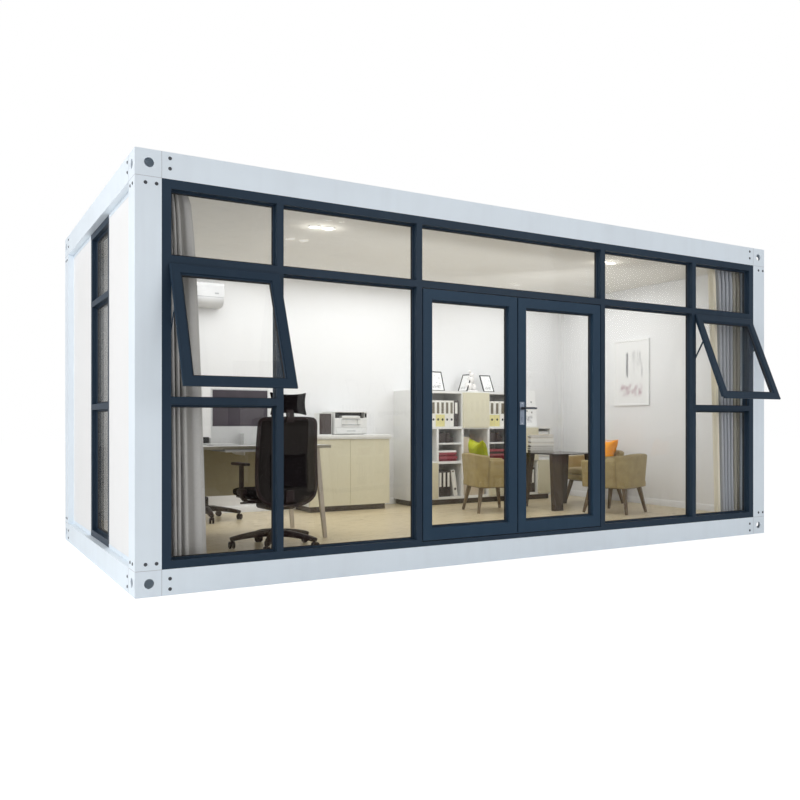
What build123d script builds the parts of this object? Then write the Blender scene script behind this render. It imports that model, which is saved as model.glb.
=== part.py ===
"""Shipping container cabin: a flat-pack steel frame with a glazed front, fitted out as a small office.

Every size is in millimetres. The pieces are laid out from the cabin's front left corner on the ground:
X runs along the front, Y runs from the front face into the cabin, and Z is up. save() then moves the
origin to the middle of the footprint.
"""
from build123d import *
import math
import os

# ---- overall sizes -------------------------------------------------------------------------------
LENGTH = 6055.0
WIDTH = 2990.0
HEIGHT = 2800.0

# ---- steel frame ---------------------------------------------------------------------------------
POST_FACE = 165.0          # width of a corner post along the front
POST_SIDE = 180.0          # width of a corner post along the end
POST_WALL = 4.0
BOTTOM_BEAM = 165.0        # height of the floor beams
TOP_BEAM = 170.0           # height of the roof beams
BEAM_DEPTH = 130.0         # width of a beam's flanges
BEAM_WALL = 4.0
FITTING_WALL = 10.0
FITTING_HOLE_RADIUS = 31.0
HOLE_FROM_END = 87.5       # centre of a fitting's hole from the end of the cabin
HOLE_FROM_EDGE = 83.0      # centre of a fitting's hole from its top or bottom
JOIST_WIDTH = 60.0
JOIST_WALL = 3.0
JOIST_PITCH = 580.0

# ---- floor, ceiling, roof and walls --------------------------------------------------------------
DECK_BOARD = 18.0
FLOOR_COVERING = 5.0
CEILING_BOARD = 10.0
CEILING_LAP = 70.0         # how far the ceiling lies on the flanges of the roof beams
ROOF_SHEET = 3.0
ROOF_RECESS = 57.0         # depth of the roof sheet's top below the roof beams
WALL_PANEL = 75.0
WALL_RECESS = 50.0         # how far the wall panels stand behind the frame's outer face
PANEL_MODULE = 1150.0
PANEL_GAP = 1.5

# ---- glazed front --------------------------------------------------------------------------------
FRAME_DEPTH = 80.0
JAMB_FACE = 60.0
MULLION_FACE = 48.0
HEAD_FACE = 58.0
SILL_FACE = 53.0
THRESHOLD = 35.0           # height of the sill under the doors
TRANSOM_FACE = 49.0
UPPER_TRANSOM = 2101.0     # underside of the upper transoms
LOWER_TRANSOM = 1205.0     # underside of the lower transoms in the two end bays
BAY_WIDTHS = (710.0, 1056.0, 1796.0, 1092.0)   # clear widths from the left; the fifth bay takes the rest
PANE = 8.0
PANE_RECESS = 54.0

# ---- top-hung sashes, propped open ---------------------------------------------------------------
SASH_LAP = 15.0            # how far a sash covers the frame at each side
SASH_FACE = 62.0
SASH_FLANGE = 12.0
SASH_BODY = 34.0
SASH_SIDE_GAP = 7.0
SASH_STANDOFF = 2.0        # gap between the closed sash's flange and the frame
SASH_PANE_RECESS = 6.0
SASH_HEIGHT = 847.0
SASH_TOP_GAP = 5.0
SASH_ANGLE = 22.0
STAY_WIDTH = 16.0
STAY_THICKNESS = 3.0
STAY_ON_SASH = 260.0       # where the stay meets the sash, below the hinge line
STAY_ON_FRAME = 420.0      # where the stay meets the frame, below the hinge line

# ---- doors ---------------------------------------------------------------------------------------
LEAF_THICKNESS = 60.0
LEAF_STILE = 80.0
LEAF_TOP_RAIL = 78.0
LEAF_BOTTOM_RAIL = 92.0
LEAF_PANE_RECESS = 38.0
HINGE_SIDE_GAP = 8.0
MEETING_GAP = 11.0
LEAF_EDGE_GAP = 6.0        # gap over and under a leaf
KNUCKLE_RADIUS = 9.0
PIN_RADIUS = 5.0
PIN_CLEARANCE = 0.05
HINGE_PLATE = 3.0
HINGE_PLATE_DEPTH = 20.0
HINGE_LENGTH = 100.0
LEAF_KNUCKLE = 38.0
KNUCKLE_GAP = 1.0
HINGE_HEIGHTS = (420.0, 1180.0, 1900.0)
LOCK_PLATE_WIDTH = 44.0
LOCK_PLATE_HEIGHT = 184.0
LOCK_PLATE = 6.0
LOCK_PLATE_ABOVE = 51.5    # how far the plate reaches above the spindle
LEVER_FROM_EDGE = 34.0     # spindle from the leaf's meeting edge
LEVER_HEIGHT = 1206.0
LEVER_LENGTH = 130.0
LEVER_REACH = 46.0         # from the leaf's face to the lever's grip
LEVER_GRIP = (12.0, 18.0)
SPINDLE_RADIUS = 6.0
SPINDLE_CLEARANCE = 0.3
NECK_RADIUS = 10.0
NECK_GAP = 2.0             # between the lever's neck and the lock plate

# ---- window in the left end ----------------------------------------------------------------------
END_WINDOW_WIDTH = 780.0
END_WINDOW_FACE = 50.0
END_WINDOW_DEPTH = 70.0
END_WINDOW_TRANSOMS = (1194.0, 2032.0)         # undersides
END_WINDOW_TRANSOM_FACE = 45.0

# ---- furniture -----------------------------------------------------------------------------------
REST_GAP = 0.3             # how close a soft piece lies to what carries it
DESK_TOP = (1400.0, 880.0, 22.0)
DESK_HEIGHT = 744.0
DESK_FROM_WALL = 135.0
DESK_FROM_FRONT = 690.0
DESK_LEG_TOP = 42.0
DESK_LEG_FOOT = 28.0
DESK_LEG_INSET = (5.0, 100.0)                         # from the desk's edges to the leg's foot
DESK_LEG_SPLAY = 70.0
DESK_PANEL = (18.0, 415.0)
DESK_PANEL_INSET = 60.0
STAR_RADIUS = 345.0
STAR_ARM = 38.0
STAR_ARM_LEVEL = (62.0, 92.0)
CASTER_RADIUS = 28.0
CASTER_WIDTH = 44.0
COLUMN_RADIUS = 27.0
SEAT_PLATE = (210.0, 50.0)
CHAIR_SEAT = (480.0, 460.0, 60.0)
CHAIR_SEAT_HEIGHT = 435.0
CHAIR_SEAT_FORWARD = 40.0  # the seat's middle ahead of the column
CHAIR_BACK = (484.0, 30.0)
CHAIR_BACK_FOOT = 520.0
CHAIR_BACK_LEVELS = (400.0, 950.0)
CHAIR_LOW_BACK = 700.0     # top of the lower back, which has no headrest
CHAIR_BACK_SETBACK = 205.0
HEADREST = (346.0, 45.0, 188.0)
HEADREST_LEVEL = 962.0
SPINE = (60.0, 26.0)
SPINE_TOP = 690.0
HEADREST_STEM = 40.0       # how far the headrest's stem laps the back and the headrest
ARMREST = (56.0, 250.0, 22.0)
ARMREST_HEIGHT = 620.0
ARMREST_POST = 26.0
ARMREST_SPREAD = 262.0
DESK_CHAIR_PLACES = (     # from the left wall, from the front, facing, star, with a headrest
    (990.0, 487.0, 4.0, 22.0, True),
    (1035.0, 2420.0, 180.0, 48.0, False),
)
CABINET = (953.0, 425.0, 780.0)
CABINET_FROM_WALL = 2105.0
CABINET_TOP = 30.0
CABINET_OVERHANG = 12.0
PLINTH_HEIGHT = 60.0
PLINTH_SETBACK = 30.0
DOOR_BOARD = 18.0
DOOR_GAP = 3.0
SHELF_DEPTH = 380.0
SHELF_FROM_WALL = 467.0
SHELF_BOARD = 28.0
SHELF_BACK = 8.0
SHELF_COLUMNS = (670.0, 365.0, 380.0, 347.0, 236.0)   # the last two columns are low
SHELF_SIDE = 335.0         # from the left edge of the first column to its divider
SHELF_ROWS = (88.0, 486.0, 877.0, 1279.0)             # tops of the base, lower, middle and top boards
SHELF_SPLIT = 693.0        # top of the thin shelf that splits the middle row
SHELF_SPLIT_BOARD = 18.0
TABLE_TOP = (660.0, 600.0, 10.0)
TABLE_HEIGHT = 592.0
TABLE_FROM_WALL = 710.0
TABLE_FROM_FRONT = 1330.0
TABLE_TURN = 5.0                                      # degrees, about its front left corner
TABLE_LEG = (130.0, 45.0)
TABLE_LEG_FOOT = (25.0, 35.0)                         # foot centre from the table's edges
TABLE_LEG_SPLAY = (40.0, 70.0)                        # head from the foot, along and across
TUB_WIDTH = 560.0
TUB_DEPTH = 510.0
TUB_WALL = 45.0
TUB_UNDERSIDE = 262.0
TUB_ARM = 550.0
TUB_BACK = 605.0
TUB_WRAP = 118.0           # how far the high back wraps round each side
TUB_RAIL = 60.0            # height of the rail that closes the shell under the seat
TUB_SEAT = 392.0
TUB_SEAT_GAP = 3.0
TUB_LEG = 38.0
TUB_LEG_FOOT = 26.0
TUB_LEG_SPREAD = 345.0     # leg spacing under the shell, front to back
TUB_LEG_WIDTHS = (310.0, 420.0)                       # leg spacing across, at the back and the front
TUB_LEG_SPLAY = 52.0
TUB_PLACES = ((1953.0, 1717.0, -102.2), (901.0, 976.0, 17.0), (408.0, 1800.0, 85.0))
CURTAIN_DEPTH = 80.0
CURTAIN_SETBACK = 40.0     # from the glazing frame
CURTAIN_SIDE_GAP = 6.0
CURTAIN_WIDTHS = (340.0, 430.0)
CURTAIN_FLOOR_GAP = 12.0
TRACK = (34.0, 22.0)
LAMP_RADIUS = 54.0
LAMP_DEPTH = 10.0
LAMPS_FROM_LEFT = ((1396.0, 698.0), (1516.0, 690.0))
LAMPS_FROM_RIGHT = ((1452.0, 605.0), (1332.0, 610.0))
AIR_UNIT = (745.0, 200.0, 234.0)
AIR_UNIT_FROM_WALL = 560.0
AIR_UNIT_LEVEL = 2066.0
PICTURE = (20.0, 546.0, 760.0)
PICTURE_FROM_FRONT = 1359.0
PICTURE_LEVEL = 1118.0
MONITOR = (484.0, 28.0, 400.0)
MONITOR_PLACE = (573.0, 520.0, 50.0)                  # from the desk's left edge, front edge and top
MONITOR_FOOT = (190.0, 160.0, 8.0)
MONITOR_NECK = (60.0, 14.0)
PRINTER = (384.0, 320.0, 258.0)
PRINTER_PLACE = (335.0, 80.0)                         # from the low cabinet's left edge and front

# ---- sizes that follow ---------------------------------------------------------------------------
FLOOR = BOTTOM_BEAM + FLOOR_COVERING
OPENING_TOP = HEIGHT - TOP_BEAM
CEILING = OPENING_TOP + BEAM_WALL
WALL_FACE = WALL_RECESS + WALL_PANEL           # inner face of a wall panel from the cabin's outer face
INNER_RIGHT = LENGTH - WALL_FACE
INNER_REAR = WIDTH - WALL_FACE
GLASS_SILL = BOTTOM_BEAM + SILL_FACE
GLASS_HEAD = OPENING_TOP - HEAD_FACE


def bays():
    """Clear X span of each of the five glazed bays."""
    spans = []
    start = POST_FACE + JAMB_FACE
    for width in BAY_WIDTHS:
        spans.append((start, start + width))
        start += width + MULLION_FACE
    spans.append((start, LENGTH - POST_FACE - JAMB_FACE))
    return spans


BAYS = bays()
DOOR_BAY = BAYS[2]
LEAF_BOTTOM = BOTTOM_BEAM + THRESHOLD + LEAF_EDGE_GAP
LEAF_TOP = UPPER_TRANSOM - LEAF_EDGE_GAP
MEETING_LINE = (DOOR_BAY[0] + DOOR_BAY[1]) / 2
LEAF_SPANS = {
    "left": (DOOR_BAY[0] + HINGE_SIDE_GAP, MEETING_LINE - MEETING_GAP / 2),
    "right": (MEETING_LINE + MEETING_GAP / 2, DOOR_BAY[1] - HINGE_SIDE_GAP),
}
HINGE_FROM_MULLION = HINGE_PLATE + KNUCKLE_GAP + KNUCKLE_RADIUS
HINGE_LINE_Y = LEAF_THICKNESS + KNUCKLE_GAP + KNUCKLE_RADIUS
HINGE_LINES = {
    "left": (DOOR_BAY[0] + HINGE_FROM_MULLION, HINGE_LINE_Y),
    "right": (DOOR_BAY[1] - HINGE_FROM_MULLION, HINGE_LINE_Y),
}
LEVER_X = LEAF_SPANS["right"][0] + LEVER_FROM_EDGE
SASH_PIVOT = (-SASH_FLANGE / 2 - SASH_STANDOFF, UPPER_TRANSOM - SASH_TOP_GAP)
HOLE_FROM_SIDE = POST_SIDE / 2                 # centre of a fitting's hole along the end of the cabin


# ---- helpers -------------------------------------------------------------------------------------
def block(x, y, z):
    """A box between the two values of each pair."""
    size = Box(x[1] - x[0], y[1] - y[0], z[1] - z[0])
    return Pos((x[0] + x[1]) / 2, (y[0] + y[1]) / 2, (z[0] + z[1]) / 2) * size


def rod(start, axis, radius, length):
    """A cylinder that starts at a point and runs along +X, +Y or +Z."""
    turn = {"X": Rot(0, 90, 0), "Y": Rot(-90, 0, 0), "Z": Rot(0, 0, 0)}[axis]
    upright = Cylinder(radius, length, align=(Align.CENTER, Align.CENTER, Align.MIN))
    return Pos(*start) * turn * upright


def tapered(foot, top, foot_size, top_size):
    """A straight leg from a rectangle at the foot to a rectangle at the top."""
    lower = Pos(*foot) * Rectangle(*foot_size)
    upper = Pos(*top) * Rectangle(*top_size)
    return loft([lower.face(), upper.face()])


def across(shape):
    """The same shape at the other end of the cabin."""
    return Pos(LENGTH, 0, 0) * mirror(shape, about=Plane.YZ)


def behind(shape):
    """The same shape at the rear of the cabin."""
    return Pos(0, WIDTH, 0) * mirror(shape, about=Plane.XZ)


def four_corners(shape):
    """A shape at the front left corner, and its three mirror images."""
    return [shape, across(shape), behind(shape), behind(across(shape))]


def placed(shape, x, y, angle):
    """A piece modelled about its own centre on the floor, turned and set in its place."""
    return Pos(x, y, FLOOR) * Rot(0, 0, angle) * shape


def save(node, solids):
    """Write one named piece, with the origin at the middle of the footprint on the ground."""
    moved = [Pos(-LENGTH / 2, -WIDTH / 2, 0) * solid for piece in solids for solid in piece.solids()]
    export_step(moved[0] if len(moved) == 1 else Compound(children=moved), f"parts/{node}.step")


# ---- steel frame ---------------------------------------------------------------------------------
def corner_fitting(z, outer_face):
    """A hollow steel corner box at the front left, with a round hole in each of its three outer faces."""
    shell = block((0, POST_FACE), (0, POST_SIDE), z)
    inside = block(
        (FITTING_WALL, POST_FACE - FITTING_WALL),
        (FITTING_WALL, POST_SIDE - FITTING_WALL),
        (z[0] + FITTING_WALL, z[1] - FITTING_WALL),
    )
    level = outer_face + HOLE_FROM_EDGE if outer_face == 0 else outer_face - HOLE_FROM_EDGE
    start = -1.0 if outer_face == 0 else outer_face - FITTING_WALL - 1.0
    reach = FITTING_WALL + 2.0
    front_hole = rod((HOLE_FROM_END, -1.0, level), "Y", FITTING_HOLE_RADIUS, reach)
    end_hole = rod((-1.0, HOLE_FROM_SIDE, level), "X", FITTING_HOLE_RADIUS, reach)
    upright_hole = rod((HOLE_FROM_END, HOLE_FROM_SIDE, start), "Z", FITTING_HOLE_RADIUS, reach)
    return shell - inside - front_hole - end_hole - upright_hole


def corner_post():
    """A hollow steel post between the front left corner fittings."""
    z = (BOTTOM_BEAM, OPENING_TOP)
    hollow = block((POST_WALL, POST_FACE - POST_WALL), (POST_WALL, POST_SIDE - POST_WALL), z)
    return block((0, POST_FACE), (0, POST_SIDE), z) - hollow


def long_beam(z):
    """A channel along the front between the corner fittings, open towards the inside."""
    x = (POST_FACE, LENGTH - POST_FACE)
    hollow = block(x, (BEAM_WALL, BEAM_DEPTH), (z[0] + BEAM_WALL, z[1] - BEAM_WALL))
    return block(x, (0, BEAM_DEPTH), z) - hollow


def end_beam(z):
    """A channel along the left end between the corner fittings, open towards the inside."""
    y = (POST_SIDE, WIDTH - POST_SIDE)
    hollow = block((BEAM_WALL, BEAM_DEPTH), y, (z[0] + BEAM_WALL, z[1] - BEAM_WALL))
    return block((0, BEAM_DEPTH), y, z) - hollow


def floor_joist(x):
    """A tube from web to web of the long floor beams, notched round their lower flanges."""
    top = BOTTOM_BEAM - DECK_BOARD
    half = JOIST_WIDTH / 2
    outer = block((x - half, x + half), (BEAM_WALL, WIDTH - BEAM_WALL), (BEAM_WALL, top))
    foot = block((x - half, x + half), (BEAM_DEPTH, WIDTH - BEAM_DEPTH), (0, BEAM_WALL))
    hollow = block(
        (x - half + JOIST_WALL, x + half - JOIST_WALL),
        (BEAM_WALL, WIDTH - BEAM_WALL),
        (BEAM_WALL + JOIST_WALL, top - JOIST_WALL),
    )
    return outer + foot - hollow


def steel_frame():
    """Posts, beams, corner fittings and joists."""
    bottom = (0, BOTTOM_BEAM)
    top = (OPENING_TOP, HEIGHT)
    beside = int((LENGTH / 2 - BEAM_DEPTH - JOIST_WIDTH) // JOIST_PITCH)
    return {
        "bottom_corner_fittings": four_corners(corner_fitting(bottom, 0)),
        "top_corner_fittings": four_corners(corner_fitting(top, HEIGHT)),
        "corner_posts": four_corners(corner_post()),
        "bottom_long_beams": [long_beam(bottom), behind(long_beam(bottom))],
        "bottom_end_beams": [end_beam(bottom), across(end_beam(bottom))],
        "top_long_beams": [long_beam(top), behind(long_beam(top))],
        "top_end_beams": [end_beam(top), across(end_beam(top))],
        "floor_joists": [floor_joist(LENGTH / 2 + k * JOIST_PITCH) for k in range(-beside, beside + 1)],
    }


# ---- floor, ceiling, roof and walls --------------------------------------------------------------
def sheet_between_corners(edge_x, edge_y, z):
    """A flat sheet with its four corners cut out round the corner posts or fittings."""
    along = block((POST_FACE, LENGTH - POST_FACE), (edge_y, WIDTH - edge_y), z)
    ends = block((edge_x, LENGTH - edge_x), (POST_SIDE, WIDTH - POST_SIDE), z)
    return along + ends


def floor_covering():
    """The floor finish, cut round the posts and stopped behind the glazing frame."""
    z = (BOTTOM_BEAM, FLOOR)
    along = block((POST_FACE, LENGTH - POST_FACE), (FRAME_DEPTH, INNER_REAR), z)
    ends = block((WALL_FACE, INNER_RIGHT), (POST_SIDE, WIDTH - POST_SIDE), z)
    return along + ends


def panel_row(start, end):
    """Clear spans of the equal panels that fill a length, with a joint between neighbours."""
    count = math.ceil((end - start) / PANEL_MODULE)
    width = (end - start - (count - 1) * PANEL_GAP) / count
    return [(start + k * (width + PANEL_GAP), start + k * (width + PANEL_GAP) + width) for k in range(count)]


def end_wall_spans():
    """Y spans of an end wall's panels: one on each side of a middle bay."""
    middle = (WIDTH - END_WINDOW_WIDTH) / 2
    front = (POST_SIDE, middle)
    rear = (WIDTH - middle, WIDTH - POST_SIDE)
    return front, (middle, WIDTH - middle), rear


def shell_panels():
    """Floor, ceiling, roof sheet and wall panels."""
    z = (BOTTOM_BEAM, OPENING_TOP)
    left_x = (WALL_RECESS, WALL_FACE)
    right_x = (INNER_RIGHT, LENGTH - WALL_RECESS)
    rear_y = (INNER_REAR, WIDTH - WALL_RECESS)
    front, middle, rear = end_wall_spans()
    inner = (middle[0] + PANEL_GAP, middle[1] - PANEL_GAP)
    roof_top = HEIGHT - ROOF_RECESS
    lap = BEAM_DEPTH - CEILING_LAP
    deck = sheet_between_corners(BEAM_DEPTH, BEAM_DEPTH, (BOTTOM_BEAM - DECK_BOARD, BOTTOM_BEAM))
    rear_spans = panel_row(POST_FACE, LENGTH - POST_FACE)
    return {
        "floor_deck": [deck],
        "floor_covering": [floor_covering()],
        "ceiling": [sheet_between_corners(lap, lap, (CEILING, CEILING + CEILING_BOARD))],
        "roof_sheet": [sheet_between_corners(BEAM_WALL, BEAM_WALL, (roof_top - ROOF_SHEET, roof_top))],
        "rear_wall_panels": [block(x, rear_y, z) for x in rear_spans],
        "left_wall_panels": [block(left_x, y, z) for y in (front, rear)],
        "right_wall_panels": [block(right_x, y, z) for y in (front, inner, rear)],
    }


# ---- glazing -------------------------------------------------------------------------------------
def front_sill():
    """The two sill rails and the lower threshold between them, under the doors."""
    y = (0, FRAME_DEPTH)
    rail_z = (BOTTOM_BEAM, GLASS_SILL)
    left = block((BAYS[0][0], DOOR_BAY[0]), y, rail_z)
    right = block((DOOR_BAY[1], BAYS[-1][1]), y, rail_z)
    return [left, block(DOOR_BAY, y, (BOTTOM_BEAM, BOTTOM_BEAM + THRESHOLD)), right]


def front_glazing():
    """Frame bars and fixed panes of the front."""
    y = (0, FRAME_DEPTH)
    pane_y = (PANE_RECESS, PANE_RECESS + PANE)
    jamb = block((POST_FACE, POST_FACE + JAMB_FACE), y, (BOTTOM_BEAM, OPENING_TOP))
    upper = (UPPER_TRANSOM, UPPER_TRANSOM + TRANSOM_FACE)
    lower = (LOWER_TRANSOM, LOWER_TRANSOM + TRANSOM_FACE)
    end_bays = (BAYS[0], BAYS[-1])
    mullions = [block((bay[1], bay[1] + MULLION_FACE), y, (GLASS_SILL, GLASS_HEAD)) for bay in BAYS[:-1]]
    transoms = [block(bay, y, upper) for bay in BAYS] + [block(bay, y, lower) for bay in end_bays]
    panes = [block(bay, pane_y, (upper[1], GLASS_HEAD)) for bay in BAYS]
    panes += [block(bay, pane_y, (GLASS_SILL, lower[0])) for bay in end_bays]
    panes += [block(bay, pane_y, (GLASS_SILL, upper[0])) for bay in (BAYS[1], BAYS[3])]
    return {
        "front_frame_jambs": [jamb, across(jamb)],
        "front_frame_head": [block((BAYS[0][0], BAYS[-1][1]), y, (GLASS_HEAD, OPENING_TOP))],
        "front_frame_sill": front_sill(),
        "front_mullions": mullions,
        "front_transoms": transoms,
        "front_fixed_panes": panes,
    }


def end_window():
    """The full-height window in the left end, with three fixed panes."""
    x = (WALL_RECESS, WALL_RECESS + END_WINDOW_DEPTH)
    _, (front, rear), _ = end_wall_spans()
    y = (front + END_WINDOW_FACE, rear - END_WINDOW_FACE)
    levels = [BOTTOM_BEAM] + list(END_WINDOW_TRANSOMS) + [OPENING_TOP - END_WINDOW_FACE]
    faces = [END_WINDOW_FACE] + [END_WINDOW_TRANSOM_FACE] * len(END_WINDOW_TRANSOMS) + [END_WINDOW_FACE]
    rails = [(level, level + face) for level, face in zip(levels, faces)]
    pane_x = (WALL_RECESS + PANE_RECESS - PANE, WALL_RECESS + PANE_RECESS)
    z = (BOTTOM_BEAM, OPENING_TOP)
    return {
        "left_window_jambs": [block(x, (front, y[0]), z), block(x, (y[1], rear), z)],
        "left_window_rails": [block(x, y, rail) for rail in rails],
        "left_window_panes": [block(pane_x, y, (low[1], high[0])) for low, high in zip(rails, rails[1:])],
    }


def propped(shape):
    """A closed sash piece, swung out about the sash's top edge."""
    pivot = Pos(0, *SASH_PIVOT)
    return pivot * Rot(-SASH_ANGLE, 0, 0) * pivot.inverse() * shape


def sash(bay):
    """Frame and pane of a top-hung sash over one bay, in its open place."""
    top = SASH_PIVOT[1]
    outline = (bay[0] - SASH_LAP, bay[1] + SASH_LAP)
    body = (bay[0] + SASH_SIDE_GAP, bay[1] - SASH_SIDE_GAP)
    opening = (outline[0] + SASH_FACE, outline[1] - SASH_FACE)
    flange_y = (-SASH_FLANGE - SASH_STANDOFF, -SASH_STANDOFF)
    body_y = (flange_y[1], flange_y[1] + SASH_BODY)
    z = (top - SASH_HEIGHT, top)
    inner_z = (z[0] + SASH_FACE, z[1] - SASH_FACE)
    body_z = (z[0] + 2 * SASH_LAP, z[1] - SASH_LAP)
    hole = block(opening, (flange_y[0], body_y[1]), inner_z)
    frame = block(outline, flange_y, z) + block(body, body_y, body_z) - hole
    pane_front = body_y[0] + SASH_PANE_RECESS
    pane = block(opening, (pane_front, pane_front + PANE), inner_z)
    return propped(frame), propped(pane)


def sash_stay(bay):
    """The left friction stay of one sash: a flat arm with a pin at each end."""
    turn = math.radians(SASH_ANGLE)
    pivot_y, pivot_z = SASH_PIVOT
    reach = SASH_BODY / 2 - pivot_y
    on_sash = (
        pivot_y + reach * math.cos(turn) - STAY_ON_SASH * math.sin(turn),
        pivot_z - reach * math.sin(turn) - STAY_ON_SASH * math.cos(turn),
    )
    on_frame = (FRAME_DEPTH / 4, pivot_z - STAY_ON_FRAME)
    along = (on_frame[0] - on_sash[0], on_frame[1] - on_sash[1])
    length = math.hypot(*along)
    middle = ((on_sash[0] + on_frame[0]) / 2, (on_sash[1] + on_frame[1]) / 2)
    tilt = math.degrees(math.atan2(along[1], along[0]))
    clear = (SASH_SIDE_GAP - STAY_THICKNESS) / 2
    arm = Box(STAY_THICKNESS, length + STAY_WIDTH, STAY_WIDTH)
    arm = Pos(bay[0] + clear + STAY_THICKNESS / 2, *middle) * Rot(tilt, 0, 0) * arm
    frame_pin = rod((bay[0], *on_frame), "X", STAY_WIDTH / 4, SASH_SIDE_GAP / 2)
    sash_pin = rod((bay[0] + SASH_SIDE_GAP / 2, *on_sash), "X", STAY_WIDTH / 4, SASH_SIDE_GAP / 2)
    return arm + frame_pin + sash_pin


def sashes():
    """The two open sashes and their stays."""
    frames, panes, stays = [], [], []
    for bay in (BAYS[0], BAYS[-1]):
        frame, pane = sash(bay)
        left = sash_stay(bay)
        frames.append(frame)
        panes.append(pane)
        stays += [left, Pos(bay[0] + bay[1], 0, 0) * mirror(left, about=Plane.YZ)]
    return {"sash_frames": frames, "sash_panes": panes, "sash_stays": stays}


# ---- doors ---------------------------------------------------------------------------------------
def leaf(side):
    """Frame and pane of one door leaf."""
    x = LEAF_SPANS[side]
    z = (LEAF_BOTTOM, LEAF_TOP)
    glass_x = (x[0] + LEAF_STILE, x[1] - LEAF_STILE)
    glass_z = (z[0] + LEAF_BOTTOM_RAIL, z[1] - LEAF_TOP_RAIL)
    y = (0, LEAF_THICKNESS)
    frame = block(x, y, z) - block(glass_x, y, glass_z)
    pane = block(glass_x, (LEAF_PANE_RECESS, LEAF_PANE_RECESS + PANE), glass_z)
    if side == "right":
        start = (LEVER_X, -1.0, LEVER_HEIGHT)
        frame -= rod(start, "Y", SPINDLE_RADIUS + SPINDLE_CLEARANCE, LEAF_THICKNESS + 2.0)
    return frame, pane


def hinge_bracket(z):
    """The part of a left-hand hinge on the mullion: a plate, two knuckles and the pin."""
    x, y = HINGE_LINES["left"]
    low = z - HINGE_LENGTH / 2
    knuckle = (HINGE_LENGTH - LEAF_KNUCKLE) / 2 - KNUCKLE_GAP
    plate_x = (DOOR_BAY[0], DOOR_BAY[0] + HINGE_PLATE)
    plate_y = (HINGE_LINE_Y - HINGE_PLATE_DEPTH, HINGE_LINE_Y + KNUCKLE_RADIUS)
    bracket = block(plate_x, plate_y, (low, low + HINGE_LENGTH))
    bracket += rod((x, y, low), "Z", PIN_RADIUS, HINGE_LENGTH)
    for start in (low, low + HINGE_LENGTH - knuckle):
        bracket += rod((x, y, start), "Z", KNUCKLE_RADIUS, knuckle)
        bracket += block((DOOR_BAY[0], x), (y, plate_y[1]), (start, start + knuckle))
    return bracket


def hinge_leaf(z):
    """The part of a left-hand hinge on the door: a plate and the middle knuckle."""
    x, y = HINGE_LINES["left"]
    low = z - LEAF_KNUCKLE / 2
    plate_y = (LEAF_THICKNESS, LEAF_THICKNESS + HINGE_PLATE)
    start = LEAF_SPANS["left"][0]
    plate = block((start, start + LEAF_STILE / 2), plate_y, (low, low + LEAF_KNUCKLE))
    knuckle = rod((x, y, low), "Z", KNUCKLE_RADIUS, LEAF_KNUCKLE)
    bore = rod((x, y, low - 1.0), "Z", PIN_RADIUS + PIN_CLEARANCE, LEAF_KNUCKLE + 2.0)
    return plate + knuckle - bore


def mirrored_door(shape):
    """A left-hand door piece at the right-hand side of the doorway."""
    return Pos(2 * MEETING_LINE, 0, 0) * mirror(shape, about=Plane.YZ)


def lock_plate(y):
    """A back plate of the lever handle, with the hole for the spindle."""
    half = LOCK_PLATE_WIDTH / 2
    top = LEVER_HEIGHT + LOCK_PLATE_ABOVE
    plate = block((LEVER_X - half, LEVER_X + half), y, (top - LOCK_PLATE_HEIGHT, top))
    hole = rod((LEVER_X, y[0] - 1.0, LEVER_HEIGHT), "Y", SPINDLE_RADIUS + SPINDLE_CLEARANCE, LOCK_PLATE + 2.0)
    return plate - hole


def door_lever():
    """The lever handle: a spindle through the leaf with a grip on each side."""
    outer = -LOCK_PLATE - LEVER_REACH
    inner = LEAF_THICKNESS + LOCK_PLATE + LEVER_REACH
    spindle = rod((LEVER_X, outer, LEVER_HEIGHT), "Y", SPINDLE_RADIUS, inner - outer)
    lever = spindle
    thickness, depth = LEVER_GRIP
    for face, out in ((outer, -1), (inner, 1)):
        grip_y = sorted((face, face + out * thickness))
        neck_start = sorted((face, face - out * (LEVER_REACH - NECK_GAP)))[0]
        lever += rod((LEVER_X, neck_start, LEVER_HEIGHT), "Y", NECK_RADIUS, LEVER_REACH - NECK_GAP)
        grip_z = (LEVER_HEIGHT - depth / 2, LEVER_HEIGHT + depth / 2)
        lever += block((LEVER_X - NECK_RADIUS, LEVER_X + LEVER_LENGTH), grip_y, grip_z)
    return lever


def doors():
    """Both leaves with their panes, hinges and lever handle."""
    left_frame, left_pane = leaf("left")
    right_frame, right_pane = leaf("right")
    brackets = [hinge_bracket(z) for z in HINGE_HEIGHTS]
    leaves = [hinge_leaf(z) for z in HINGE_HEIGHTS]
    return {
        "left_door_frame": [left_frame],
        "right_door_frame": [right_frame],
        "left_door_pane": [left_pane],
        "right_door_pane": [right_pane],
        "door_hinge_brackets": brackets + [mirrored_door(piece) for piece in brackets],
        "left_door_hinges": leaves,
        "right_door_hinges": [mirrored_door(piece) for piece in leaves],
        "door_lock_plates": [
            lock_plate((-LOCK_PLATE, 0)),
            lock_plate((LEAF_THICKNESS, LEAF_THICKNESS + LOCK_PLATE)),
        ],
        "door_lever": [door_lever()],
    }


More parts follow.
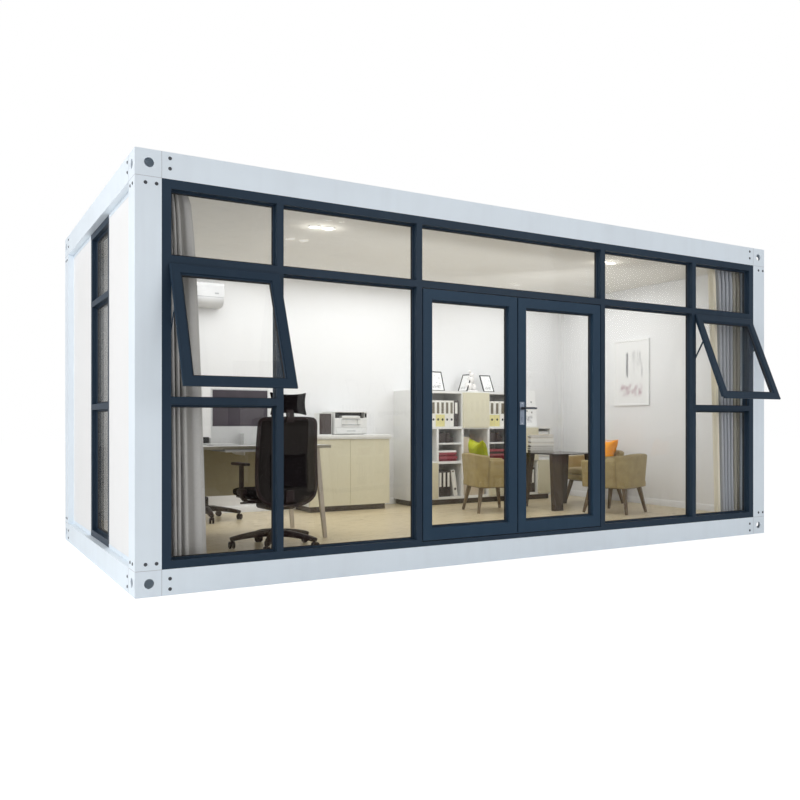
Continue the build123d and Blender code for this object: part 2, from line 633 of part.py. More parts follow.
# ---- furniture -----------------------------------------------------------------------------------
def desk():
    """A desk with splayed, tapered legs and a panel at the back, and the screen that stands on it."""
    left = WALL_FACE + DESK_FROM_WALL
    x = (left, left + DESK_TOP[0])
    y = (DESK_FROM_FRONT, DESK_FROM_FRONT + DESK_TOP[1])
    top = FLOOR + DESK_HEIGHT
    under = top - DESK_TOP[2]
    legs = []
    for edge_x, inward_x in ((x[0], 1), (x[1], -1)):
        for edge_y, inward_y in ((y[0], 1), (y[1], -1)):
            foot = (edge_x + inward_x * DESK_LEG_INSET[0], edge_y + inward_y * DESK_LEG_INSET[1], FLOOR)
            head = (foot[0] + inward_x * DESK_LEG_SPLAY, foot[1] + inward_y * DESK_LEG_SPLAY / 3, under)
            legs.append(tapered(foot, head, (DESK_LEG_FOOT, DESK_LEG_FOOT), (DESK_LEG_TOP, DESK_LEG_TOP)))
    inset = DESK_LEG_INSET[0] + DESK_LEG_SPLAY + DESK_LEG_TOP
    back = y[1] - DESK_PANEL_INSET
    panel = block((x[0] + inset, x[1] - inset), (back - DESK_PANEL[0], back), (under - DESK_PANEL[1], under))
    return {
        "desk_top": [block(x, y, (under, top))],
        "desk_frame": legs + [panel],
        "monitor": [monitor(x[0], y[0], top)],
    }


def monitor(desk_left, desk_front, desk_top):
    """A flat screen with a deep chin on a bent foot."""
    x = desk_left + MONITOR_PLACE[0]
    y = desk_front + MONITOR_PLACE[1]
    z = desk_top + MONITOR_PLACE[2]
    middle = x + MONITOR[0] / 2
    screen = block((x, x + MONITOR[0]), (y, y + MONITOR[1]), (z, z + MONITOR[2]))
    foot_y = (y + MONITOR[1] - MONITOR_FOOT[1] / 2, y + MONITOR[1] + MONITOR_FOOT[1] / 2)
    foot_x = (middle - MONITOR_FOOT[0] / 2, middle + MONITOR_FOOT[0] / 2)
    foot = block(foot_x, foot_y, (desk_top, desk_top + MONITOR_FOOT[2]))
    neck_x = (middle - MONITOR_NECK[0] / 2, middle + MONITOR_NECK[0] / 2)
    neck_y = (y + MONITOR[1], y + MONITOR[1] + MONITOR_NECK[1])
    return screen + foot + block(neck_x, neck_y, (desk_top, z + MONITOR[2] / 2))


def chair_base(star_angle):
    """A five-arm base on casters with its gas column and the plate under the seat."""
    plate_top = CHAIR_SEAT_HEIGHT - CHAIR_SEAT[2] - REST_GAP
    half = SEAT_PLATE[0] / 2
    base = block((-half, half), (-half, half), (plate_top - SEAT_PLATE[1], plate_top))
    base += rod((0, 0, STAR_ARM_LEVEL[0]), "Z", COLUMN_RADIUS, plate_top - STAR_ARM_LEVEL[0])
    for k in range(5):
        arm = block((0, STAR_RADIUS), (-STAR_ARM / 2, STAR_ARM / 2), STAR_ARM_LEVEL)
        wheel_x = STAR_RADIUS - CASTER_RADIUS
        wheel = rod((wheel_x, -CASTER_WIDTH / 2, CASTER_RADIUS), "Y", CASTER_RADIUS, CASTER_WIDTH)
        stem = rod((wheel_x, 0, CASTER_RADIUS), "Z", CASTER_RADIUS / 3, STAR_ARM_LEVEL[0] - CASTER_RADIUS)
        base += Rot(0, 0, star_angle + 72.0 * k) * (arm + wheel + stem)
    return base


def chair_back(headrest):
    """The back on a spine that runs down and forward to the seat plate, with or without a headrest."""
    y = (-CHAIR_BACK_SETBACK - CHAIR_BACK[1], -CHAIR_BACK_SETBACK)
    low = CHAIR_BACK_LEVELS[0]
    high = CHAIR_BACK_LEVELS[1] if headrest else CHAIR_LOW_BACK
    middle = (y[0] + y[1]) / 2
    back = tapered((0, middle, low), (0, middle, high), (CHAIR_BACK_FOOT, CHAIR_BACK[1]), CHAIR_BACK)
    spine_x = (-SPINE[0] / 2, SPINE[0] / 2)
    spine_y = (y[0] - SPINE[1], y[0])
    plate_top = CHAIR_SEAT_HEIGHT - CHAIR_SEAT[2] - REST_GAP
    level = plate_top - SEAT_PLATE[1]
    back += block(spine_x, spine_y, (level, SPINE_TOP))
    back += block(spine_x, (y[0], -SEAT_PLATE[0] / 2), (level, level + SPINE[1]))
    if headrest:
        head_z = (HEADREST_LEVEL, HEADREST_LEVEL + HEADREST[2])
        back += block((-HEADREST[0] / 2, HEADREST[0] / 2), (y[0], y[0] + HEADREST[1]), head_z)
        back += block(spine_x, spine_y, (high - HEADREST_STEM, head_z[0] + HEADREST_STEM))
    return back


def chair_arm():
    """The armrest on the chair's right: a bracket from the seat plate, a post and a flat pad."""
    plate_top = CHAIR_SEAT_HEIGHT - CHAIR_SEAT[2] - REST_GAP
    level = plate_top - SEAT_PLATE[1]
    pad_under = ARMREST_HEIGHT - ARMREST[2]
    half = ARMREST_POST / 2
    bracket = block((SEAT_PLATE[0] / 2, ARMREST_SPREAD + half), (-half, half), (level, level + ARMREST_POST))
    post = block((ARMREST_SPREAD - half, ARMREST_SPREAD + half), (-half, half), (level, pad_under))
    pad_x = (ARMREST_SPREAD - ARMREST[0] / 2, ARMREST_SPREAD + ARMREST[0] / 2)
    return bracket + post + block(pad_x, (-ARMREST[1] / 2, ARMREST[1] / 2), (pad_under, ARMREST_HEIGHT))


def office_chairs():
    """The two swivel chairs, one on each side of the desk."""
    kinds = ("bases", "seats", "backs", "arms")
    nodes = {f"office_chair_{kind}": [] for kind in kinds}
    seat_z = (CHAIR_SEAT_HEIGHT - CHAIR_SEAT[2], CHAIR_SEAT_HEIGHT)
    seat_y = (CHAIR_SEAT_FORWARD - CHAIR_SEAT[1] / 2, CHAIR_SEAT_FORWARD + CHAIR_SEAT[1] / 2)
    seat = block((-CHAIR_SEAT[0] / 2, CHAIR_SEAT[0] / 2), seat_y, seat_z)
    arm = chair_arm()
    for from_wall, y, angle, star_angle, headrest in DESK_CHAIR_PLACES:
        x = WALL_FACE + from_wall
        nodes["office_chair_bases"].append(placed(chair_base(star_angle - angle), x, y, angle))
        nodes["office_chair_seats"].append(placed(seat, x, y, angle))
        nodes["office_chair_backs"].append(placed(chair_back(headrest), x, y, angle))
        for piece in (arm, mirror(arm, about=Plane.YZ)):
            nodes["office_chair_arms"].append(placed(piece, x, y, angle))
    return nodes


def low_cabinet():
    """A low cabinet against the rear wall, its two doors and plinth, and the printer on it."""
    width, depth, height = CABINET
    left = WALL_FACE + CABINET_FROM_WALL
    front = INNER_REAR - depth
    x = (left + CABINET_OVERHANG, left + width - CABINET_OVERHANG)
    body_y = (front + DOOR_BOARD, INNER_REAR)
    top_z = (FLOOR + height - CABINET_TOP, FLOOR + height)
    body_z = (FLOOR + PLINTH_HEIGHT, top_z[0])
    body = block(x, body_y, body_z)
    body += block((left, left + width), (front - CABINET_OVERHANG, INNER_REAR), top_z)
    middle = (x[0] + x[1]) / 2
    door_z = (body_z[0], body_z[1] - DOOR_GAP)
    door_spans = ((x[0], middle - DOOR_GAP / 2), (middle + DOOR_GAP / 2, x[1]))
    doors_y = (front, front + DOOR_BOARD)
    plinth_y = (front + DOOR_BOARD + PLINTH_SETBACK, INNER_REAR)
    print_x = (left + PRINTER_PLACE[0], left + PRINTER_PLACE[0] + PRINTER[0])
    print_y = (front + PRINTER_PLACE[1], front + PRINTER_PLACE[1] + PRINTER[1])
    return {
        "cabinet": [body],
        "doors": [block(span, doors_y, door_z) for span in door_spans],
        "plinth": [block((x[0] + PLINTH_SETBACK, x[1] - PLINTH_SETBACK), plinth_y, (FLOOR, body_z[0]))],
        "printer": [block(print_x, print_y, (top_z[1], top_z[1] + PRINTER[2]))],
    }


def shelving():
    """A stepped shelving unit against the rear wall: three tall columns and two low ones."""
    right = INNER_RIGHT - SHELF_FROM_WALL
    left = right - sum(SHELF_COLUMNS)
    base, lower, middle, top = (FLOOR + row for row in SHELF_ROWS)
    back_y = (INNER_REAR - SHELF_BACK, INNER_REAR)
    y = (INNER_REAR - SHELF_DEPTH, back_y[0])
    starts = [left + sum(SHELF_COLUMNS[:k]) for k in range(len(SHELF_COLUMNS))] + [right - SHELF_BOARD]
    clear = [(start + SHELF_BOARD, end) for start, end in zip(starts, starts[1:])]
    step = starts[3] + SHELF_BOARD
    divider = (left + SHELF_SIDE, left + SHELF_SIDE + SHELF_BOARD)
    uprights = [block((s, s + SHELF_BOARD), y, (base, top - SHELF_BOARD)) for s in starts[:4]]
    uprights += [block((s, s + SHELF_BOARD), y, (base, middle - SHELF_BOARD)) for s in starts[4:]]
    divider_spans = ((base, lower - SHELF_BOARD), (lower, middle - SHELF_BOARD))
    uprights += [block(divider, y, span) for span in divider_spans]
    split_z = (FLOOR + SHELF_SPLIT - SHELF_SPLIT_BOARD, FLOOR + SHELF_SPLIT)
    boards = [block((left, right), y, (FLOOR + PLINTH_HEIGHT, base))]
    boards += [block(span, y, (lower - SHELF_BOARD, lower)) for span in clear]
    boards += [block(span, y, (middle - SHELF_BOARD, middle)) for span in clear[:3]]
    boards += [block((step, right), y, (middle - SHELF_BOARD, middle))]
    boards += [block((left, step), y, (top - SHELF_BOARD, top))]
    boards += [block((divider[1], clear[0][1]), y, split_z), block(clear[2], y, split_z)]
    tall_back = block((left, step - PANEL_GAP), back_y, (FLOOR + PLINTH_HEIGHT, top))
    low_back = block((step, right), back_y, (FLOOR + PLINTH_HEIGHT, middle))
    door_y = (y[0] - DOOR_BOARD, y[0])
    lap = (SHELF_BOARD - DOOR_GAP) / 2
    closed = (
        ((clear[0][0], divider[0]), (base, lower - SHELF_BOARD)),
        (clear[2], (base, lower - SHELF_BOARD)),
        (clear[4], (base, lower - SHELF_BOARD)),
        (clear[3], (lower, middle - SHELF_BOARD)),
        (clear[1], (middle, top - SHELF_BOARD)),
    )
    doors_on = [block((x[0] - lap, x[1] + lap), door_y, (z[0] - lap, z[1] + lap)) for x, z in closed]
    plinth_x = (left + PLINTH_SETBACK, right - PLINTH_SETBACK)
    plinth = block(plinth_x, (y[0] + PLINTH_SETBACK, INNER_REAR), (FLOOR, FLOOR + PLINTH_HEIGHT))
    return {
        "shelving_uprights": uprights,
        "shelving_boards": boards,
        "shelving_backs": [tall_back, low_back],
        "doors": doors_on,
        "plinth": [plinth],
    }


def meeting_table():
    """A small glass-topped table on four splayed slab legs."""
    corner = (INNER_RIGHT - TABLE_FROM_WALL - TABLE_TOP[0], TABLE_FROM_FRONT)
    under = TABLE_HEIGHT - TABLE_TOP[2]
    legs = []
    for edge_x, inward_x in ((0, 1), (TABLE_TOP[0], -1)):
        for edge_y, inward_y in ((0, 1), (TABLE_TOP[1], -1)):
            foot = (edge_x + inward_x * TABLE_LEG_FOOT[0], edge_y + inward_y * TABLE_LEG_FOOT[1], 0)
            head = (foot[0] + inward_x * TABLE_LEG_SPLAY[0], foot[1] + inward_y * TABLE_LEG_SPLAY[1], under)
            legs.append(tapered(foot, head, TABLE_LEG, TABLE_LEG))
    top = block((0, TABLE_TOP[0]), (0, TABLE_TOP[1]), (under, TABLE_HEIGHT))
    return {
        "meeting_table_top": [placed(top, *corner, TABLE_TURN)],
        "meeting_table_legs": [placed(leg, *corner, TABLE_TURN) for leg in legs],
    }


def tub_shell():
    """The padded shell of a tub chair: a high back that wraps the sides, lower arms and a front rail."""
    half_x = TUB_WIDTH / 2
    half_y = TUB_DEPTH / 2
    low = block((-half_x, half_x), (-half_y, half_y), (TUB_UNDERSIDE, TUB_ARM))
    high = block((-half_x, half_x), (-half_y, -half_y + TUB_WRAP), (TUB_ARM, TUB_BACK))
    hollow_z = (TUB_UNDERSIDE + TUB_RAIL, TUB_BACK)
    hollow = block((-half_x + TUB_WALL, half_x - TUB_WALL), (-half_y + TUB_WALL, half_y), hollow_z)
    return low + high - hollow


def tub_chairs():
    """The three tub chairs round the meeting table."""
    shell = tub_shell()
    inside = TUB_WIDTH / 2 - TUB_WALL - TUB_SEAT_GAP
    seat_y = (-TUB_DEPTH / 2 + TUB_WALL + TUB_SEAT_GAP, TUB_DEPTH / 2)
    seat = block((-inside, inside), seat_y, (TUB_UNDERSIDE + TUB_RAIL + REST_GAP, TUB_SEAT))
    legs = []
    for side_x in (-1, 1):
        for side_y, width in zip((-1, 1), TUB_LEG_WIDTHS):
            head = (side_x * width / 2, side_y * TUB_LEG_SPREAD / 2, TUB_UNDERSIDE)
            foot = (head[0] + side_x * TUB_LEG_SPLAY, head[1] + side_y * TUB_LEG_SPLAY, 0)
            legs.append(tapered(foot, head, (TUB_LEG_FOOT, TUB_LEG_FOOT), (TUB_LEG, TUB_LEG)))
    nodes = {"tub_chair_shells": [], "tub_chair_seats": [], "tub_chair_legs": []}
    for from_wall, y, angle in TUB_PLACES:
        x = INNER_RIGHT - from_wall
        nodes["tub_chair_shells"].append(placed(shell, x, y, angle))
        nodes["tub_chair_seats"].append(placed(seat, x, y, angle))
        nodes["tub_chair_legs"] += [placed(leg, x, y, angle) for leg in legs]
    return nodes


def fittings():
    """Curtains on their tracks, ceiling lamps, the air conditioner and the picture."""
    y = (FRAME_DEPTH + CURTAIN_SETBACK, FRAME_DEPTH + CURTAIN_SETBACK + CURTAIN_DEPTH)
    track_y = ((y[0] + y[1] - TRACK[0]) / 2, (y[0] + y[1] + TRACK[0]) / 2)
    track_z = (CEILING - TRACK[1], CEILING)
    z = (FLOOR + CURTAIN_FLOOR_GAP, track_z[0] - REST_GAP)
    left = POST_FACE + CURTAIN_SIDE_GAP
    right = LENGTH - POST_FACE - CURTAIN_SIDE_GAP
    spans = ((left, left + CURTAIN_WIDTHS[0]), (right - CURTAIN_WIDTHS[1], right))
    lamps = [(WALL_FACE + from_wall, from_front) for from_wall, from_front in LAMPS_FROM_LEFT]
    lamps += [(INNER_RIGHT - from_wall, from_front) for from_wall, from_front in LAMPS_FROM_RIGHT]
    air_x = (WALL_FACE + AIR_UNIT_FROM_WALL, WALL_FACE + AIR_UNIT_FROM_WALL + AIR_UNIT[0])
    air_y = (INNER_REAR - AIR_UNIT[1], INNER_REAR)
    air_z = (FLOOR + AIR_UNIT_LEVEL, FLOOR + AIR_UNIT_LEVEL + AIR_UNIT[2])
    picture_y = (PICTURE_FROM_FRONT, PICTURE_FROM_FRONT + PICTURE[1])
    picture_z = (FLOOR + PICTURE_LEVEL, FLOOR + PICTURE_LEVEL + PICTURE[2])
    return {
        "curtains": [block(span, y, z) for span in spans],
        "curtain_tracks": [block(span, track_y, track_z) for span in spans],
        "ceiling_lamps": [rod((*at, CEILING - LAMP_DEPTH), "Z", LAMP_RADIUS, LAMP_DEPTH) for at in lamps],
        "air_conditioner": [block(air_x, air_y, air_z)],
        "wall_picture": [block((INNER_RIGHT - PICTURE[0], INNER_RIGHT), picture_y, picture_z)],
    }


# ---- all the pieces ------------------------------------------------------------------------------
def cabin():
    """Every named piece of the cabin and its furniture."""
    nodes = {}
    for group in (steel_frame(), shell_panels(), front_glazing(), end_window(), sashes(), doors()):
        nodes.update(group)
    for group in (desk(), office_chairs(), meeting_table(), tub_chairs(), fittings()):
        nodes.update(group)
    cabinet = low_cabinet()
    shelves = shelving()
    nodes["low_cabinet"] = cabinet["cabinet"]
    nodes["printer"] = cabinet["printer"]
    nodes["cupboard_doors"] = cabinet["doors"] + shelves["doors"]
    nodes["cupboard_plinths"] = cabinet["plinth"] + shelves["plinth"]
    for name in ("shelving_uprights", "shelving_boards", "shelving_backs"):
        nodes[name] = shelves[name]
    return nodes


os.makedirs("parts", exist_ok=True)
for node_name, node_solids in cabin().items():
    save(node_name, node_solids)
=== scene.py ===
"""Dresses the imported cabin: finishes for the carried-over pieces, and detailed pieces built around them."""

import logging
import math
import random
from dataclasses import dataclass, field
from enum import Enum
from typing import Callable, Sequence

import bmesh
import bpy
from mathutils import Euler, Matrix, Vector

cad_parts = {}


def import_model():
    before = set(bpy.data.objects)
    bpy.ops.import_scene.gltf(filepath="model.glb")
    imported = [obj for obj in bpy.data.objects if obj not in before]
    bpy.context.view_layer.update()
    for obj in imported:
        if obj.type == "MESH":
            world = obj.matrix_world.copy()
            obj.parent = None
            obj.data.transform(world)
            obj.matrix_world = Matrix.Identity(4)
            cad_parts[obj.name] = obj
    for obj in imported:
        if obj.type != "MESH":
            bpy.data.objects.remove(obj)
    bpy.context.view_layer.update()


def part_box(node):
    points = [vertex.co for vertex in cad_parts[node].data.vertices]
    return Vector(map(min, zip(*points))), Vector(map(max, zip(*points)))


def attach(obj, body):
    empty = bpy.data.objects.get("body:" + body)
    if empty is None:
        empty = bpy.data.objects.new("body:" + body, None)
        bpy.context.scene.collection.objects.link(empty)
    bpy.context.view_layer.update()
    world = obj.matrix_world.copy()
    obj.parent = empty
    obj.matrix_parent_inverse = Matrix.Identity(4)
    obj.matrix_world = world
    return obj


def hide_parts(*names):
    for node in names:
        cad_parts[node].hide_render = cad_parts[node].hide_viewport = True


LOG = logging.getLogger("cabin")
Colour = tuple[float, float, float]
Point = tuple[float, float, float]


def linear(red: int, green: int, blue: int) -> Colour:
    """Turns a display colour of 0 to 255 into the linear values that shaders take.

    Args:
        red, green, blue: the display colour.

    Returns:
        The linear colour.
    """
    def one(value: int) -> float:
        """Linear value of one channel."""
        share = value / 255
        return share / 12.92 if share <= 0.04045 else ((share + 0.055) / 1.055) ** 2.4

    return one(red), one(green), one(blue)


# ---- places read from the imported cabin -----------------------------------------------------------
@dataclass(frozen=True)
class Span:
    """The lowest and highest corner of one solid."""

    lo: Vector
    hi: Vector

    @property
    def middle(self) -> Vector:
        """The middle of the box."""
        return (self.lo + self.hi) / 2

    @property
    def size(self) -> Vector:
        """The size of the box along X, Y and Z."""
        return self.hi - self.lo


def whole(node: str) -> Span:
    """The box of all of one carried-over node."""
    return Span(*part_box(node))


def solids_of(node: str) -> list[Span]:
    """Boxes of the separate solids of a carried-over node, from left to right, front to back and up.

    Args:
        node: the node's name.

    Returns:
        One box for each group of joined faces.
    """
    mesh = bmesh.new()
    mesh.from_mesh(bpy.data.objects[node].data)
    bmesh.ops.remove_doubles(mesh, verts=mesh.verts, dist=0.00002)
    seen: set[bmesh.types.BMVert] = set()
    found = []
    for start in mesh.verts:
        if start in seen:
            continue
        group, queue = [], [start]
        seen.add(start)
        while queue:
            vert = queue.pop()
            group.append(vert.co.copy())
            for edge in vert.link_edges:
                other = edge.other_vert(vert)
                if other not in seen:
                    seen.add(other)
                    queue.append(other)
        lo = Vector([min(co[k] for co in group) for k in range(3)])
        hi = Vector([max(co[k] for co in group) for k in range(3)])
        found.append(Span(lo, hi))
    mesh.free()
    return sorted(found, key=lambda box: tuple(round(v, 3) for v in box.middle))


FRONT_LEFT = (3.0275, 1.495)       # how far the cabin's front left corner lies from the origin


def from_corner(x: float, y: float) -> tuple[float, float]:
    """A spot measured from the front left corner, in the shared frame."""
    return x - FRONT_LEFT[0], y - FRONT_LEFT[1]


def on_floor(spot: tuple[float, float], turn: float) -> Matrix:
    """Where a thing stands on the floor covering, turned by some degrees."""
    return (Matrix.Translation((spot[0], spot[1], whole("floor_covering").hi.z))
            @ Matrix.Rotation(math.radians(turn), 4, "Z"))


# ---- shader graphs -------------------------------------------------------------------------------
class Space(Enum):
    """Where a pattern's coordinates come from."""

    OBJECT = "Object"
    UV = "UV"


class Graph:
    """A node tree of one material, with short calls for the nodes that the finishes use."""

    def __init__(self, name: str) -> None:
        """Starts an empty material with a Principled shader.

        Args:
            name: the material's name.
        """
        self.material = bpy.data.materials.new(name)
        self.material.use_nodes = True
        self.tree = self.material.node_tree
        self.tree.nodes.clear()
        self.output = self.tree.nodes.new("ShaderNodeOutputMaterial")
        self.shader = self.tree.nodes.new("ShaderNodeBsdfPrincipled")
        self.link(self.shader.outputs[0], self.output.inputs[0])

    def link(self, start: bpy.types.NodeSocket, end: bpy.types.NodeSocket) -> None:
        """Joins two sockets."""
        self.tree.links.new(start, end)

    def add(self, kind: str, **values: object) -> bpy.types.Node:
        """Adds a node and sets its attributes, or its inputs where a value's name is an input's.

        Args:
            kind: the node's type.
            values: the attributes and inputs.

        Returns:
            The node.
        """
        node = self.tree.nodes.new(kind)
        for key, value in values.items():
            label = key.replace("_", " ")
            sockets = {socket.name.lower(): socket for socket in node.inputs}
            if label.lower() in sockets and not hasattr(node, key):
                socket = sockets[label.lower()]
                if isinstance(value, bpy.types.NodeSocket):
                    self.link(value, socket)
                else:
                    socket.default_value = value
            else:
                setattr(node, key, value)
        return node

    def place(self, stretch: Point = (1, 1, 1), space: Space = Space.OBJECT,
              turn: Point = (0, 0, 0)) -> bpy.types.NodeSocket:
        """Coordinates, stretched and turned.

        Args:
            stretch: the scale along each axis.
            space: object coordinates or the piece's UV map.
            turn: turn about each axis, in radians.

        Returns:
            The vector socket.
        """
        source = self.tree.nodes.new("ShaderNodeTexCoord").outputs[space.value]
        mapping = self.tree.nodes.new("ShaderNodeMapping")
        mapping.inputs["Scale"].default_value = stretch
        mapping.inputs["Rotation"].default_value = turn
        self.link(source, mapping.inputs["Vector"])
        return mapping.outputs[0]

    def noise(self, vector: bpy.types.NodeSocket, scale: float, detail: float = 3,
              roughness: float = 0.5) -> bpy.types.NodeSocket:
        """A soft noise.

        Args:
            vector: the coordinates that it follows.
            scale: how fine it is.
            detail: how many layers it has.
            roughness: how strong the finer layers are.

        Returns:
            Its value.
        """
        node = self.add("ShaderNodeTexNoise", scale=scale, detail=detail, roughness=roughness)
        self.link(vector, node.inputs["Vector"])
        return node.outputs["Fac"]

    def cells(self, vector: bpy.types.NodeSocket, scale: float) -> bpy.types.NodeSocket:
        """Distances in a cell pattern.

        Args:
            vector: the coordinates that it follows.
            scale: how fine it is.

        Returns:
            The distance.
        """
        node = self.add("ShaderNodeTexVoronoi", scale=scale)
        self.link(vector, node.inputs["Vector"])
        return node.outputs["Distance"]

    def waves(self, vector: bpy.types.NodeSocket, scale: float, along: str,
              distortion: float = 0.0) -> bpy.types.NodeSocket:
        """Straight bands across one axis.

        Args:
            vector: the coordinates that it follows.
            scale: how fine they are.
            along: the axis that they cross.
            distortion: how wavy they are.

        Returns:
            Their value.
        """
        node = self.add("ShaderNodeTexWave", bands_direction=along, scale=scale,
                        distortion=distortion)
        self.link(vector, node.inputs["Vector"])
        return node.outputs["Fac"]

    def maths(self, operation: str, first: object, second: object = 0.5) -> bpy.types.NodeSocket:
        """One sum of two values or sockets.

        Args:
            operation: the kind of sum.
            first: the first value or socket.
            second: the second one.

        Returns:
            The result.
        """
        node = self.tree.nodes.new("ShaderNodeMath")
        node.operation = operation
        for socket, value in zip(node.inputs, (first, second)):
            if isinstance(value, bpy.types.NodeSocket):
                self.link(value, socket)
            else:
                socket.default_value = value
        return node.outputs[0]

    def ramp(self, value: bpy.types.NodeSocket, low: float, high: float,
             low_colour: Colour = (0, 0, 0), high_colour: Colour = (1, 1, 1)) -> bpy.types.NodeSocket:
        """A colour that runs from one to another between two values.

        Args:
            value: what is looked up.
            low: where the first colour ends.
            high: where the last colour starts.
            low_colour: the first colour.
            high_colour: the last colour.

        Returns:
            The colour.
        """
        node = self.tree.nodes.new("ShaderNodeValToRGB")
        first, last = node.color_ramp.elements
        first.position, last.position = low, high
        first.color, last.color = (*low_colour, 1), (*high_colour, 1)
        self.link(value, node.inputs[0])
        return node.outputs[0]

    def band(self, value: bpy.types.NodeSocket, start: float, end: float,
             soft: float = 0.02) -> bpy.types.NodeSocket:
        """1 between two values and 0 outside them, with soft ends."""
        return self.maths("MULTIPLY", self.ramp(value, start - soft, start + soft),
                          self.ramp(value, end - soft, end + soft, (1, 1, 1), (0, 0, 0)))

    def mix(self, share: object, first: object, second: object) -> bpy.types.NodeSocket:
        """A mix of two colours or colour sockets.

        Args:
            share: how much of the second is in it.
            first: the first colour.
            second: the second colour.

        Returns:
            The mixed colour.
        """
        node = self.tree.nodes.new("ShaderNodeMix")
        node.data_type = "RGBA"
        for socket, value in ((node.inputs[0], share), (node.inputs[6], first), (node.inputs[7], second)):
            if isinstance(value, bpy.types.NodeSocket):
                self.link(value, socket)
            elif isinstance(value, tuple):
                socket.default_value = (*value, 1)
            else:
                socket.default_value = value
        return node.outputs[2]

    def axis(self, name: str, space: Space = Space.OBJECT) -> bpy.types.NodeSocket:
        """One coordinate by itself.

        Args:
            name: X, Y or Z.
            space: the coordinates it is taken from.

        Returns:
            The coordinate.
        """
        source = self.tree.nodes.new("ShaderNodeTexCoord").outputs[space.value]
        split = self.tree.nodes.new("ShaderNodeSeparateXYZ")
        self.link(source, split.inputs[0])
        return split.outputs[name]

    def bump(self, height: bpy.types.NodeSocket, strength: float, distance: float) -> None:
        """Adds relief to the shader, on top of any relief that is already there.

        Args:
            height: the relief's height.
            strength: how much of it shows.
            distance: how far it stands out.
        """
        node = self.add("ShaderNodeBump", strength=strength, distance=distance)
        self.link(height, node.inputs["Height"])
        normal = self.shader.inputs["Normal"]
        if normal.is_linked:
            self.link(normal.links[0].from_socket, node.inputs["Normal"])
        self.link(node.outputs[0], normal)

    def set(self, **values: object) -> None:
        """Sets or links the shader's inputs, named in lower case with underscores."""
        sockets = {socket.name.lower().replace(" ", "_"): socket for socket in self.shader.inputs}
        for key, value in values.items():
            if isinstance(value, bpy.types.NodeSocket):
                self.link(value, sockets[key])
            elif isinstance(value, tuple) and len(value) == 3:
                sockets[key].default_value = (*value, 1)
            else:
                sockets[key].default_value = value


# ---- finishes ------------------------------------------------------------------------------------
@dataclass(frozen=True)
class Finish:
    """A finish that is built once and then shared by the pieces that have it."""

    name: str

    def make(self) -> bpy.types.Material:
        """The finish's material."""
        known = bpy.data.materials.get(self.name)
        return known if known else self.build()

    def build(self) -> bpy.types.Material:
        """Builds the material; each kind of finish has its own."""
        raise NotImplementedError


@dataclass(frozen=True)
class PowderCoat(Finish):
    """Powder-coated metal: an even colour with fine orange peel and faint dust."""

    colour: Colour
    dust: Colour
    roughness: float = 0.42
    peel: float = 0.12
    coat: float = 0.0
    gloss: float = 0.5

    def build(self) -> bpy.types.Material:
        """Colour, roughness and relief of the coat."""
        graph = Graph(self.name)
        place = graph.place()
        patches = graph.ramp(graph.noise(place, 1.7, 5), 0.42, 0.78)
        streaks = graph.ramp(graph.noise(graph.place((9, 9, 0.7)), 1.2, 4), 0.5, 0.85)
        worn = graph.maths("MULTIPLY", graph.maths("ADD", patches, streaks), 0.35)
        graph.set(
            base_color=graph.mix(worn, self.colour, self.dust),
            roughness=graph.maths("MULTIPLY_ADD", graph.noise(place, 35), 0.12),
            specular_ior_level=self.gloss,
            coat_weight=self.coat,
            coat_roughness=0.25,
        )
        rough = graph.shader.inputs["Roughness"].links[0].from_node
        rough.inputs[2].default_value = self.roughness - 0.06
        graph.bump(graph.noise(place, 420, 2), self.peel, 0.0006)
        return graph.material


@dataclass(frozen=True)
class Pane(Finish):
    """Clear or tinted glass that lets most of the light straight through."""

    tint: Colour
    alpha: float
    clarity: float = 1.0
    gloss: float = 0.25

    def build(self) -> bpy.types.Material:
        """Glass with a plain alpha."""
        graph = Graph(self.name)
        ripple = graph.noise(graph.place(), 3.0, 1)
        graph.set(base_color=self.tint, transmission_weight=self.clarity, ior=1.5, alpha=self.alpha,
                  roughness=0.02, specular_ior_level=self.gloss)
        graph.bump(ripple, 0.02, 0.002)
        return graph.material


@dataclass(frozen=True)
class Board(Finish):
    """Laminated board with a fine embossed grain."""

    colour: Colour
    grain: Colour
    amount: float = 0.3
    roughness: float = 0.42
    stretch: Point = (8, 8, 1)

    def build(self) -> bpy.types.Material:
        """Grain in colour and relief."""
        graph = Graph(self.name)
        place = graph.place(self.stretch)
        grain = graph.noise(place, 22, 6, 0.65)
        share = graph.maths("MULTIPLY", graph.ramp(grain, 0.4, 0.72), self.amount)
        graph.set(base_color=graph.mix(share, self.colour, self.grain), roughness=self.roughness,
                  specular_ior_level=0.45)
        graph.bump(grain, 0.08, 0.0004)
        return graph.material


@dataclass(frozen=True)
class Timber(Finish):
    """Stained wood with growth bands along one axis."""

    light: Colour
    dark: Colour
    stretch: Point = (14, 14, 1.4)
    roughness: float = 0.48
    varnish: float = 0.15

    def build(self) -> bpy.types.Material:
        """Bands, pores and a satin varnish."""
        graph = Graph(self.name)
        place = graph.place(self.stretch)
        bands = graph.noise(place, 2.6, 8, 0.62)
        pores = graph.noise(graph.place(tuple(4 * s for s in self.stretch)), 9, 3)
        tone = graph.mix(graph.ramp(bands, 0.36, 0.66), self.dark, self.light)
        graph.set(base_color=graph.mix(graph.ramp(pores, 0.56, 0.74), tone, self.dark),
                  roughness=self.roughness, coat_weight=self.varnish, coat_roughness=0.35)
        graph.bump(bands, 0.25, 0.0007)
        graph.bump(pores, 0.15, 0.0003)
        return graph.material


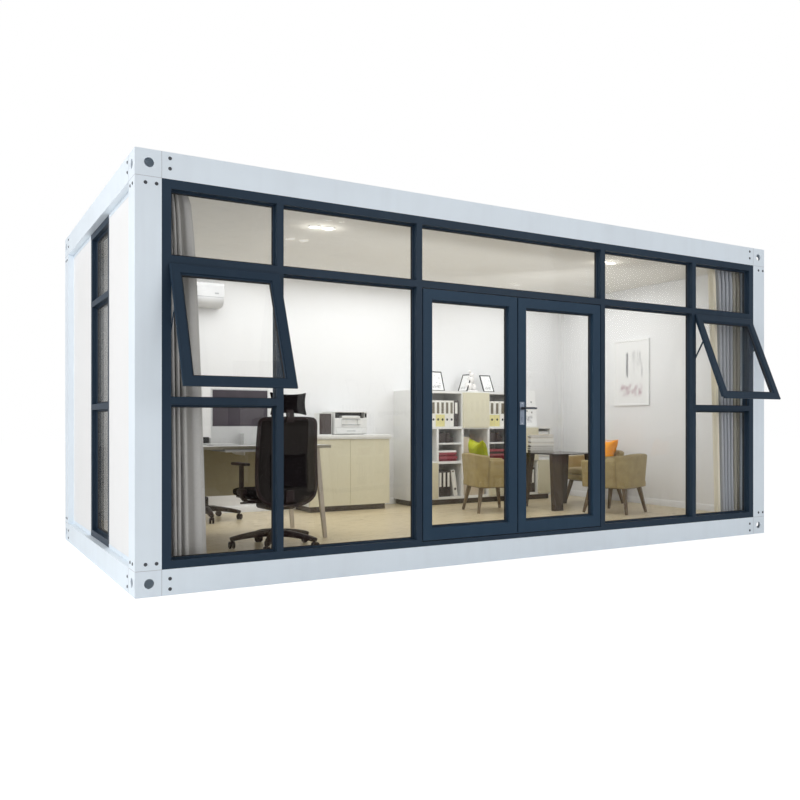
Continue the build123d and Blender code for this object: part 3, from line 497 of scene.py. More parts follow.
@dataclass(frozen=True)
class Moulded(Finish):
    """Moulded plastic or rubber with a fine texture."""

    colour: Colour
    roughness: float
    texture: float = 900
    depth: float = 0.1
    gloss: float = 0.5

    def build(self) -> bpy.types.Material:
        """Even colour, slight mottle and spark-eroded relief."""
        graph = Graph(self.name)
        place = graph.place()
        lighter = tuple(min(1.0, 0.01 + 1.12 * c) for c in self.colour)
        graph.set(base_color=graph.mix(graph.ramp(graph.noise(place, 6, 3), 0.35, 0.75), self.colour,
                                       lighter),
                  roughness=self.roughness, specular_ior_level=self.gloss)
        graph.bump(graph.noise(place, self.texture, 2), self.depth, 0.0004)
        return graph.material


@dataclass(frozen=True)
class Metal(Finish):
    """Bare or plated metal, brushed along one axis."""

    colour: Colour
    roughness: float = 0.3
    brush: Point = (60, 60, 2)

    def build(self) -> bpy.types.Material:
        """Brush marks in roughness and relief."""
        graph = Graph(self.name)
        marks = graph.noise(graph.place(self.brush), 14, 4, 0.7)
        graph.set(base_color=self.colour, metallic=1.0,
                  roughness=graph.maths("MULTIPLY_ADD", marks, 0.18))
        graph.shader.inputs["Roughness"].links[0].from_node.inputs[2].default_value = self.roughness - 0.09
        graph.bump(marks, 0.08, 0.0003)
        return graph.material


@dataclass(frozen=True)
class Galvanised(Finish):
    """Zinc-coated steel with its spangle."""

    def build(self) -> bpy.types.Material:
        """Spangle from cells."""
        graph = Graph(self.name)
        spangle = graph.cells(graph.place(), 55)
        graph.set(base_color=graph.ramp(spangle, 0.1, 0.9, (0.42, 0.44, 0.46), (0.62, 0.64, 0.66)),
                  metallic=0.9, roughness=0.45)
        graph.bump(spangle, 0.1, 0.0003)
        return graph.material


@dataclass(frozen=True)
class Woven(Finish):
    """Woven cloth: two sets of threads, with slubs, sheen and a slow change of tone."""

    colour: Colour
    shade: Colour
    threads: float = 900
    sheen: float = 0.3
    relief: float = 0.5
    gloss: float = 0.2

    def build(self) -> bpy.types.Material:
        """Threads in relief and tone."""
        graph = Graph(self.name)
        place = graph.place()
        warp, weft, cross = (graph.waves(place, self.threads / 6.3, along, 0.6) for along in "XZY")
        weave = graph.maths("MAXIMUM", graph.maths("MULTIPLY", warp, weft),
                            graph.maths("MULTIPLY", cross, weft))
        slub = graph.noise(place, 60, 4)
        tone = graph.mix(graph.ramp(slub, 0.3, 0.8), self.colour, self.shade)
        graph.set(base_color=graph.mix(graph.maths("MULTIPLY", weave, 0.35), tone, self.shade),
                  roughness=0.85, sheen_weight=self.sheen, sheen_roughness=0.5,
                  specular_ior_level=self.gloss)
        graph.bump(weave, self.relief, 0.0005)
        graph.bump(slub, 0.15, 0.0008)
        return graph.material


@dataclass(frozen=True)
class Net(Finish):
    """A stretched net: open in the middle, denser towards its rim, on the piece's own UV map."""

    colour: Colour
    rim: Colour

    def build(self) -> bpy.types.Material:
        """Threads in relief, and two densities."""
        graph = Graph(self.name)
        place = graph.place((1, 1, 1))
        threads = graph.cells(place, 420)
        share = graph.ramp(graph.axis("X", Space.UV), 0.10, 0.13)
        for name, low, high, ends in (("X", 0.87, 0.90, True), ("Y", 0.05, 0.08, False),
                                      ("Y", 0.90, 0.94, True)):
            colours = ((1, 1, 1), (0, 0, 0)) if ends else ((0, 0, 0), (1, 1, 1))
            share = graph.maths("MULTIPLY", share,
                                graph.ramp(graph.axis(name, Space.UV), low, high, *colours))
        tone = graph.mix(share, self.rim, self.colour)
        graph.set(base_color=graph.mix(graph.ramp(threads, 0.2, 0.6), self.rim, tone), roughness=0.8,
                  specular_ior_level=0.06)
        graph.bump(threads, 0.6, 0.0006)
        return graph.material


@dataclass(frozen=True)
class Drape(Finish):
    """Woven curtain cloth whose tone changes across its width, in metres along the piece's UV map; its tones
    can hold painted light and painted shade.
    """

    tones: tuple[tuple[float, Colour], ...]

    def build(self) -> bpy.types.Material:
        """Threads, and one tone after another."""
        graph = Graph(self.name)
        place = graph.place((1, 1, 1), Space.UV)
        warp, weft = graph.waves(place, 120, "X", 0.6), graph.waves(place, 120, "Y", 0.6)
        slub = graph.noise(place, 60, 4)
        tone: object = self.tones[0][1]
        for start, colour in self.tones[1:]:
            tone = graph.mix(graph.ramp(graph.maths("SUBTRACT", graph.axis("X", Space.UV), start - 0.01), 0,
                                        0.02),
                             tone, colour)
        shade = graph.maths("MULTIPLY", graph.maths("MAXIMUM", warp, weft),
                            graph.maths("MULTIPLY", slub, 0.25))
        graph.set(base_color=graph.mix(shade, tone, (0.16, 0.16, 0.16)), roughness=0.85, sheen_weight=0.3,
                  sheen_roughness=0.5, specular_ior_level=0.2)
        graph.bump(graph.maths("MULTIPLY", warp, weft), 0.4, 0.0005)
        graph.bump(slub, 0.15, 0.0008)
        return graph.material


@dataclass(frozen=True)
class Hide(Finish):
    """Upholstery leather with a pebbled grain."""

    colour: Colour
    shade: Colour

    def build(self) -> bpy.types.Material:
        """Pebbles, creases and a soft gloss."""
        graph = Graph(self.name)
        place = graph.place()
        pebbles = graph.cells(place, 330)
        creases = graph.noise(place, 14, 5)
        graph.set(base_color=graph.mix(graph.ramp(creases, 0.35, 0.8), self.colour, self.shade),
                  roughness=graph.ramp(pebbles, 0.0, 0.8, (0.62, 0.62, 0.62), (0.46, 0.46, 0.46)),
                  sheen_weight=0.1)
        graph.bump(pebbles, 0.25, 0.0006)
        graph.bump(creases, 0.12, 0.002)
        return graph.material


@dataclass(frozen=True)
class PlankFloor(Finish):
    """Sheet flooring printed with pale boards that run along the cabin."""

    light: Colour
    dark: Colour
    board: tuple[float, float] = (1.2, 0.18)

    def build(self) -> bpy.types.Material:
        """Boards, their joints and a satin wear layer."""
        graph = Graph(self.name)
        length, width = self.board
        place = graph.place()
        bricks = graph.tree.nodes.new("ShaderNodeTexBrick")
        bricks.offset, bricks.squash = 0.37, 1.0
        for key, value in (("Scale", 1.0), ("Mortar Size", 0.0012), ("Mortar Smooth", 0.4),
                           ("Brick Width", length), ("Row Height", width)):
            bricks.inputs[key].default_value = value
        bricks.inputs["Color1"].default_value = (0.0, 0.0, 0.0, 1)
        bricks.inputs["Color2"].default_value = (1.0, 1.0, 1.0, 1)
        bricks.inputs["Mortar"].default_value = (0.5, 0.5, 0.5, 1)
        graph.link(place, bricks.inputs["Vector"])
        grain = graph.noise(graph.place((1.2, 16, 1)), 5, 7, 0.6)
        tone = graph.mix(graph.ramp(grain, 0.35, 0.7), self.light, self.dark)
        tone = graph.mix(graph.maths("MULTIPLY", bricks.outputs["Color"], 0.28), tone, self.dark)
        seam = graph.mix(graph.maths("MULTIPLY", bricks.outputs["Fac"], 0.45), tone, (0.25, 0.18, 0.10))
        graph.set(base_color=seam, roughness=graph.ramp(grain, 0.2, 0.9, (0.24, 0.24, 0.24),
                                                        (0.36, 0.36, 0.36)),
                  specular_ior_level=0.5)
        graph.bump(graph.maths("SUBTRACT", 1.0, bricks.outputs["Fac"]), 0.3, 0.0006)
        graph.bump(grain, 0.06, 0.0004)
        return graph.material


@dataclass(frozen=True)
class Glow(Finish):
    """The lit diffuser of a lamp."""

    colour: Colour
    strength: float

    def build(self) -> bpy.types.Material:
        """A prismatic diffuser that gives light."""
        graph = Graph(self.name)
        graph.set(base_color=self.colour, roughness=0.35, emission_color=self.colour,
                  emission_strength=self.strength)
        graph.bump(graph.cells(graph.place(), 260), 0.2, 0.0006)
        return graph.material


class Print(Enum):
    """The plain prints in the frames."""

    STEMS = "stems"
    WASH = "wash"


@dataclass(frozen=True)
class Artwork(Finish):
    """A plain print of thin upright strokes over a soft wash, on the sheet's own UV map."""

    ink: Colour
    wash: Colour
    kind: Print = Print.STEMS

    def build(self) -> bpy.types.Material:
        """Strokes and wash on paper."""
        graph = Graph(self.name)
        place = graph.place((1, 1, 1), Space.UV)
        across, up = graph.axis("X", Space.UV), graph.axis("Y", Space.UV)

        def both(x: tuple[float, ...], y: tuple[float, ...]) -> bpy.types.NodeSocket:
            """1 inside a band across and a band up."""
            return graph.maths("MULTIPLY", graph.band(across, *x), graph.band(up, *y))

        patch = graph.ramp(graph.noise(place, 9, 6), 0.40, 0.6)
        stretched = graph.noise(graph.place((16, 1.3, 1), Space.UV, (0, 0, 0.12)), 2.4, 3)
        if self.kind is Print.STEMS:
            wash = graph.maths("MULTIPLY", both((0.17, 0.86, 0.04), (0.13, 0.30, 0.04)), patch)
            bar = graph.maths("MULTIPLY", both((0.60, 0.66, 0.008), (0.43, 0.82)),
                              graph.ramp(stretched, 0.3, 0.5))
            lines = graph.maths("MULTIPLY", both((0.14, 0.50), (0.40, 0.84)),
                                graph.ramp(stretched, 0.55, 0.6))
            strokes = graph.maths("MAXIMUM", bar, graph.maths("MULTIPLY", lines, 0.5))
        else:
            wash = graph.maths("MULTIPLY", both((0.2, 0.8, 0.04), (0.12, 0.28, 0.04)), patch)
            dots = graph.cells(graph.place((5, 7, 1), Space.UV), 1.1)
            strokes = graph.maths("MULTIPLY", both((0.18, 0.82), (0.23, 0.80, 0.04)),
                                  graph.ramp(dots, 0.16, 0.26, (1, 1, 1), (0, 0, 0)))
        tone = graph.mix(graph.maths("MULTIPLY", wash, 0.8), (0.86, 0.86, 0.85), self.wash)
        graph.set(base_color=graph.mix(graph.maths("MULTIPLY", strokes, 0.8), tone, self.ink), roughness=0.7)
        graph.bump(graph.noise(graph.place(), 500, 2), 0.1, 0.0002)
        return graph.material


@dataclass(frozen=True)
class Pages(Finish):
    """The stacked leaves of a book or a pile of magazines."""

    colour: Colour

    def build(self) -> bpy.types.Material:
        """Fine layers across the height."""
        graph = Graph(self.name)
        leaves = graph.noise(graph.place((2, 2, 260)), 3, 2)
        graph.set(base_color=graph.ramp(leaves, 0.3, 0.7, tuple(0.72 * c for c in self.colour), self.colour),
                  roughness=0.8)
        graph.bump(leaves, 0.4, 0.0006)
        return graph.material


WHITE_STEEL = PowderCoat("white_coat", (0.80, 0.88, 0.95), (0.70, 0.76, 0.82))
WALL_FACE = PowderCoat("wall_panel_facing", (0.85, 0.85, 0.85), (0.81, 0.81, 0.80), 0.5, 0.2)
ROOF_FACE = PowderCoat("roof_sheet_facing", (0.62, 0.63, 0.64), (0.48, 0.47, 0.45), 0.5, 0.2)
CEILING_FACE = PowderCoat("ceiling_facing", (0.84, 0.82, 0.77), (0.72, 0.70, 0.66), 0.6, 0.1)
SLATE = PowderCoat("slate_coat", linear(38, 54, 70), linear(50, 66, 82), 0.42, 0.1, 0.0, 0.16)
DOOR_SLATE = PowderCoat("door_slate_coat", linear(40, 62, 82), linear(50, 72, 92), 0.42, 0.1, 0.0, 0.16)
JOIST = Galvanised("galvanised_joist")
CEMENT = Moulded("cement_board", (0.42, 0.40, 0.37), 0.85, 300, 0.3)
FLOOR = PlankFloor("pale_board_floor", linear(222, 208, 176), linear(202, 184, 147))
CLEAR = Pane("clear_glass", (1.0, 1.0, 1.0), 0.04, 1.0, 0.2)
TINTED = Pane("grey_tinted_pane", (0.17, 0.175, 0.175), 0.62, 0.6)
TABLE_GLASS = Pane("smoked_table_pane", (0.05, 0.045, 0.035), 0.74, 0.0, 0.05)
SATIN_STEEL = Metal("satin_steel", (0.66, 0.68, 0.70), 0.32)
PLATE_STEEL = Metal("lock_plate_steel", (0.25, 0.29, 0.36), 0.36)
LEVER_STEEL = Metal("lever_steel", (0.12, 0.13, 0.15), 0.30, (2, 60, 60))
WHITE_BOARD = Board("white_laminate", (0.82, 0.82, 0.80), (0.72, 0.71, 0.68), 0.25)
BEIGE_BOARD = Board("beige_laminate", linear(220, 215, 190), linear(206, 199, 174), 0.5)
DARK_BOARD = Board("dark_laminate", linear(62, 50, 44), linear(42, 33, 28), 0.6)
DESK_WOOD = Timber("grey_brown_wood", linear(214, 204, 188), linear(190, 176, 160))
# darker olive edge band: painted shade of the desk top's front edge, not the band's own colour
EDGE_BAND_SHADE = Board("olive_edge_band", linear(168, 160, 140), linear(150, 142, 122), 0.4)
OLIVE_BOARD = Board("olive_panel_facing", linear(168, 158, 126), linear(150, 140, 108), 0.4)
GLASS_EDGE = Moulded("ground_glass_edge", linear(40, 30, 22), 0.5, 600, 0.03, 0.1)
TABLE_WOOD = Timber("dark_table_wood", linear(74, 60, 48), linear(48, 38, 30), varnish=0.02)
TUB_WOOD = Timber("brown_leg_wood", linear(128, 110, 84), linear(92, 76, 56))
TUB_HIDE = Hide("khaki_upholstery", linear(167, 149, 100), linear(147, 129, 84))
PIPING = Hide("khaki_piping", linear(146, 130, 92), linear(132, 116, 80))
BLACK_PLASTIC = Moulded("black_brown_plastic", linear(34, 17, 16), 0.42, 900, 0.1, 0.22)
BLACK_CLOTH = Woven("black_seat_cloth", linear(24, 18, 20), linear(14, 10, 12), 1100, 0.0, 0.5, 0.05)
BLACK_NET = Net("black_back_net", linear(44, 40, 38), linear(36, 32, 30))
LEFT_DRAPE = Drape("left_curtain_cloth", ((0.0, linear(196, 196, 196)), (0.30, linear(206, 204, 200))))
# right curtain: the cream leading strip is painted light from the left, the olive-grey right part is painted
# shade from the jamb, and the blue-grey between is the cloth's own tone
RIGHT_DRAPE = Drape("right_curtain_cloth", ((0.0, linear(238, 230, 206)), (0.13, linear(178, 182, 188)),
                                            (0.62, linear(176, 172, 156))))
GREEN_CLOTH = Woven("lime_cushion_cloth", linear(180, 188, 32), linear(152, 160, 22), 800, 0.1, 0.6)
ORANGE_CLOTH = Woven("orange_cushion_cloth", linear(255, 178, 62), linear(252, 154, 42), 800, 0.05, 0.6)
WHITE_PLASTIC = Moulded("gloss_white_plastic", (0.84, 0.84, 0.83), 0.3, 700, 0.04)
UNIT_WHITE = Moulded("wall_unit_white", (0.64, 0.64, 0.64), 0.4, 700, 0.04)
PRINTER_WHITE = Moulded("printer_white", (0.72, 0.72, 0.70), 0.4, 700, 0.04)
GREY_PLASTIC = Moulded("grey_plastic", (0.35, 0.36, 0.37), 0.4)
DARK_GLOSS = Moulded("dark_gloss_plastic", (0.018, 0.018, 0.02), 0.35, 600, 0.02, 0.15)
DISPLAY = Moulded("display_face", linear(84, 76, 84), 0.12, 300, 0.005)
RUBBER = Moulded("black_gasket", (0.012, 0.012, 0.014), 0.6)
FASTENER = Moulded("dark_fastener", (0.05, 0.055, 0.065), 0.4)
SEALANT = Moulded("joint_sealant", (0.50, 0.52, 0.56), 0.6)
LAMP_LIGHT = Glow("lamp_diffuser", (1.0, 0.97, 0.90), 6.0)
PAPER = Moulded("plain_paper", (0.84, 0.84, 0.82), 0.75, 500, 0.1)
BINDER_WHITE = Moulded("binder_white", (0.80, 0.79, 0.74), 0.5, 500, 0.1)
BINDER_YELLOW = Moulded("binder_yellow", linear(222, 214, 150), 0.5, 500, 0.1)
BINDER_DARK = Moulded("binder_dark", linear(52, 42, 40), 0.5, 500, 0.1)
LABEL = Moulded("binder_label", linear(112, 104, 88), 0.6, 500, 0.1)
RED_COVER = Woven("red_book_cloth", linear(122, 40, 52), linear(96, 28, 38), 1300, 0.05, 0.3)
PINK_COVER = Woven("rose_book_cloth", linear(172, 86, 94), linear(148, 66, 74), 1300, 0.05, 0.3)
BROWN_BOX = Board("brown_box_board", linear(62, 50, 48), linear(46, 36, 34), 0.5)
CREAM_BOX = Board("cream_box_board", linear(206, 192, 170), linear(188, 172, 150), 0.5)
LEAVES = Pages("book_leaves", (0.80, 0.77, 0.70))
WALL_PRINT = Artwork("stem_print", linear(70, 72, 78), linear(186, 160, 168))
SMALL_PRINT = Artwork("wash_print", linear(64, 62, 66), linear(120, 118, 122), Print.WASH)
LARGE_PRINT = Artwork("large_wash_print", linear(54, 54, 60), linear(150, 150, 156), Print.WASH)
FIGURE_WHITE = Moulded("figure_glaze", (0.80, 0.78, 0.76), 0.25, 300, 0.02)


# ---- shapes --------------------------------------------------------------------------------------
Profile = Sequence[tuple[float, float]]
PATH_STEPS = 6             # pieces that each run of a smooth path is cut into


def show(name: str, data: bpy.types.ID) -> bpy.types.Object:
    """A new object with this data, in the scene.

    Args:
        name: the object's name.
        data: its mesh, light or camera.

    Returns:
        The object.
    """
    made = bpy.data.objects.new(name, data)
    bpy.context.scene.collection.objects.link(made)
    return made


def smooth_path(points: Sequence[Point]) -> list[Vector]:
    """A smooth line through points.

    Args:
        points: the points it passes.

    Returns:
        The points of the line.
    """
    knots = [Vector(p) for p in points]
    ends = [knots[0]] + knots + [knots[-1]]
    line = []
    for a, b, c, d in zip(ends, ends[1:], ends[2:], ends[3:]):
        for k in range(PATH_STEPS):
            t = k / PATH_STEPS
            line.append(0.5 * (2 * b + (c - a) * t + (2 * a - 5 * b + 4 * c - d) * t * t
                               + (3 * b - a - 3 * c + d) * t ** 3))
    return line + [knots[-1]]


@dataclass
class Shape:
    """A mesh in the making: simple closed forms are added to it and then it becomes one piece."""

    points: list[Vector] = field(default_factory=list)
    faces: list[tuple[int, ...]] = field(default_factory=list)
    paints: list[int] = field(default_factory=list)
    paint: int = 0
    place: Matrix = field(default_factory=Matrix)

    def take(self, mesh: bmesh.types.BMesh) -> "Shape":
        """Adds a finished form, set in the current place, and frees it.

        Args:
            mesh: the form.

        Returns:
            This shape.
        """
        base = len(self.points)
        mesh.verts.index_update()
        self.points += [self.place @ vert.co for vert in mesh.verts]
        for face in mesh.faces:
            self.faces.append(tuple(base + vert.index for vert in face.verts))
            self.paints.append(self.paint)
        mesh.free()
        return self

    def slab(self, lo: Sequence[float], hi: Sequence[float], round_by: float = 0.0,
             segments: int = 2) -> "Shape":
        """Adds a box with rounded edges.

        Args:
            lo, hi: its corners.
            round_by: how much the edges are rounded.
            segments: how many faces each rounding has.

        Returns:
            The shape.
        """
        lo, hi = Vector(lo), Vector(hi)
        mesh = bmesh.new()
        bmesh.ops.create_cube(mesh, size=1.0)
        for vert in mesh.verts:
            vert.co = Vector([(lo[k] + hi[k]) / 2 + vert.co[k] * (hi[k] - lo[k]) for k in range(3)])
        if round_by:
            bmesh.ops.bevel(mesh, geom=list(mesh.edges), offset=min(round_by, 0.49 * min(hi - lo)),
                            segments=segments, affect="EDGES", profile=0.5)
        return self.take(mesh)

    def loft(self, rings: Sequence[Sequence[Vector]], closed: bool = False) -> "Shape":
        """Adds a skin over rings of points.

        Args:
            rings: rings with as many points each.
            closed: whether the last ring joins the first; if not, both ends are capped.

        Returns:
            The shape.
        """
        mesh = bmesh.new()
        made = [[mesh.verts.new(p) for p in ring] for ring in rings]
        pairs = list(zip(made, made[1:])) + ([(made[-1], made[0])] if closed else [])
        count = len(made[0])
        for first, second in pairs:
            for k in range(count):
                n = (k + 1) % count
                mesh.faces.new((first[k], first[n], second[n], second[k]))
        if not closed:
            mesh.faces.new(made[0][::-1])
            mesh.faces.new(made[-1])
        bmesh.ops.remove_doubles(mesh, verts=mesh.verts, dist=0.000001)
        return self.take(mesh)

    def lathe(self, profile: Profile, foot: Sequence[float], axis: str = "Z", sides: int = 32) -> "Shape":
        """Adds a turned form.

        Args:
            profile: pairs of radius and height, from one end to the other; the ends are closed.
            foot: where height 0 lies.
            axis: the turning axis.
            sides: how many faces it has around.

        Returns:
            The shape.
        """
        turn = {"Z": Matrix(), "X": Matrix.Rotation(math.pi / 2, 4, "Y"),
                "Y": Matrix.Rotation(-math.pi / 2, 4, "X")}[axis]
        rings = []
        for radius, height in profile:
            ring = [Vector((max(radius, 1e-5) * math.cos(a), max(radius, 1e-5) * math.sin(a), height))
                    for a in (2 * math.pi * k / sides for k in range(sides))]
            rings.append([Vector(foot) + turn @ p for p in ring])
        return self.loft(rings)

    def tube(self, path: Sequence[Sequence[float]], section: Callable[[float], Profile],
             side: Sequence[float] = (0, 0, 1), closed: bool = False) -> "Shape":
        """Adds a bar along a path.

        Args:
            path: the points of its middle line.
            section: the outline, as (across, up) pairs, at each share of the length.
            side: the direction that stays nearest to the outline's up.
            closed: whether the path joins its own start.

        Returns:
            The shape.
        """
        path = [Vector(p) for p in path]
        rings = []
        last = len(path) - 1
        for k, point in enumerate(path):
            before = path[k - 1] if k or closed else point
            after = path[(k + 1) % len(path)] if k < last or closed else point
            ahead = (after - before).normalized()
            across = ahead.cross(Vector(side)).normalized()
            up = across.cross(ahead)
            rings.append([point + across * a + up * b for a, b in section(k / max(1, last))])
        return self.loft(rings, closed)

    def border(self, lo: Sequence[float], hi: Sequence[float], profile: Profile, facing: str) -> "Shape":
        """Adds a mitred frame round an opening.

        Args:
            lo, hi: the opening's corners, at one depth.
            profile: pairs of how far in from the opening's edge and how far towards the viewer.
            facing: the axis it faces, such as -Y.

        Returns:
            The shape.
        """
        normal = Vector({"X": (1, 0, 0), "Y": (0, 1, 0), "Z": (0, 0, 1)}[facing[-1]])
        if facing[0] == "-":
            normal = -normal
        first, second = [k for k in range(3) if not normal[k]]
        rings = []
        for a, b in ((0, 0), (1, 0), (1, 1), (0, 1)):
            corner = Vector(lo)
            corner[first] = (lo, hi)[a][first]
            corner[second] = (lo, hi)[b][second]
            inward = Vector((0, 0, 0))
            inward[first] = 1 - 2 * a
            inward[second] = 1 - 2 * b
            rings.append([corner + inward * i + normal * out for i, out in profile])
        return self.loft(rings, closed=True)

    def piece(self, name: str, body: str, slot: str, finishes: Sequence[Finish],
              replaces: Sequence[str] = (), corner: float = 35.0) -> bpy.types.Object:
        """Turns the shape into a piece that rides on a body.

        Args:
            name: the piece's name.
            body: the body it moves with.
            slot: the record's material slot; not used.
            finishes: the finishes, in the order of the paint numbers.
            replaces: the carried-over nodes that it stands for.
            corner: the angle past which an edge stays sharp, in degrees.

        Returns:
            The piece.
        """
        mesh = bpy.data.meshes.new(name)
        mesh.from_pydata(self.points, [], self.faces)
        mesh.polygons.foreach_set("material_index", self.paints)
        work = bmesh.new()
        work.from_mesh(mesh)
        bmesh.ops.recalc_face_normals(work, faces=work.faces)
        soften(work, corner)
        work.to_mesh(mesh)
        work.free()
        return settle(show(name, mesh), body, finishes, replaces)


def soften(mesh: bmesh.types.BMesh, corner: float) -> None:
    """Smooths the faces and keeps the edges that turn by more than an angle in degrees sharp.

    Args:
        mesh: the form, which is changed.
        corner: the angle.
    """
    for face in mesh.faces:
        face.smooth = True
    limit = math.radians(corner)
    for edge in mesh.edges:
        if len(edge.link_faces) == 2:
            edge.smooth = edge.calc_face_angle(0.0) < limit


def settle(made: bpy.types.Object, body: str, finishes: Sequence[Finish],
           replaces: Sequence[str] = ()) -> bpy.types.Object:
    """Gives a piece its finishes and joins it to the frame.

    Args:
        made: the piece.
        body: the body it moves with.
        finishes: its finishes.
        replaces: the carried-over nodes that it stands for.

    Returns:
        The piece.
    """
    mesh = made.data
    paints = [0] * len(mesh.polygons)
    mesh.polygons.foreach_get("material_index", paints)
    mesh.materials.clear()
    for finish in finishes:
        mesh.materials.append(finish.make())
    mesh.polygons.foreach_set("material_index", paints)
    if replaces:
        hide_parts(*replaces)
    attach(made, body)
    LOG.info("%s: %d faces on %s", made.name, len(mesh.polygons), body)
    return made


# ---- repeated things, by Geometry Nodes ----------------------------------------------------------
class Repeat:
    """A Geometry Nodes tree with named inputs, run once and kept as a plain mesh."""

    def __init__(self, name: str, inputs: dict[str, tuple[str, object]]) -> None:
        """Starts the tree.

        Args:
            name: the tree's name.
            inputs: each input's name with its kind and value.
        """
        self.name = name
        self.values = {key: value for key, (_, value) in inputs.items()}
        self.tree = bpy.data.node_groups.new(name, "GeometryNodeTree")
        face = self.tree.interface
        face.new_socket("Geometry", in_out="INPUT", socket_type="NodeSocketGeometry")
        for key, (kind, _) in inputs.items():
            face.new_socket(key, in_out="INPUT", socket_type="NodeSocket" + kind)
        face.new_socket("Geometry", in_out="OUTPUT", socket_type="NodeSocketGeometry")
        self.given = self.tree.nodes.new("NodeGroupInput").outputs
        self.end = self.tree.nodes.new("NodeGroupOutput").inputs[0]

    def add(self, kind: str, links: dict[str, object] | None = None, **settings: object) -> bpy.types.Node:
        """Adds a node, with its attributes and its inputs by name.

        Args:
            kind: the node's type.
            links: its inputs, by name.
            settings: its attributes.

        Returns:
            The node.
        """
        node = self.tree.nodes.new(kind)
        for key, value in settings.items():
            setattr(node, key, value)
        for key, value in (links or {}).items():
            socket = next(s for s in node.inputs if s.name == key and s.enabled)
            if isinstance(value, bpy.types.NodeSocket):
                self.tree.links.new(value, socket)
            else:
                socket.default_value = value
        return node

    def run(self, points: Sequence[Vector], finish: Finish, geometry: bpy.types.NodeSocket,
            facing: Sequence[Vector] = (), edges: Sequence[tuple[int, int]] = ()) -> bpy.types.Object:
        """Ends the tree, runs it on points and keeps the result as a plain mesh.

        Args:
            points: the points that the tree starts from.
            finish: the finish that Set Material gives.
            geometry: the tree's last socket with instances.
            facing: a direction for each point, if the tree reads one.
            edges: pairs of points that are joined.

        Returns:
            The object, with no modifier left on it.
        """
        real = self.add("GeometryNodeRealizeInstances", {"Geometry": geometry})
        painted = self.add("GeometryNodeSetMaterial",
                           {"Geometry": real.outputs[0], "Material": finish.make()})
        self.tree.links.new(painted.outputs[0], self.end)
        mesh = bpy.data.meshes.new(self.name)
        mesh.from_pydata(list(points), list(edges), [])
        if facing:
            mesh.attributes.new("facing", "FLOAT_VECTOR", "POINT")
            mesh.attributes["facing"].data.foreach_set("vector", [c for v in facing for c in v])
        made = show(self.name, mesh)
        modifier = made.modifiers.new(self.name, "NODES")
        modifier.node_group = self.tree
        for item in self.tree.interface.items_tree:
            if item.in_out == "INPUT" and item.name in self.values:
                modifier[item.identifier] = self.values[item.name]
        graph = bpy.context.evaluated_depsgraph_get()
        plain = bpy.data.meshes.new_from_object(made.evaluated_get(graph))
        made.modifiers.clear()
        made.data = plain
        plain.name = self.name
        return made


def studs(name: str, points: Sequence[Vector], facing: Sequence[Vector], radius: float, height: float,
          finish: Finish, sides: int = 6) -> bpy.types.Object:
    """Bolt heads, screws or plugs on points, each a tapered head on a thin washer.

    Args:
        name: the piece's name.
        points: where each one sits.
        facing: which way each one faces.
        radius, height: the head's size.
        finish: its finish.
        sides: the head's number of sides.

    Returns:
        The object.
    """
    tree = Repeat(name, {"Radius": ("Float", radius), "Height": ("Float", height), "Sides": ("Int", sides)})
    wide = tree.add("ShaderNodeMath", operation="MULTIPLY")
    tree.tree.links.new(tree.given["Radius"], wide.inputs[0])
    wide.inputs[1].default_value = 1.35
    chamfer = tree.add("ShaderNodeMath", operation="MULTIPLY")
    tree.tree.links.new(tree.given["Radius"], chamfer.inputs[0])
    chamfer.inputs[1].default_value = 0.86
    head = tree.add("GeometryNodeMeshCone",
                    {"Vertices": tree.given["Sides"], "Radius Top": chamfer.outputs[0],
                                             "Radius Bottom": tree.given["Radius"],
                                             "Depth": tree.given["Height"]})
    washer = tree.add("GeometryNodeMeshCylinder", {"Vertices": 20, "Radius": wide.outputs[0],
                                                   "Depth": 2 * 0.0008})
    both = tree.add("GeometryNodeJoinGeometry")
    for part in (head, washer):
        tree.tree.links.new(part.outputs["Mesh"], both.inputs[0])
    attribute = tree.add("GeometryNodeInputNamedAttribute", data_type="FLOAT_VECTOR")
    attribute.inputs["Name"].default_value = "facing"
    turn = tree.add("FunctionNodeAlignRotationToVector", {"Vector": attribute.outputs["Attribute"]}, axis="Z")
    placed = tree.add("GeometryNodeInstanceOnPoints", {"Points": tree.given["Geometry"],
                                                       "Instance": both.outputs[0],
                                                       "Rotation": turn.outputs[0]})
    return tree.run(points, finish, placed.outputs[0], facing)


def bars(name: str, points: Sequence[Vector], size: Point, finish: Finish, jitter: float = 0.0,
         seed: int = 3) -> bpy.types.Object:
    """Equal slats, keys or ribs, one on each point.

    Args:
        name: the piece's name.
        points: the middle of each one.
        size: its size along X, Y and Z.
        finish: its finish.
        jitter: how far each may be off its place along X.
        seed: the seed of that jitter.

    Returns:
        The object.
    """
    tree = Repeat(name, {"Size": ("Vector", size), "Jitter": ("Float", jitter), "Seed": ("Int", seed)})
    block = tree.add("GeometryNodeMeshCube", {"Size": tree.given["Size"]})
    shift = tree.add("FunctionNodeRandomValue", {"Max": tree.given["Jitter"], "Seed": tree.given["Seed"]},
                     data_type="FLOAT")
    offset = tree.add("ShaderNodeCombineXYZ", {"X": shift.outputs[1]})
    moved = tree.add("GeometryNodeSetPosition",
                     {"Geometry": tree.given["Geometry"], "Offset": offset.outputs[0]})
    placed = tree.add("GeometryNodeInstanceOnPoints",
                      {"Points": moved.outputs[0], "Instance": block.outputs[0]})
    return tree.run(points, finish, placed.outputs[0])


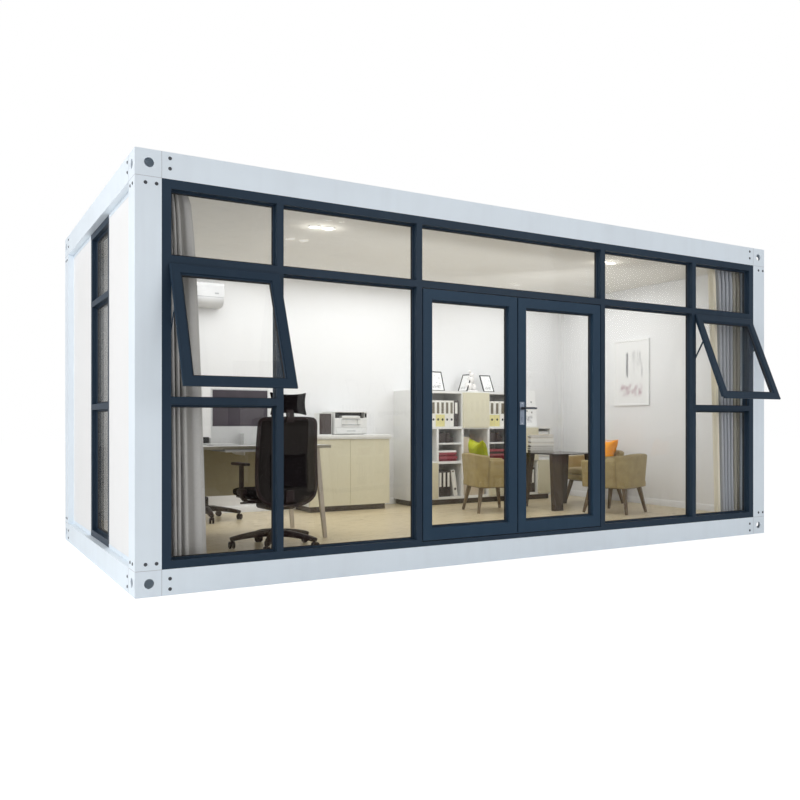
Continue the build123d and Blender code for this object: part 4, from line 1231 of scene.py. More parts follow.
def stitches(name: str, lines: Sequence[Sequence[Vector]], pitch: float, length: float, radius: float,
             finish: Finish) -> bpy.types.Object:
    """Short threads in a row along lines.

    Args:
        name: the piece's name.
        lines: the seam lines.
        pitch: from one stitch to the next.
        length, radius: the size of one stitch.
        finish: the thread's finish.

    Returns:
        The object.
    """
    tree = Repeat(name, {"Pitch": ("Float", pitch), "Length": ("Float", length), "Radius": ("Float", radius)})
    curve = tree.add("GeometryNodeMeshToCurve", {"Mesh": tree.given["Geometry"]})
    points = tree.add("GeometryNodeCurveToPoints", {"Curve": curve.outputs[0], "Length": tree.given["Pitch"]},
                      mode="LENGTH")
    thread = tree.add("GeometryNodeMeshCylinder", {"Vertices": 5, "Radius": tree.given["Radius"],
                                                   "Depth": tree.given["Length"]})
    turn = tree.add("FunctionNodeAlignRotationToVector", {"Vector": points.outputs["Tangent"]}, axis="Z")
    placed = tree.add("GeometryNodeInstanceOnPoints", {"Points": points.outputs["Points"],
                                                       "Instance": thread.outputs["Mesh"],
                                                       "Rotation": turn.outputs[0]})
    joined, edges = [], []
    for line in lines:
        start = len(joined)
        joined += line
        edges += [(start + k, start + k + 1) for k in range(len(line) - 1)]
    return tree.run(joined, finish, placed.outputs[0], edges=edges)


# ---- the steel shell -----------------------------------------------------------------------------
CABIN = "cabin"
CARRIED = {
    WHITE_STEEL: ("bottom_corner_fittings", "top_corner_fittings", "corner_posts", "bottom_long_beams",
                  "bottom_end_beams", "top_long_beams", "top_end_beams"),
    WALL_FACE: ("rear_wall_panels", "left_wall_panels", "right_wall_panels"),
    ROOF_FACE: ("roof_sheet",),
    CEILING_FACE: ("ceiling",),
    JOIST: ("floor_joists",),
    CEMENT: ("floor_deck",),
    FLOOR: ("floor_covering",),
    SLATE: ("front_frame_jambs", "front_frame_head", "front_frame_sill", "front_mullions", "front_transoms",
            "left_window_jambs", "left_window_rails", "sash_frames", "sash_stays", "door_hinge_brackets",
            "left_door_hinges", "right_door_hinges"),
    DOOR_SLATE: ("left_door_frame", "right_door_frame"),
    CLEAR: ("front_fixed_panes", "sash_panes", "left_door_pane", "right_door_pane"),
    TINTED: ("left_window_panes",),
    SATIN_STEEL: ("curtain_tracks",),
    PLATE_STEEL: ("door_lock_plates",),
    WHITE_BOARD: ("desk_top", "low_cabinet", "shelving_uprights", "shelving_boards", "shelving_backs"),
    BEIGE_BOARD: ("cupboard_doors",),
    DARK_BOARD: ("cupboard_plinths",),
    DESK_WOOD: ("desk_frame",),
    TABLE_WOOD: ("meeting_table_legs",),
    TABLE_GLASS: ("meeting_table_top",),
}


def dress_carried() -> None:
    """Gives every carried-over node its finish."""
    for finish, nodes in CARRIED.items():
        for node in nodes:
            slots = bpy.data.objects[node].data.materials
            slots.clear()
            slots.append(finish.make())


@dataclass
class Shell:
    """The steel frame's bolts and joints, and the trims of the walls, floor and roof."""

    bolt_radius: float = 0.0085
    bolt_height: float = 0.004
    beam_bolts: tuple[float, tuple[float, float]] = (0.217, (0.039, 0.104))
    post_bolts: tuple[tuple[float, float], float] = ((0.065, 0.133), 0.041)
    right_front_bolts: tuple[float, float] = (0.021, 0.086)
    seam_width: float = 0.0035
    seam_proud: float = 0.0006
    skirting: tuple[float, float] = (0.011, 0.07)
    cornice: float = 0.028
    rib_pitch: float = 0.26
    rib: tuple[float, float] = (0.05, 0.018)
    roof_edge: float = 0.135
    trim_gap: float = 0.002
    corner_cover: float = 0.06
    open_joint: float = 0.01

    def build(self) -> None:
        """Builds every part of the shell."""
        self.body = whole("corner_posts")
        self.low, self.high = whole("bottom_long_beams").hi.z, whole("top_long_beams").lo.z
        self.top = whole("top_long_beams").hi.z
        self.bolts()
        self.seams()
        self.inner_trims()
        self.inner_joints()
        self.outer_trims()
        self.roof_ribs()

    def bolts(self) -> None:
        """Bolt heads beside each corner fitting, on all four faces of the cabin."""
        along, (first, second) = self.beam_bolts
        across, rise = self.post_bolts
        levels = (first, second, self.top - second, self.top - first)
        points, facing = [], []
        lo, hi = self.body.lo, self.body.hi
        for axis in (0, 1):
            for end in (0, 1):
                depth = (lo, hi)[end][1 - axis]
                normal = Vector((0, 0, 0))
                normal[1 - axis] = 2 * end - 1
                for start, step in ((lo[axis], 1), (hi[axis], -1)):
                    spots = [(start + step * along, z) for z in levels]
                    pair = self.right_front_bolts if (axis, end, step) == (0, 0, -1) else across
                    spots += [(start + step * a, z) for a in pair
                              for z in (self.low + rise, self.high - rise)]
                    for place, z in spots:
                        point = Vector((0, 0, z))
                        point[axis], point[1 - axis] = place, depth
                        points.append(point)
                        facing.append(normal)
        settle(studs("frame_bolts", points, facing, self.bolt_radius, self.bolt_height, FASTENER),
               CABIN, (FASTENER,))

    def seams(self) -> None:
        """Sealed joints where the posts and beams meet the corner fittings."""
        shape = Shape()
        lo, hi = self.body.lo, self.body.hi
        fittings = solids_of("bottom_corner_fittings")
        wide, deep = fittings[0].size.x, fittings[0].size.y
        half, out = self.seam_width / 2, self.seam_proud
        for axis, reach in ((0, wide), (1, deep)):
            for end in (0, 1):
                depth = (lo, hi)[end][1 - axis]
                near, far = sorted((depth, depth + (2 * end - 1) * out))
                for start, step in ((lo[axis], 1), (hi[axis], -1)):
                    inner = start + step * reach
                    for z in (self.low, self.high):
                        a, b = sorted((start + step * 0.002, inner))
                        self._strip(shape, axis, (a, b), (near, far), (z - half, z + half))
                    for z in ((0.002, self.low), (self.high, self.top - 0.002)):
                        self._strip(shape, axis, (inner - half, inner + half), (near, far), z)
        shape.piece("frame_joint_seams", CABIN, "white_steel", (SEALANT,))

    def _strip(self, shape: Shape, axis: int, along: tuple[float, float], depth: tuple[float, float],
               level: tuple[float, float]) -> None:
        """Adds one thin strip that lies along X or Y.

        Args:
            shape: what it is added to.
            axis: 0 along X, 1 along Y.
            along: where it starts and ends.
            depth: its two sides.
            level: its bottom and its top.
        """
        lo, hi = [0.0, 0.0, level[0]], [0.0, 0.0, level[1]]
        lo[axis], hi[axis] = along
        lo[1 - axis], hi[1 - axis] = depth
        shape.slab(lo, hi, 0.0004, 1)

    @staticmethod
    def _edging(name: str, profile: Profile, level: float, runs: Sequence[tuple]) -> None:
        """Builds a moulding along straight runs of the room's walls.

        Args:
            name: the piece's name.
            profile: its section, as pairs of how far into the room and how far up.
            level: the height that the section starts from.
            runs: the start, the end and the inward direction of each run, in plan.
        """
        shape = Shape()
        for start, end, inward in runs:
            shape.loft([[Vector((x + inward[0] * a, y + inward[1] * a, level + b)) for a, b in profile]
                        for x, y in (start, end)])
        shape.piece(name, CABIN, "wall_panel", (WALL_FACE,))

    def inner_trims(self) -> None:
        """Skirting broken at the furniture and the end window, and an unbroken cornice."""
        thick, tall = self.skirting
        window, cabinet, shelves = (whole(node) for node in ("left_window_jambs", "low_cabinet",
                                                             "shelving_boards"))
        x0, x1 = whole("left_wall_panels").hi.x, whole("right_wall_panels").lo.x
        y0, y1 = solids_of("corner_posts")[0].hi.y, whole("rear_wall_panels").lo.y
        gap, cover = self.trim_gap, self.corner_cover
        self._edging(
            "skirting", [(0, 0), (thick, 0), (thick, tall - 0.012), (thick * 0.5, tall - 0.003), (0, tall)],
            whole("floor_covering").hi.z + 0.0005,
            [((x0, y0), (x0, window.lo.y), (1, 0)), ((x0, window.hi.y), (x0, y1 - cover), (1, 0)),
             ((x1, y0), (x1, y1 - cover), (-1, 0)), ((x0 + cover, y1), (cabinet.lo.x - gap, y1), (0, -1)),
             ((cabinet.hi.x + gap, y1), (shelves.lo.x - gap, y1), (0, -1)),
             ((shelves.hi.x + gap, y1), (x1 - cover, y1), (0, -1))])
        size = self.cornice
        self._edging(
            "cornice", [(0, 0), (size, 0), (size, -0.003), (0.004, -0.005), (0.003, -size), (0, -size)],
            whole("ceiling").lo.z - 0.0005,
            [((x0, y0), (x0, y1), (1, 0)), ((x1, y0), (x1, y1), (-1, 0)), ((x0, y1), (x1, y1), (0, -1))])

    def inner_joints(self) -> None:
        """Tapes over the panels' joints inside the room, and thin covers on the rear corner posts."""
        shape = Shape()
        for node, axis, inward in (("rear_wall_panels", 0, -1), ("left_wall_panels", 1, 1),
                                   ("right_wall_panels", 1, -1)):
            panels = sorted(solids_of(node), key=lambda box: box.lo[axis])
            for first, second in zip(panels, panels[1:]):
                joint = (first.hi[axis] + second.lo[axis]) / 2
                face = (first.lo if inward < 0 else first.hi)[1 - axis]
                if second.lo[axis] - first.hi[axis] < self.open_joint:
                    self._strip(shape, axis, (joint - 0.006, joint + 0.006),
                                tuple(sorted((face, face + inward * 0.0005))),
                                (first.lo.z + 0.003, first.hi.z - 0.003))
        rear, floor = whole("rear_wall_panels").lo.y, whole("floor_covering").hi.z
        ceiling = whole("ceiling").lo.z
        posts = sorted((box for box in solids_of("corner_posts") if box.lo.y > 0), key=lambda box: box.lo.x)
        for post, wall, step in ((posts[0], whole("left_wall_panels").hi.x, 1),
                                 (posts[1], whole("right_wall_panels").lo.x, -1)):
            side = (post.hi if step > 0 else post.lo).x
            a, b = sorted((wall, side + step * 0.0012))
            shape.slab((a, min(post.lo.y, rear) - 0.0012, floor), (b, min(post.lo.y, rear), ceiling), 0.0004,
                       1)
            a, b = sorted((side, side + step * 0.0012))
            shape.slab((a, min(post.lo.y, rear) - 0.0006, floor), (b, rear + 0.001, ceiling), 0.0004, 1)
        shape.piece("inner_joint_tapes", CABIN, "wall_panel", (WALL_FACE,))

    def outer_trims(self) -> None:
        """Flashings round the wall panels and cover strips on the panel joints."""
        shape = Shape()
        for node, axis in (("left_wall_panels", 1), ("right_wall_panels", 1), ("rear_wall_panels", 0)):
            panels = sorted(solids_of(node), key=lambda box: box.lo[axis])
            outside = node == "left_wall_panels"
            depth = panels[0].lo[1 - axis] if outside else panels[0].hi[1 - axis]
            out = -1 if outside else 1
            near, far = sorted((depth, depth + out * 0.0022))
            joints = [(a.hi[axis] + b.lo[axis]) / 2 for a, b in zip(panels, panels[1:])
                      if b.lo[axis] - a.hi[axis] < self.open_joint]
            for joint in joints:
                self._strip(shape, axis, (joint - 0.017, joint + 0.017), (near, far),
                            (panels[0].lo.z + 0.02, panels[0].hi.z - 0.02))
            low, high = panels[0].lo.z, panels[0].hi.z
            ends = [(box.lo[axis], box.hi[axis]) for box in panels]
            for z0, z1 in ((low, low + 0.03), (high - 0.03, high)):
                for a, b in ends:
                    self._strip(shape, axis, (a, b), (near, far + out * 0.001), (z0, z1))
        shape.piece("panel_trims", CABIN, "wall_panel", (WHITE_STEEL,))

    def roof_ribs(self) -> None:
        """Shallow ribs across the roof sheet."""
        roof = whole("roof_sheet")
        wide, tall = self.rib
        edge = self.roof_edge
        count = int((roof.size.x - 2 * edge) / self.rib_pitch)
        start = roof.middle.x - (count - 1) * self.rib_pitch / 2
        points = [Vector((start + k * self.rib_pitch, roof.middle.y,
                          roof.hi.z + tall / 2)) for k in range(count)]
        ribs = bars("roof_ribs", points, (wide, roof.size.y - 2 * edge, tall), ROOF_FACE)
        settle(ribs, CABIN, (ROOF_FACE,))


# ---- glazing -------------------------------------------------------------------------------------
@dataclass
class Glazing:
    """Beads and gaskets that hold the panes, and the sashes' and end window's small parts."""

    bead: float = 0.013
    gasket: float = 0.004
    outer_depth: float = 0.011
    inner_depth: float = 0.009
    sash_pivot: tuple[float, float] = (-1.503, 2.096)
    sash_angle: float = 22.0
    sash_face: float = 0.062
    sash_height: float = 0.847
    sash_sides: tuple[tuple[str, float, float], ...] = (("-Y", -1.491, 0.010), ("Y", -1.483, 0.009))
    sash_front: float = -1.5095

    def outline(self, thick: float) -> Profile:
        """The section of a glazing bead: square against the frame, sloped towards the pane."""
        return [(0, 0), (self.bead, 0), (self.bead, 0.25 * thick), (0.6 * self.bead, thick), (0, thick)]

    def seal(self) -> Profile:
        """The section of a gasket beside a bead."""
        return [(self.bead - 0.0005, 0), (self.bead + self.gasket, 0),
                (self.bead + 0.6 * self.gasket, 0.004), (self.bead - 0.0005, 0.0045)]

    def hold(self, pane: Span, axis: int, beads: Shape, seals: Shape) -> None:
        """Adds beads and gaskets on both sides of an upright pane.

        Args:
            pane: the pane's box.
            axis: the axis across the pane.
            beads: what the beads are added to.
            seals: what the gaskets are added to.
        """
        for end, thick in ((0, self.outer_depth), (1, self.inner_depth)):
            lo, hi = pane.lo.copy(), pane.hi.copy()
            depth = (pane.lo, pane.hi)[end][axis]
            lo[axis] = hi[axis] = depth
            facing = ("-", "")[end] + "XY"[axis]
            beads.border(lo, hi, self.outline(thick), facing)
            seals.border(lo, hi, self.seal(), facing)

    def build(self) -> None:
        """Builds the beads and gaskets of every pane."""
        for name, body, node, axis in (("front", CABIN, "front_fixed_panes", 1),
                                       ("end_window", CABIN, "left_window_panes", 0),
                                       ("left_door", "left_door", "left_door_pane", 1),
                                       ("right_door", "right_door", "right_door_pane", 1)):
            beads, seals = Shape(), Shape()
            for pane in solids_of(node):
                self.hold(pane, axis, beads, seals)
            beads.piece(f"{name}_glazing_beads", body, "dark_aluminium", (SLATE,))
            seals.piece(f"{name}_gaskets", body, "gasket", (RUBBER,))
        self.sashes()
        self.weather_strips()

    def sash_place(self) -> Matrix:
        """Turns a closed sash's piece out to where it is propped."""
        y, z = self.sash_pivot
        pivot = Matrix.Translation((0, y, z))
        return pivot @ Matrix.Rotation(math.radians(-self.sash_angle), 4, "X") @ pivot.inverted()

    def sashes(self) -> None:
        """Beads, gaskets, corner joints and cam handles of the propped sashes."""
        beads, seals, handles = Shape(), Shape(), Shape()
        for shape in (beads, seals, handles):
            shape.place = self.sash_place()
        top = self.sash_pivot[1]
        for frame in solids_of("sash_frames"):
            x0, x1 = frame.lo.x + self.sash_face, frame.hi.x - self.sash_face
            lo = (x0, 0, top - self.sash_height + self.sash_face)
            hi = (x1, 0, top - self.sash_face)
            for facing, y, thick in self.sash_sides:
                a, b = Vector(lo), Vector(hi)
                a.y = b.y = y
                beads.border(a, b, self.outline(thick), facing)
                seals.border(a, b, self.seal(), facing)
            edge = Vector((frame.lo.x + 0.003, self.sash_front, top - self.sash_height + 0.003))
            far = Vector((frame.hi.x - 0.003, self.sash_front, top - 0.003))
            beads.border(edge, far, [(0, 0.0005), (0.012, 0.0005), (0.009, -0.001), (0.003, -0.001)][::-1],
                         "Y")
            middle = (x0 + x1) / 2
            low = top - self.sash_height + self.sash_face / 2
            handles.slab((middle - 0.045, -1.463, low - 0.011), (middle + 0.045, -1.453, low + 0.011), 0.003)
            path = smooth_path([(middle, -1.455, low), (middle + 0.004, -1.438, low + 0.004),
                                (middle + 0.03, -1.428, low + 0.012), (middle + 0.085, -1.428, low + 0.016)])
            handles.tube(path, lambda share: oval(0.0075, 0.005), (0, 1, 0))
        beads.piece("sash_glazing_beads", CABIN, "dark_aluminium", (SLATE,))
        seals.piece("sash_gaskets", CABIN, "gasket", (RUBBER,))
        handles.piece("sash_cam_handles", CABIN, "hardware", (FASTENER,))

    def weather_strips(self) -> None:
        """Rubber strips round the openings that the sashes close."""
        shape = Shape()
        mullions = solids_of("front_mullions")
        jambs = solids_of("front_frame_jambs")
        rails = sorted(solids_of("front_transoms"), key=lambda box: box.lo.z)
        low, high = rails[0].hi.z, rails[-1].lo.z
        face = jambs[0].lo.y
        for x0, x1 in ((jambs[0].hi.x, mullions[0].lo.x), (mullions[-1].hi.x, jambs[-1].lo.x)):
            a, b = Vector((x0, face + 0.030, low)), Vector((x1, face + 0.030, high))
            shape.border(a, b, [(0, 0), (0.004, 0.001), (0.004, 0.006), (0, 0.008)], "Y")
        shape.piece("window_weather_strips", CABIN, "gasket", (RUBBER,))


def oval(wide: float, tall: float, sides: int = 12) -> Profile:
    """An oval outline of half sizes."""
    return [(wide * math.cos(a), tall * math.sin(a)) for a in (2 * math.pi * k / sides for k in range(sides))]


def rounded(wide: float, tall: float, corner: float, steps: int = 3) -> Profile:
    """A rectangle of half sizes with round corners.

    Args:
        wide, tall: half sizes.
        corner: the corners' radius.
        steps: faces in each corner.

    Returns:
        The outline.
    """
    outline = []
    for number, (a, b) in enumerate(((1, 1), (-1, 1), (-1, -1), (1, -1))):
        for k in range(steps + 1):
            angle = math.pi / 2 * (number + k / steps)
            outline.append((a * (wide - corner) + corner * math.cos(angle),
                            b * (tall - corner) + corner * math.sin(angle)))
    return outline


# ---- doors ---------------------------------------------------------------------------------------
@dataclass
class DoorFurniture:
    """The lever handle with its back plates' cylinder and screws, and the leaves' seals."""

    grip: tuple[float, float] = (0.0095, 0.0062)
    return_length: float = 0.014

    def build(self) -> None:
        """Builds the lever, the cylinder, the screws and the seals."""
        self.lever()
        self.plates()
        self.seals()

    def lever(self) -> None:
        """A round-necked lever on each side of the leaf, joined by the spindle."""
        old = whole("door_lever")
        plates = solids_of("door_lock_plates")
        x, z = plates[0].middle.x, old.middle.z
        shape = Shape()
        shape.lathe([(0, old.lo.y + 0.006), (0.0058, old.lo.y + 0.0065), (0.0058, old.hi.y - 0.0065),
                     (0, old.hi.y - 0.006)], (x, 0, z), "Y", 16)
        for face, out in ((plates[0].lo.y, -1), (plates[-1].hi.y, 1)):
            far = old.lo.y if out < 0 else old.hi.y
            grip_y = far - out * self.grip[1]
            neck = [(0.0115, face + out * 0.0022), (0.0115, face + out * 0.006), (0.0095, face + out * 0.009),
                    (0.009, grip_y - out * 0.002), (0.0075, grip_y + out * 0.004), (0, grip_y + out * 0.005)]
            neck = [(0, face + out * 0.0022)] + neck
            shape.lathe(neck if out > 0 else neck[::-1], (x, 0, z), "Y", 24)
            end = old.hi.x - 0.020
            path = smooth_path([(x - 0.004, grip_y, z), (x + 0.02, grip_y, z + 0.0005),
                                (x + 0.07, grip_y, z + 0.001), (end - 0.014, grip_y, z),
                                (end - 0.003, grip_y - out * 0.003, z),
                                (end, grip_y - out * self.return_length, z)])
            wide, tall = self.grip
            shape.tube(path, lambda share: oval(tall * (1.0 - 0.15 * share), wide * (1.0 - 0.22 * share), 16))
        shape.piece("door_lever_handle", "lever", "hardware", (LEVER_STEEL,), ("door_lever",))

    def plates(self) -> None:
        """The lock cylinder, its keyhole and the plates' screws."""
        metal = Shape()
        points, facing = [], []
        for plate in solids_of("door_lock_plates"):
            out = -1 if plate.middle.y < -1.47 else 1
            face = plate.lo.y if out < 0 else plate.hi.y
            x = plate.middle.x
            low = plate.lo.z + 0.052
            near, far = sorted((face - out * 0.001, face + out * 0.0035))
            metal.paint = 0
            metal.slab((x - 0.0048, near, low - 0.018), (x + 0.0048, far, low + 0.002), 0.002)
            rim = [(0, near), (0.0085, near), (0.0085, far), (0, far)]
            metal.lathe(rim, (x, 0, low + 0.006), "Y", 24)
            metal.paint = 1
            a, b = sorted((far if out > 0 else near, (far if out > 0 else near) + out * 0.0004))
            metal.slab((x - 0.0009, a, low + 0.001), (x + 0.0009, b, low + 0.011))
            for z in (plate.lo.z + 0.012, plate.hi.z - 0.012):
                points.append(Vector((x, face, z)))
                facing.append(Vector((0, out, 0)))
        metal.piece("door_lock_cylinder", "right_door", "hardware", (PLATE_STEEL, RUBBER))
        settle(studs("lock_plate_screws", points, facing, 0.0032, 0.0012, SATIN_STEEL, 16),
               "right_door", (SATIN_STEEL,))

    def seals(self) -> None:
        """Brush seals under and over the leaves, and rubber on the left one's meeting edge."""
        for side, body in (("left", "left_door"), ("right", "right_door")):
            frame = whole(f"{side}_door_frame")
            shape = Shape()
            lo = (frame.lo.x + 0.004, frame.lo.y + 0.020, frame.lo.z - 0.004)
            shape.slab(lo, (frame.hi.x - 0.004, frame.lo.y + 0.028, frame.lo.z + 0.001), 0.001, 1)
            lo = (frame.lo.x + 0.004, frame.lo.y + 0.020, frame.hi.z - 0.001)
            shape.slab(lo, (frame.hi.x - 0.004, frame.lo.y + 0.028, frame.hi.z + 0.0035), 0.001, 1)
            if side == "left":
                shape.slab((frame.hi.x - 0.001, frame.lo.y + 0.024, frame.lo.z + 0.01),
                           (frame.hi.x + 0.004, frame.lo.y + 0.032, frame.hi.z - 0.01), 0.001, 1)
            shape.piece(f"{side}_door_seals", body, "gasket", (RUBBER,))


# ---- soft goods ----------------------------------------------------------------------------------
def lay_out(made: bpy.types.Object, across: int, up: int) -> bpy.types.Object:
    """Gives a piece a UV map that spans its box from 0 to 1 along two axes.

    Args:
        made: the piece.
        across: the axis that U follows.
        up: the axis that V follows.

    Returns:
        The piece.
    """
    mesh = made.data
    low = [min(v.co[k] for v in mesh.vertices) for k in (across, up)]
    high = [max(v.co[k] for v in mesh.vertices) for k in (across, up)]
    layer = mesh.uv_layers.new(name="cut")
    for loop in mesh.loops:
        spot = mesh.vertices[loop.vertex_index].co
        layer.data[loop.index].uv = [(spot[k] - a) / (b - a) for k, a, b in zip((across, up), low, high)]
    return made


PAD_SKIN = 0.006           # the size of a filled pad's faces
PAD_PRESSURE = 4.0         # how hard it is blown up
PAD_FRAMES = 20            # for how many frames


def inflate(made: bpy.types.Object, cap: float, flat: bool) -> None:
    """Fills a pad: its skin is remeshed, blown up as cloth and kept near its first shape.

    Args:
        made: the pad, a little smaller than it will be.
        cap: the furthest that any point may move.
        flat: whether the underside stays where it is.
    """
    remesh = made.modifiers.new("skin", "REMESH")
    remesh.mode, remesh.voxel_size, remesh.use_smooth_shade = "VOXEL", PAD_SKIN, True
    graph = bpy.context.evaluated_depsgraph_get()
    made.data = bpy.data.meshes.new_from_object(made.evaluated_get(graph))
    made.modifiers.clear()
    start = [vert.co.copy() for vert in made.data.vertices]
    low = min(point.z for point in start)
    cloth = made.modifiers.new("cloth", "CLOTH")
    cloth.settings.use_pressure = True
    cloth.settings.uniform_pressure_force = PAD_PRESSURE
    cloth.settings.effector_weights.gravity = 0.0
    cloth.settings.quality = 4
    for frame in range(1, PAD_FRAMES + 1):
        bpy.context.scene.frame_set(frame)
    graph = bpy.context.evaluated_depsgraph_get()
    blown = made.evaluated_get(graph).data
    for vert, point, end in zip(made.data.vertices, start, [v.co.copy() for v in blown.vertices]):
        move = end - point
        vert.co = point + move * min(1.0, cap / max(move.length, 1e-9))
        if flat and vert.co.z < low:
            vert.co.z = low
    made.modifiers.clear()
    bpy.context.scene.frame_set(1)
    work = bmesh.new()
    work.from_mesh(made.data)
    for _ in range(3):
        bmesh.ops.smooth_vert(work, verts=work.verts, factor=0.5, use_axis_x=True, use_axis_y=True,
                              use_axis_z=True)
    soften(work, 180)
    work.to_mesh(made.data)
    work.free()


def filled(name: str, shape: Shape, cap: float, place: Matrix, flat: bool) -> bpy.types.Object:
    """Fills a pad about the origin and takes it off the scene, ready to be copied.

    Args:
        name: the pattern's name.
        shape: the pad before it is filled.
        cap: the furthest that any point may move.
        place: where the filled pad is set, about its owner's origin.
        flat: whether the underside stays where it is.

    Returns:
        The pattern.
    """
    mesh = bpy.data.meshes.new(name)
    mesh.from_pydata(shape.points, [], shape.faces)
    pad = show(name, mesh)
    inflate(pad, cap, flat)
    pad.data.transform(place)
    bpy.context.scene.collection.objects.unlink(pad)
    return pad


def stand_copy(source: bpy.types.Object, name: str, place: Matrix, body: str,
               finish: Finish, replaces: Sequence[str] = ()) -> bpy.types.Object:
    """Args:
        source: the pad, built about the origin.
        name: the copy's name.
        place: where it goes.
        body, finish: what it moves with and is made of.
        replaces: the carried-over nodes that it stands for.

    Returns:
        The copy.
    """
    mesh = source.data.copy()
    mesh.transform(place)
    made = show(name, mesh)
    settle(made, body, (finish,), replaces)
    return made


def crowned(wide: float, deep: float, thick: float, waist: float = 0.0, crown: float = 0.6,
            steps: int = 14, rim: float = 0.25) -> Shape:
    """A closed pad about the origin, thick in the middle and thin at its seam.

    Args:
        wide, deep: its sides.
        thick: its greatest thickness.
        waist: how far the middle of each side pulls in.
        crown: how full it is near the seam, from 0 to 1.
        steps: faces along a side.
        rim: the share of the thickness that is left at the seam.

    Returns:
        The shape.
    """
    def spot(i: int, j: int, top: bool) -> Vector:
        """The point of one skin at a column and a row.

        Args:
            i: the column.
            j: the row.
            top: whether it is the upper skin.

        Returns:
            The point.
        """
        u, v = 2 * i / steps - 1, 2 * j / steps - 1
        u, v = math.sin(u * math.pi / 2), math.sin(v * math.pi / 2)
        x = u * (wide / 2 - waist * (1 - v * v))
        y = v * (deep / 2 - waist * (1 - u * u))
        full = ((1 - u ** 4) * (1 - v ** 4)) ** (0.5 * (1.2 - crown))
        rise = thick / 2 * (rim + (1 - rim) * full)
        return Vector((x, y, rise if top else -rise))

    mesh = bmesh.new()
    sheets = [[[mesh.verts.new(spot(i, j, top)) for i in range(steps + 1)] for j in range(steps + 1)]
              for top in (True, False)]
    for number, grid in enumerate(sheets):
        for j in range(steps):
            for i in range(steps):
                quad = (grid[j][i], grid[j][i + 1], grid[j + 1][i + 1], grid[j + 1][i])
                mesh.faces.new(quad if not number else quad[::-1])
    edge = [(0, i) for i in range(steps)] + [(j, steps) for j in range(steps)]
    edge += [(steps, i) for i in range(steps, 0, -1)] + [(j, 0) for j in range(steps, 0, -1)]
    top, bottom = ([grid[j][i] for j, i in edge] for grid in sheets)
    for k in range(len(edge)):
        n = (k + 1) % len(edge)
        mesh.faces.new((top[k], bottom[k], bottom[n], top[n]))
    return Shape().take(mesh)


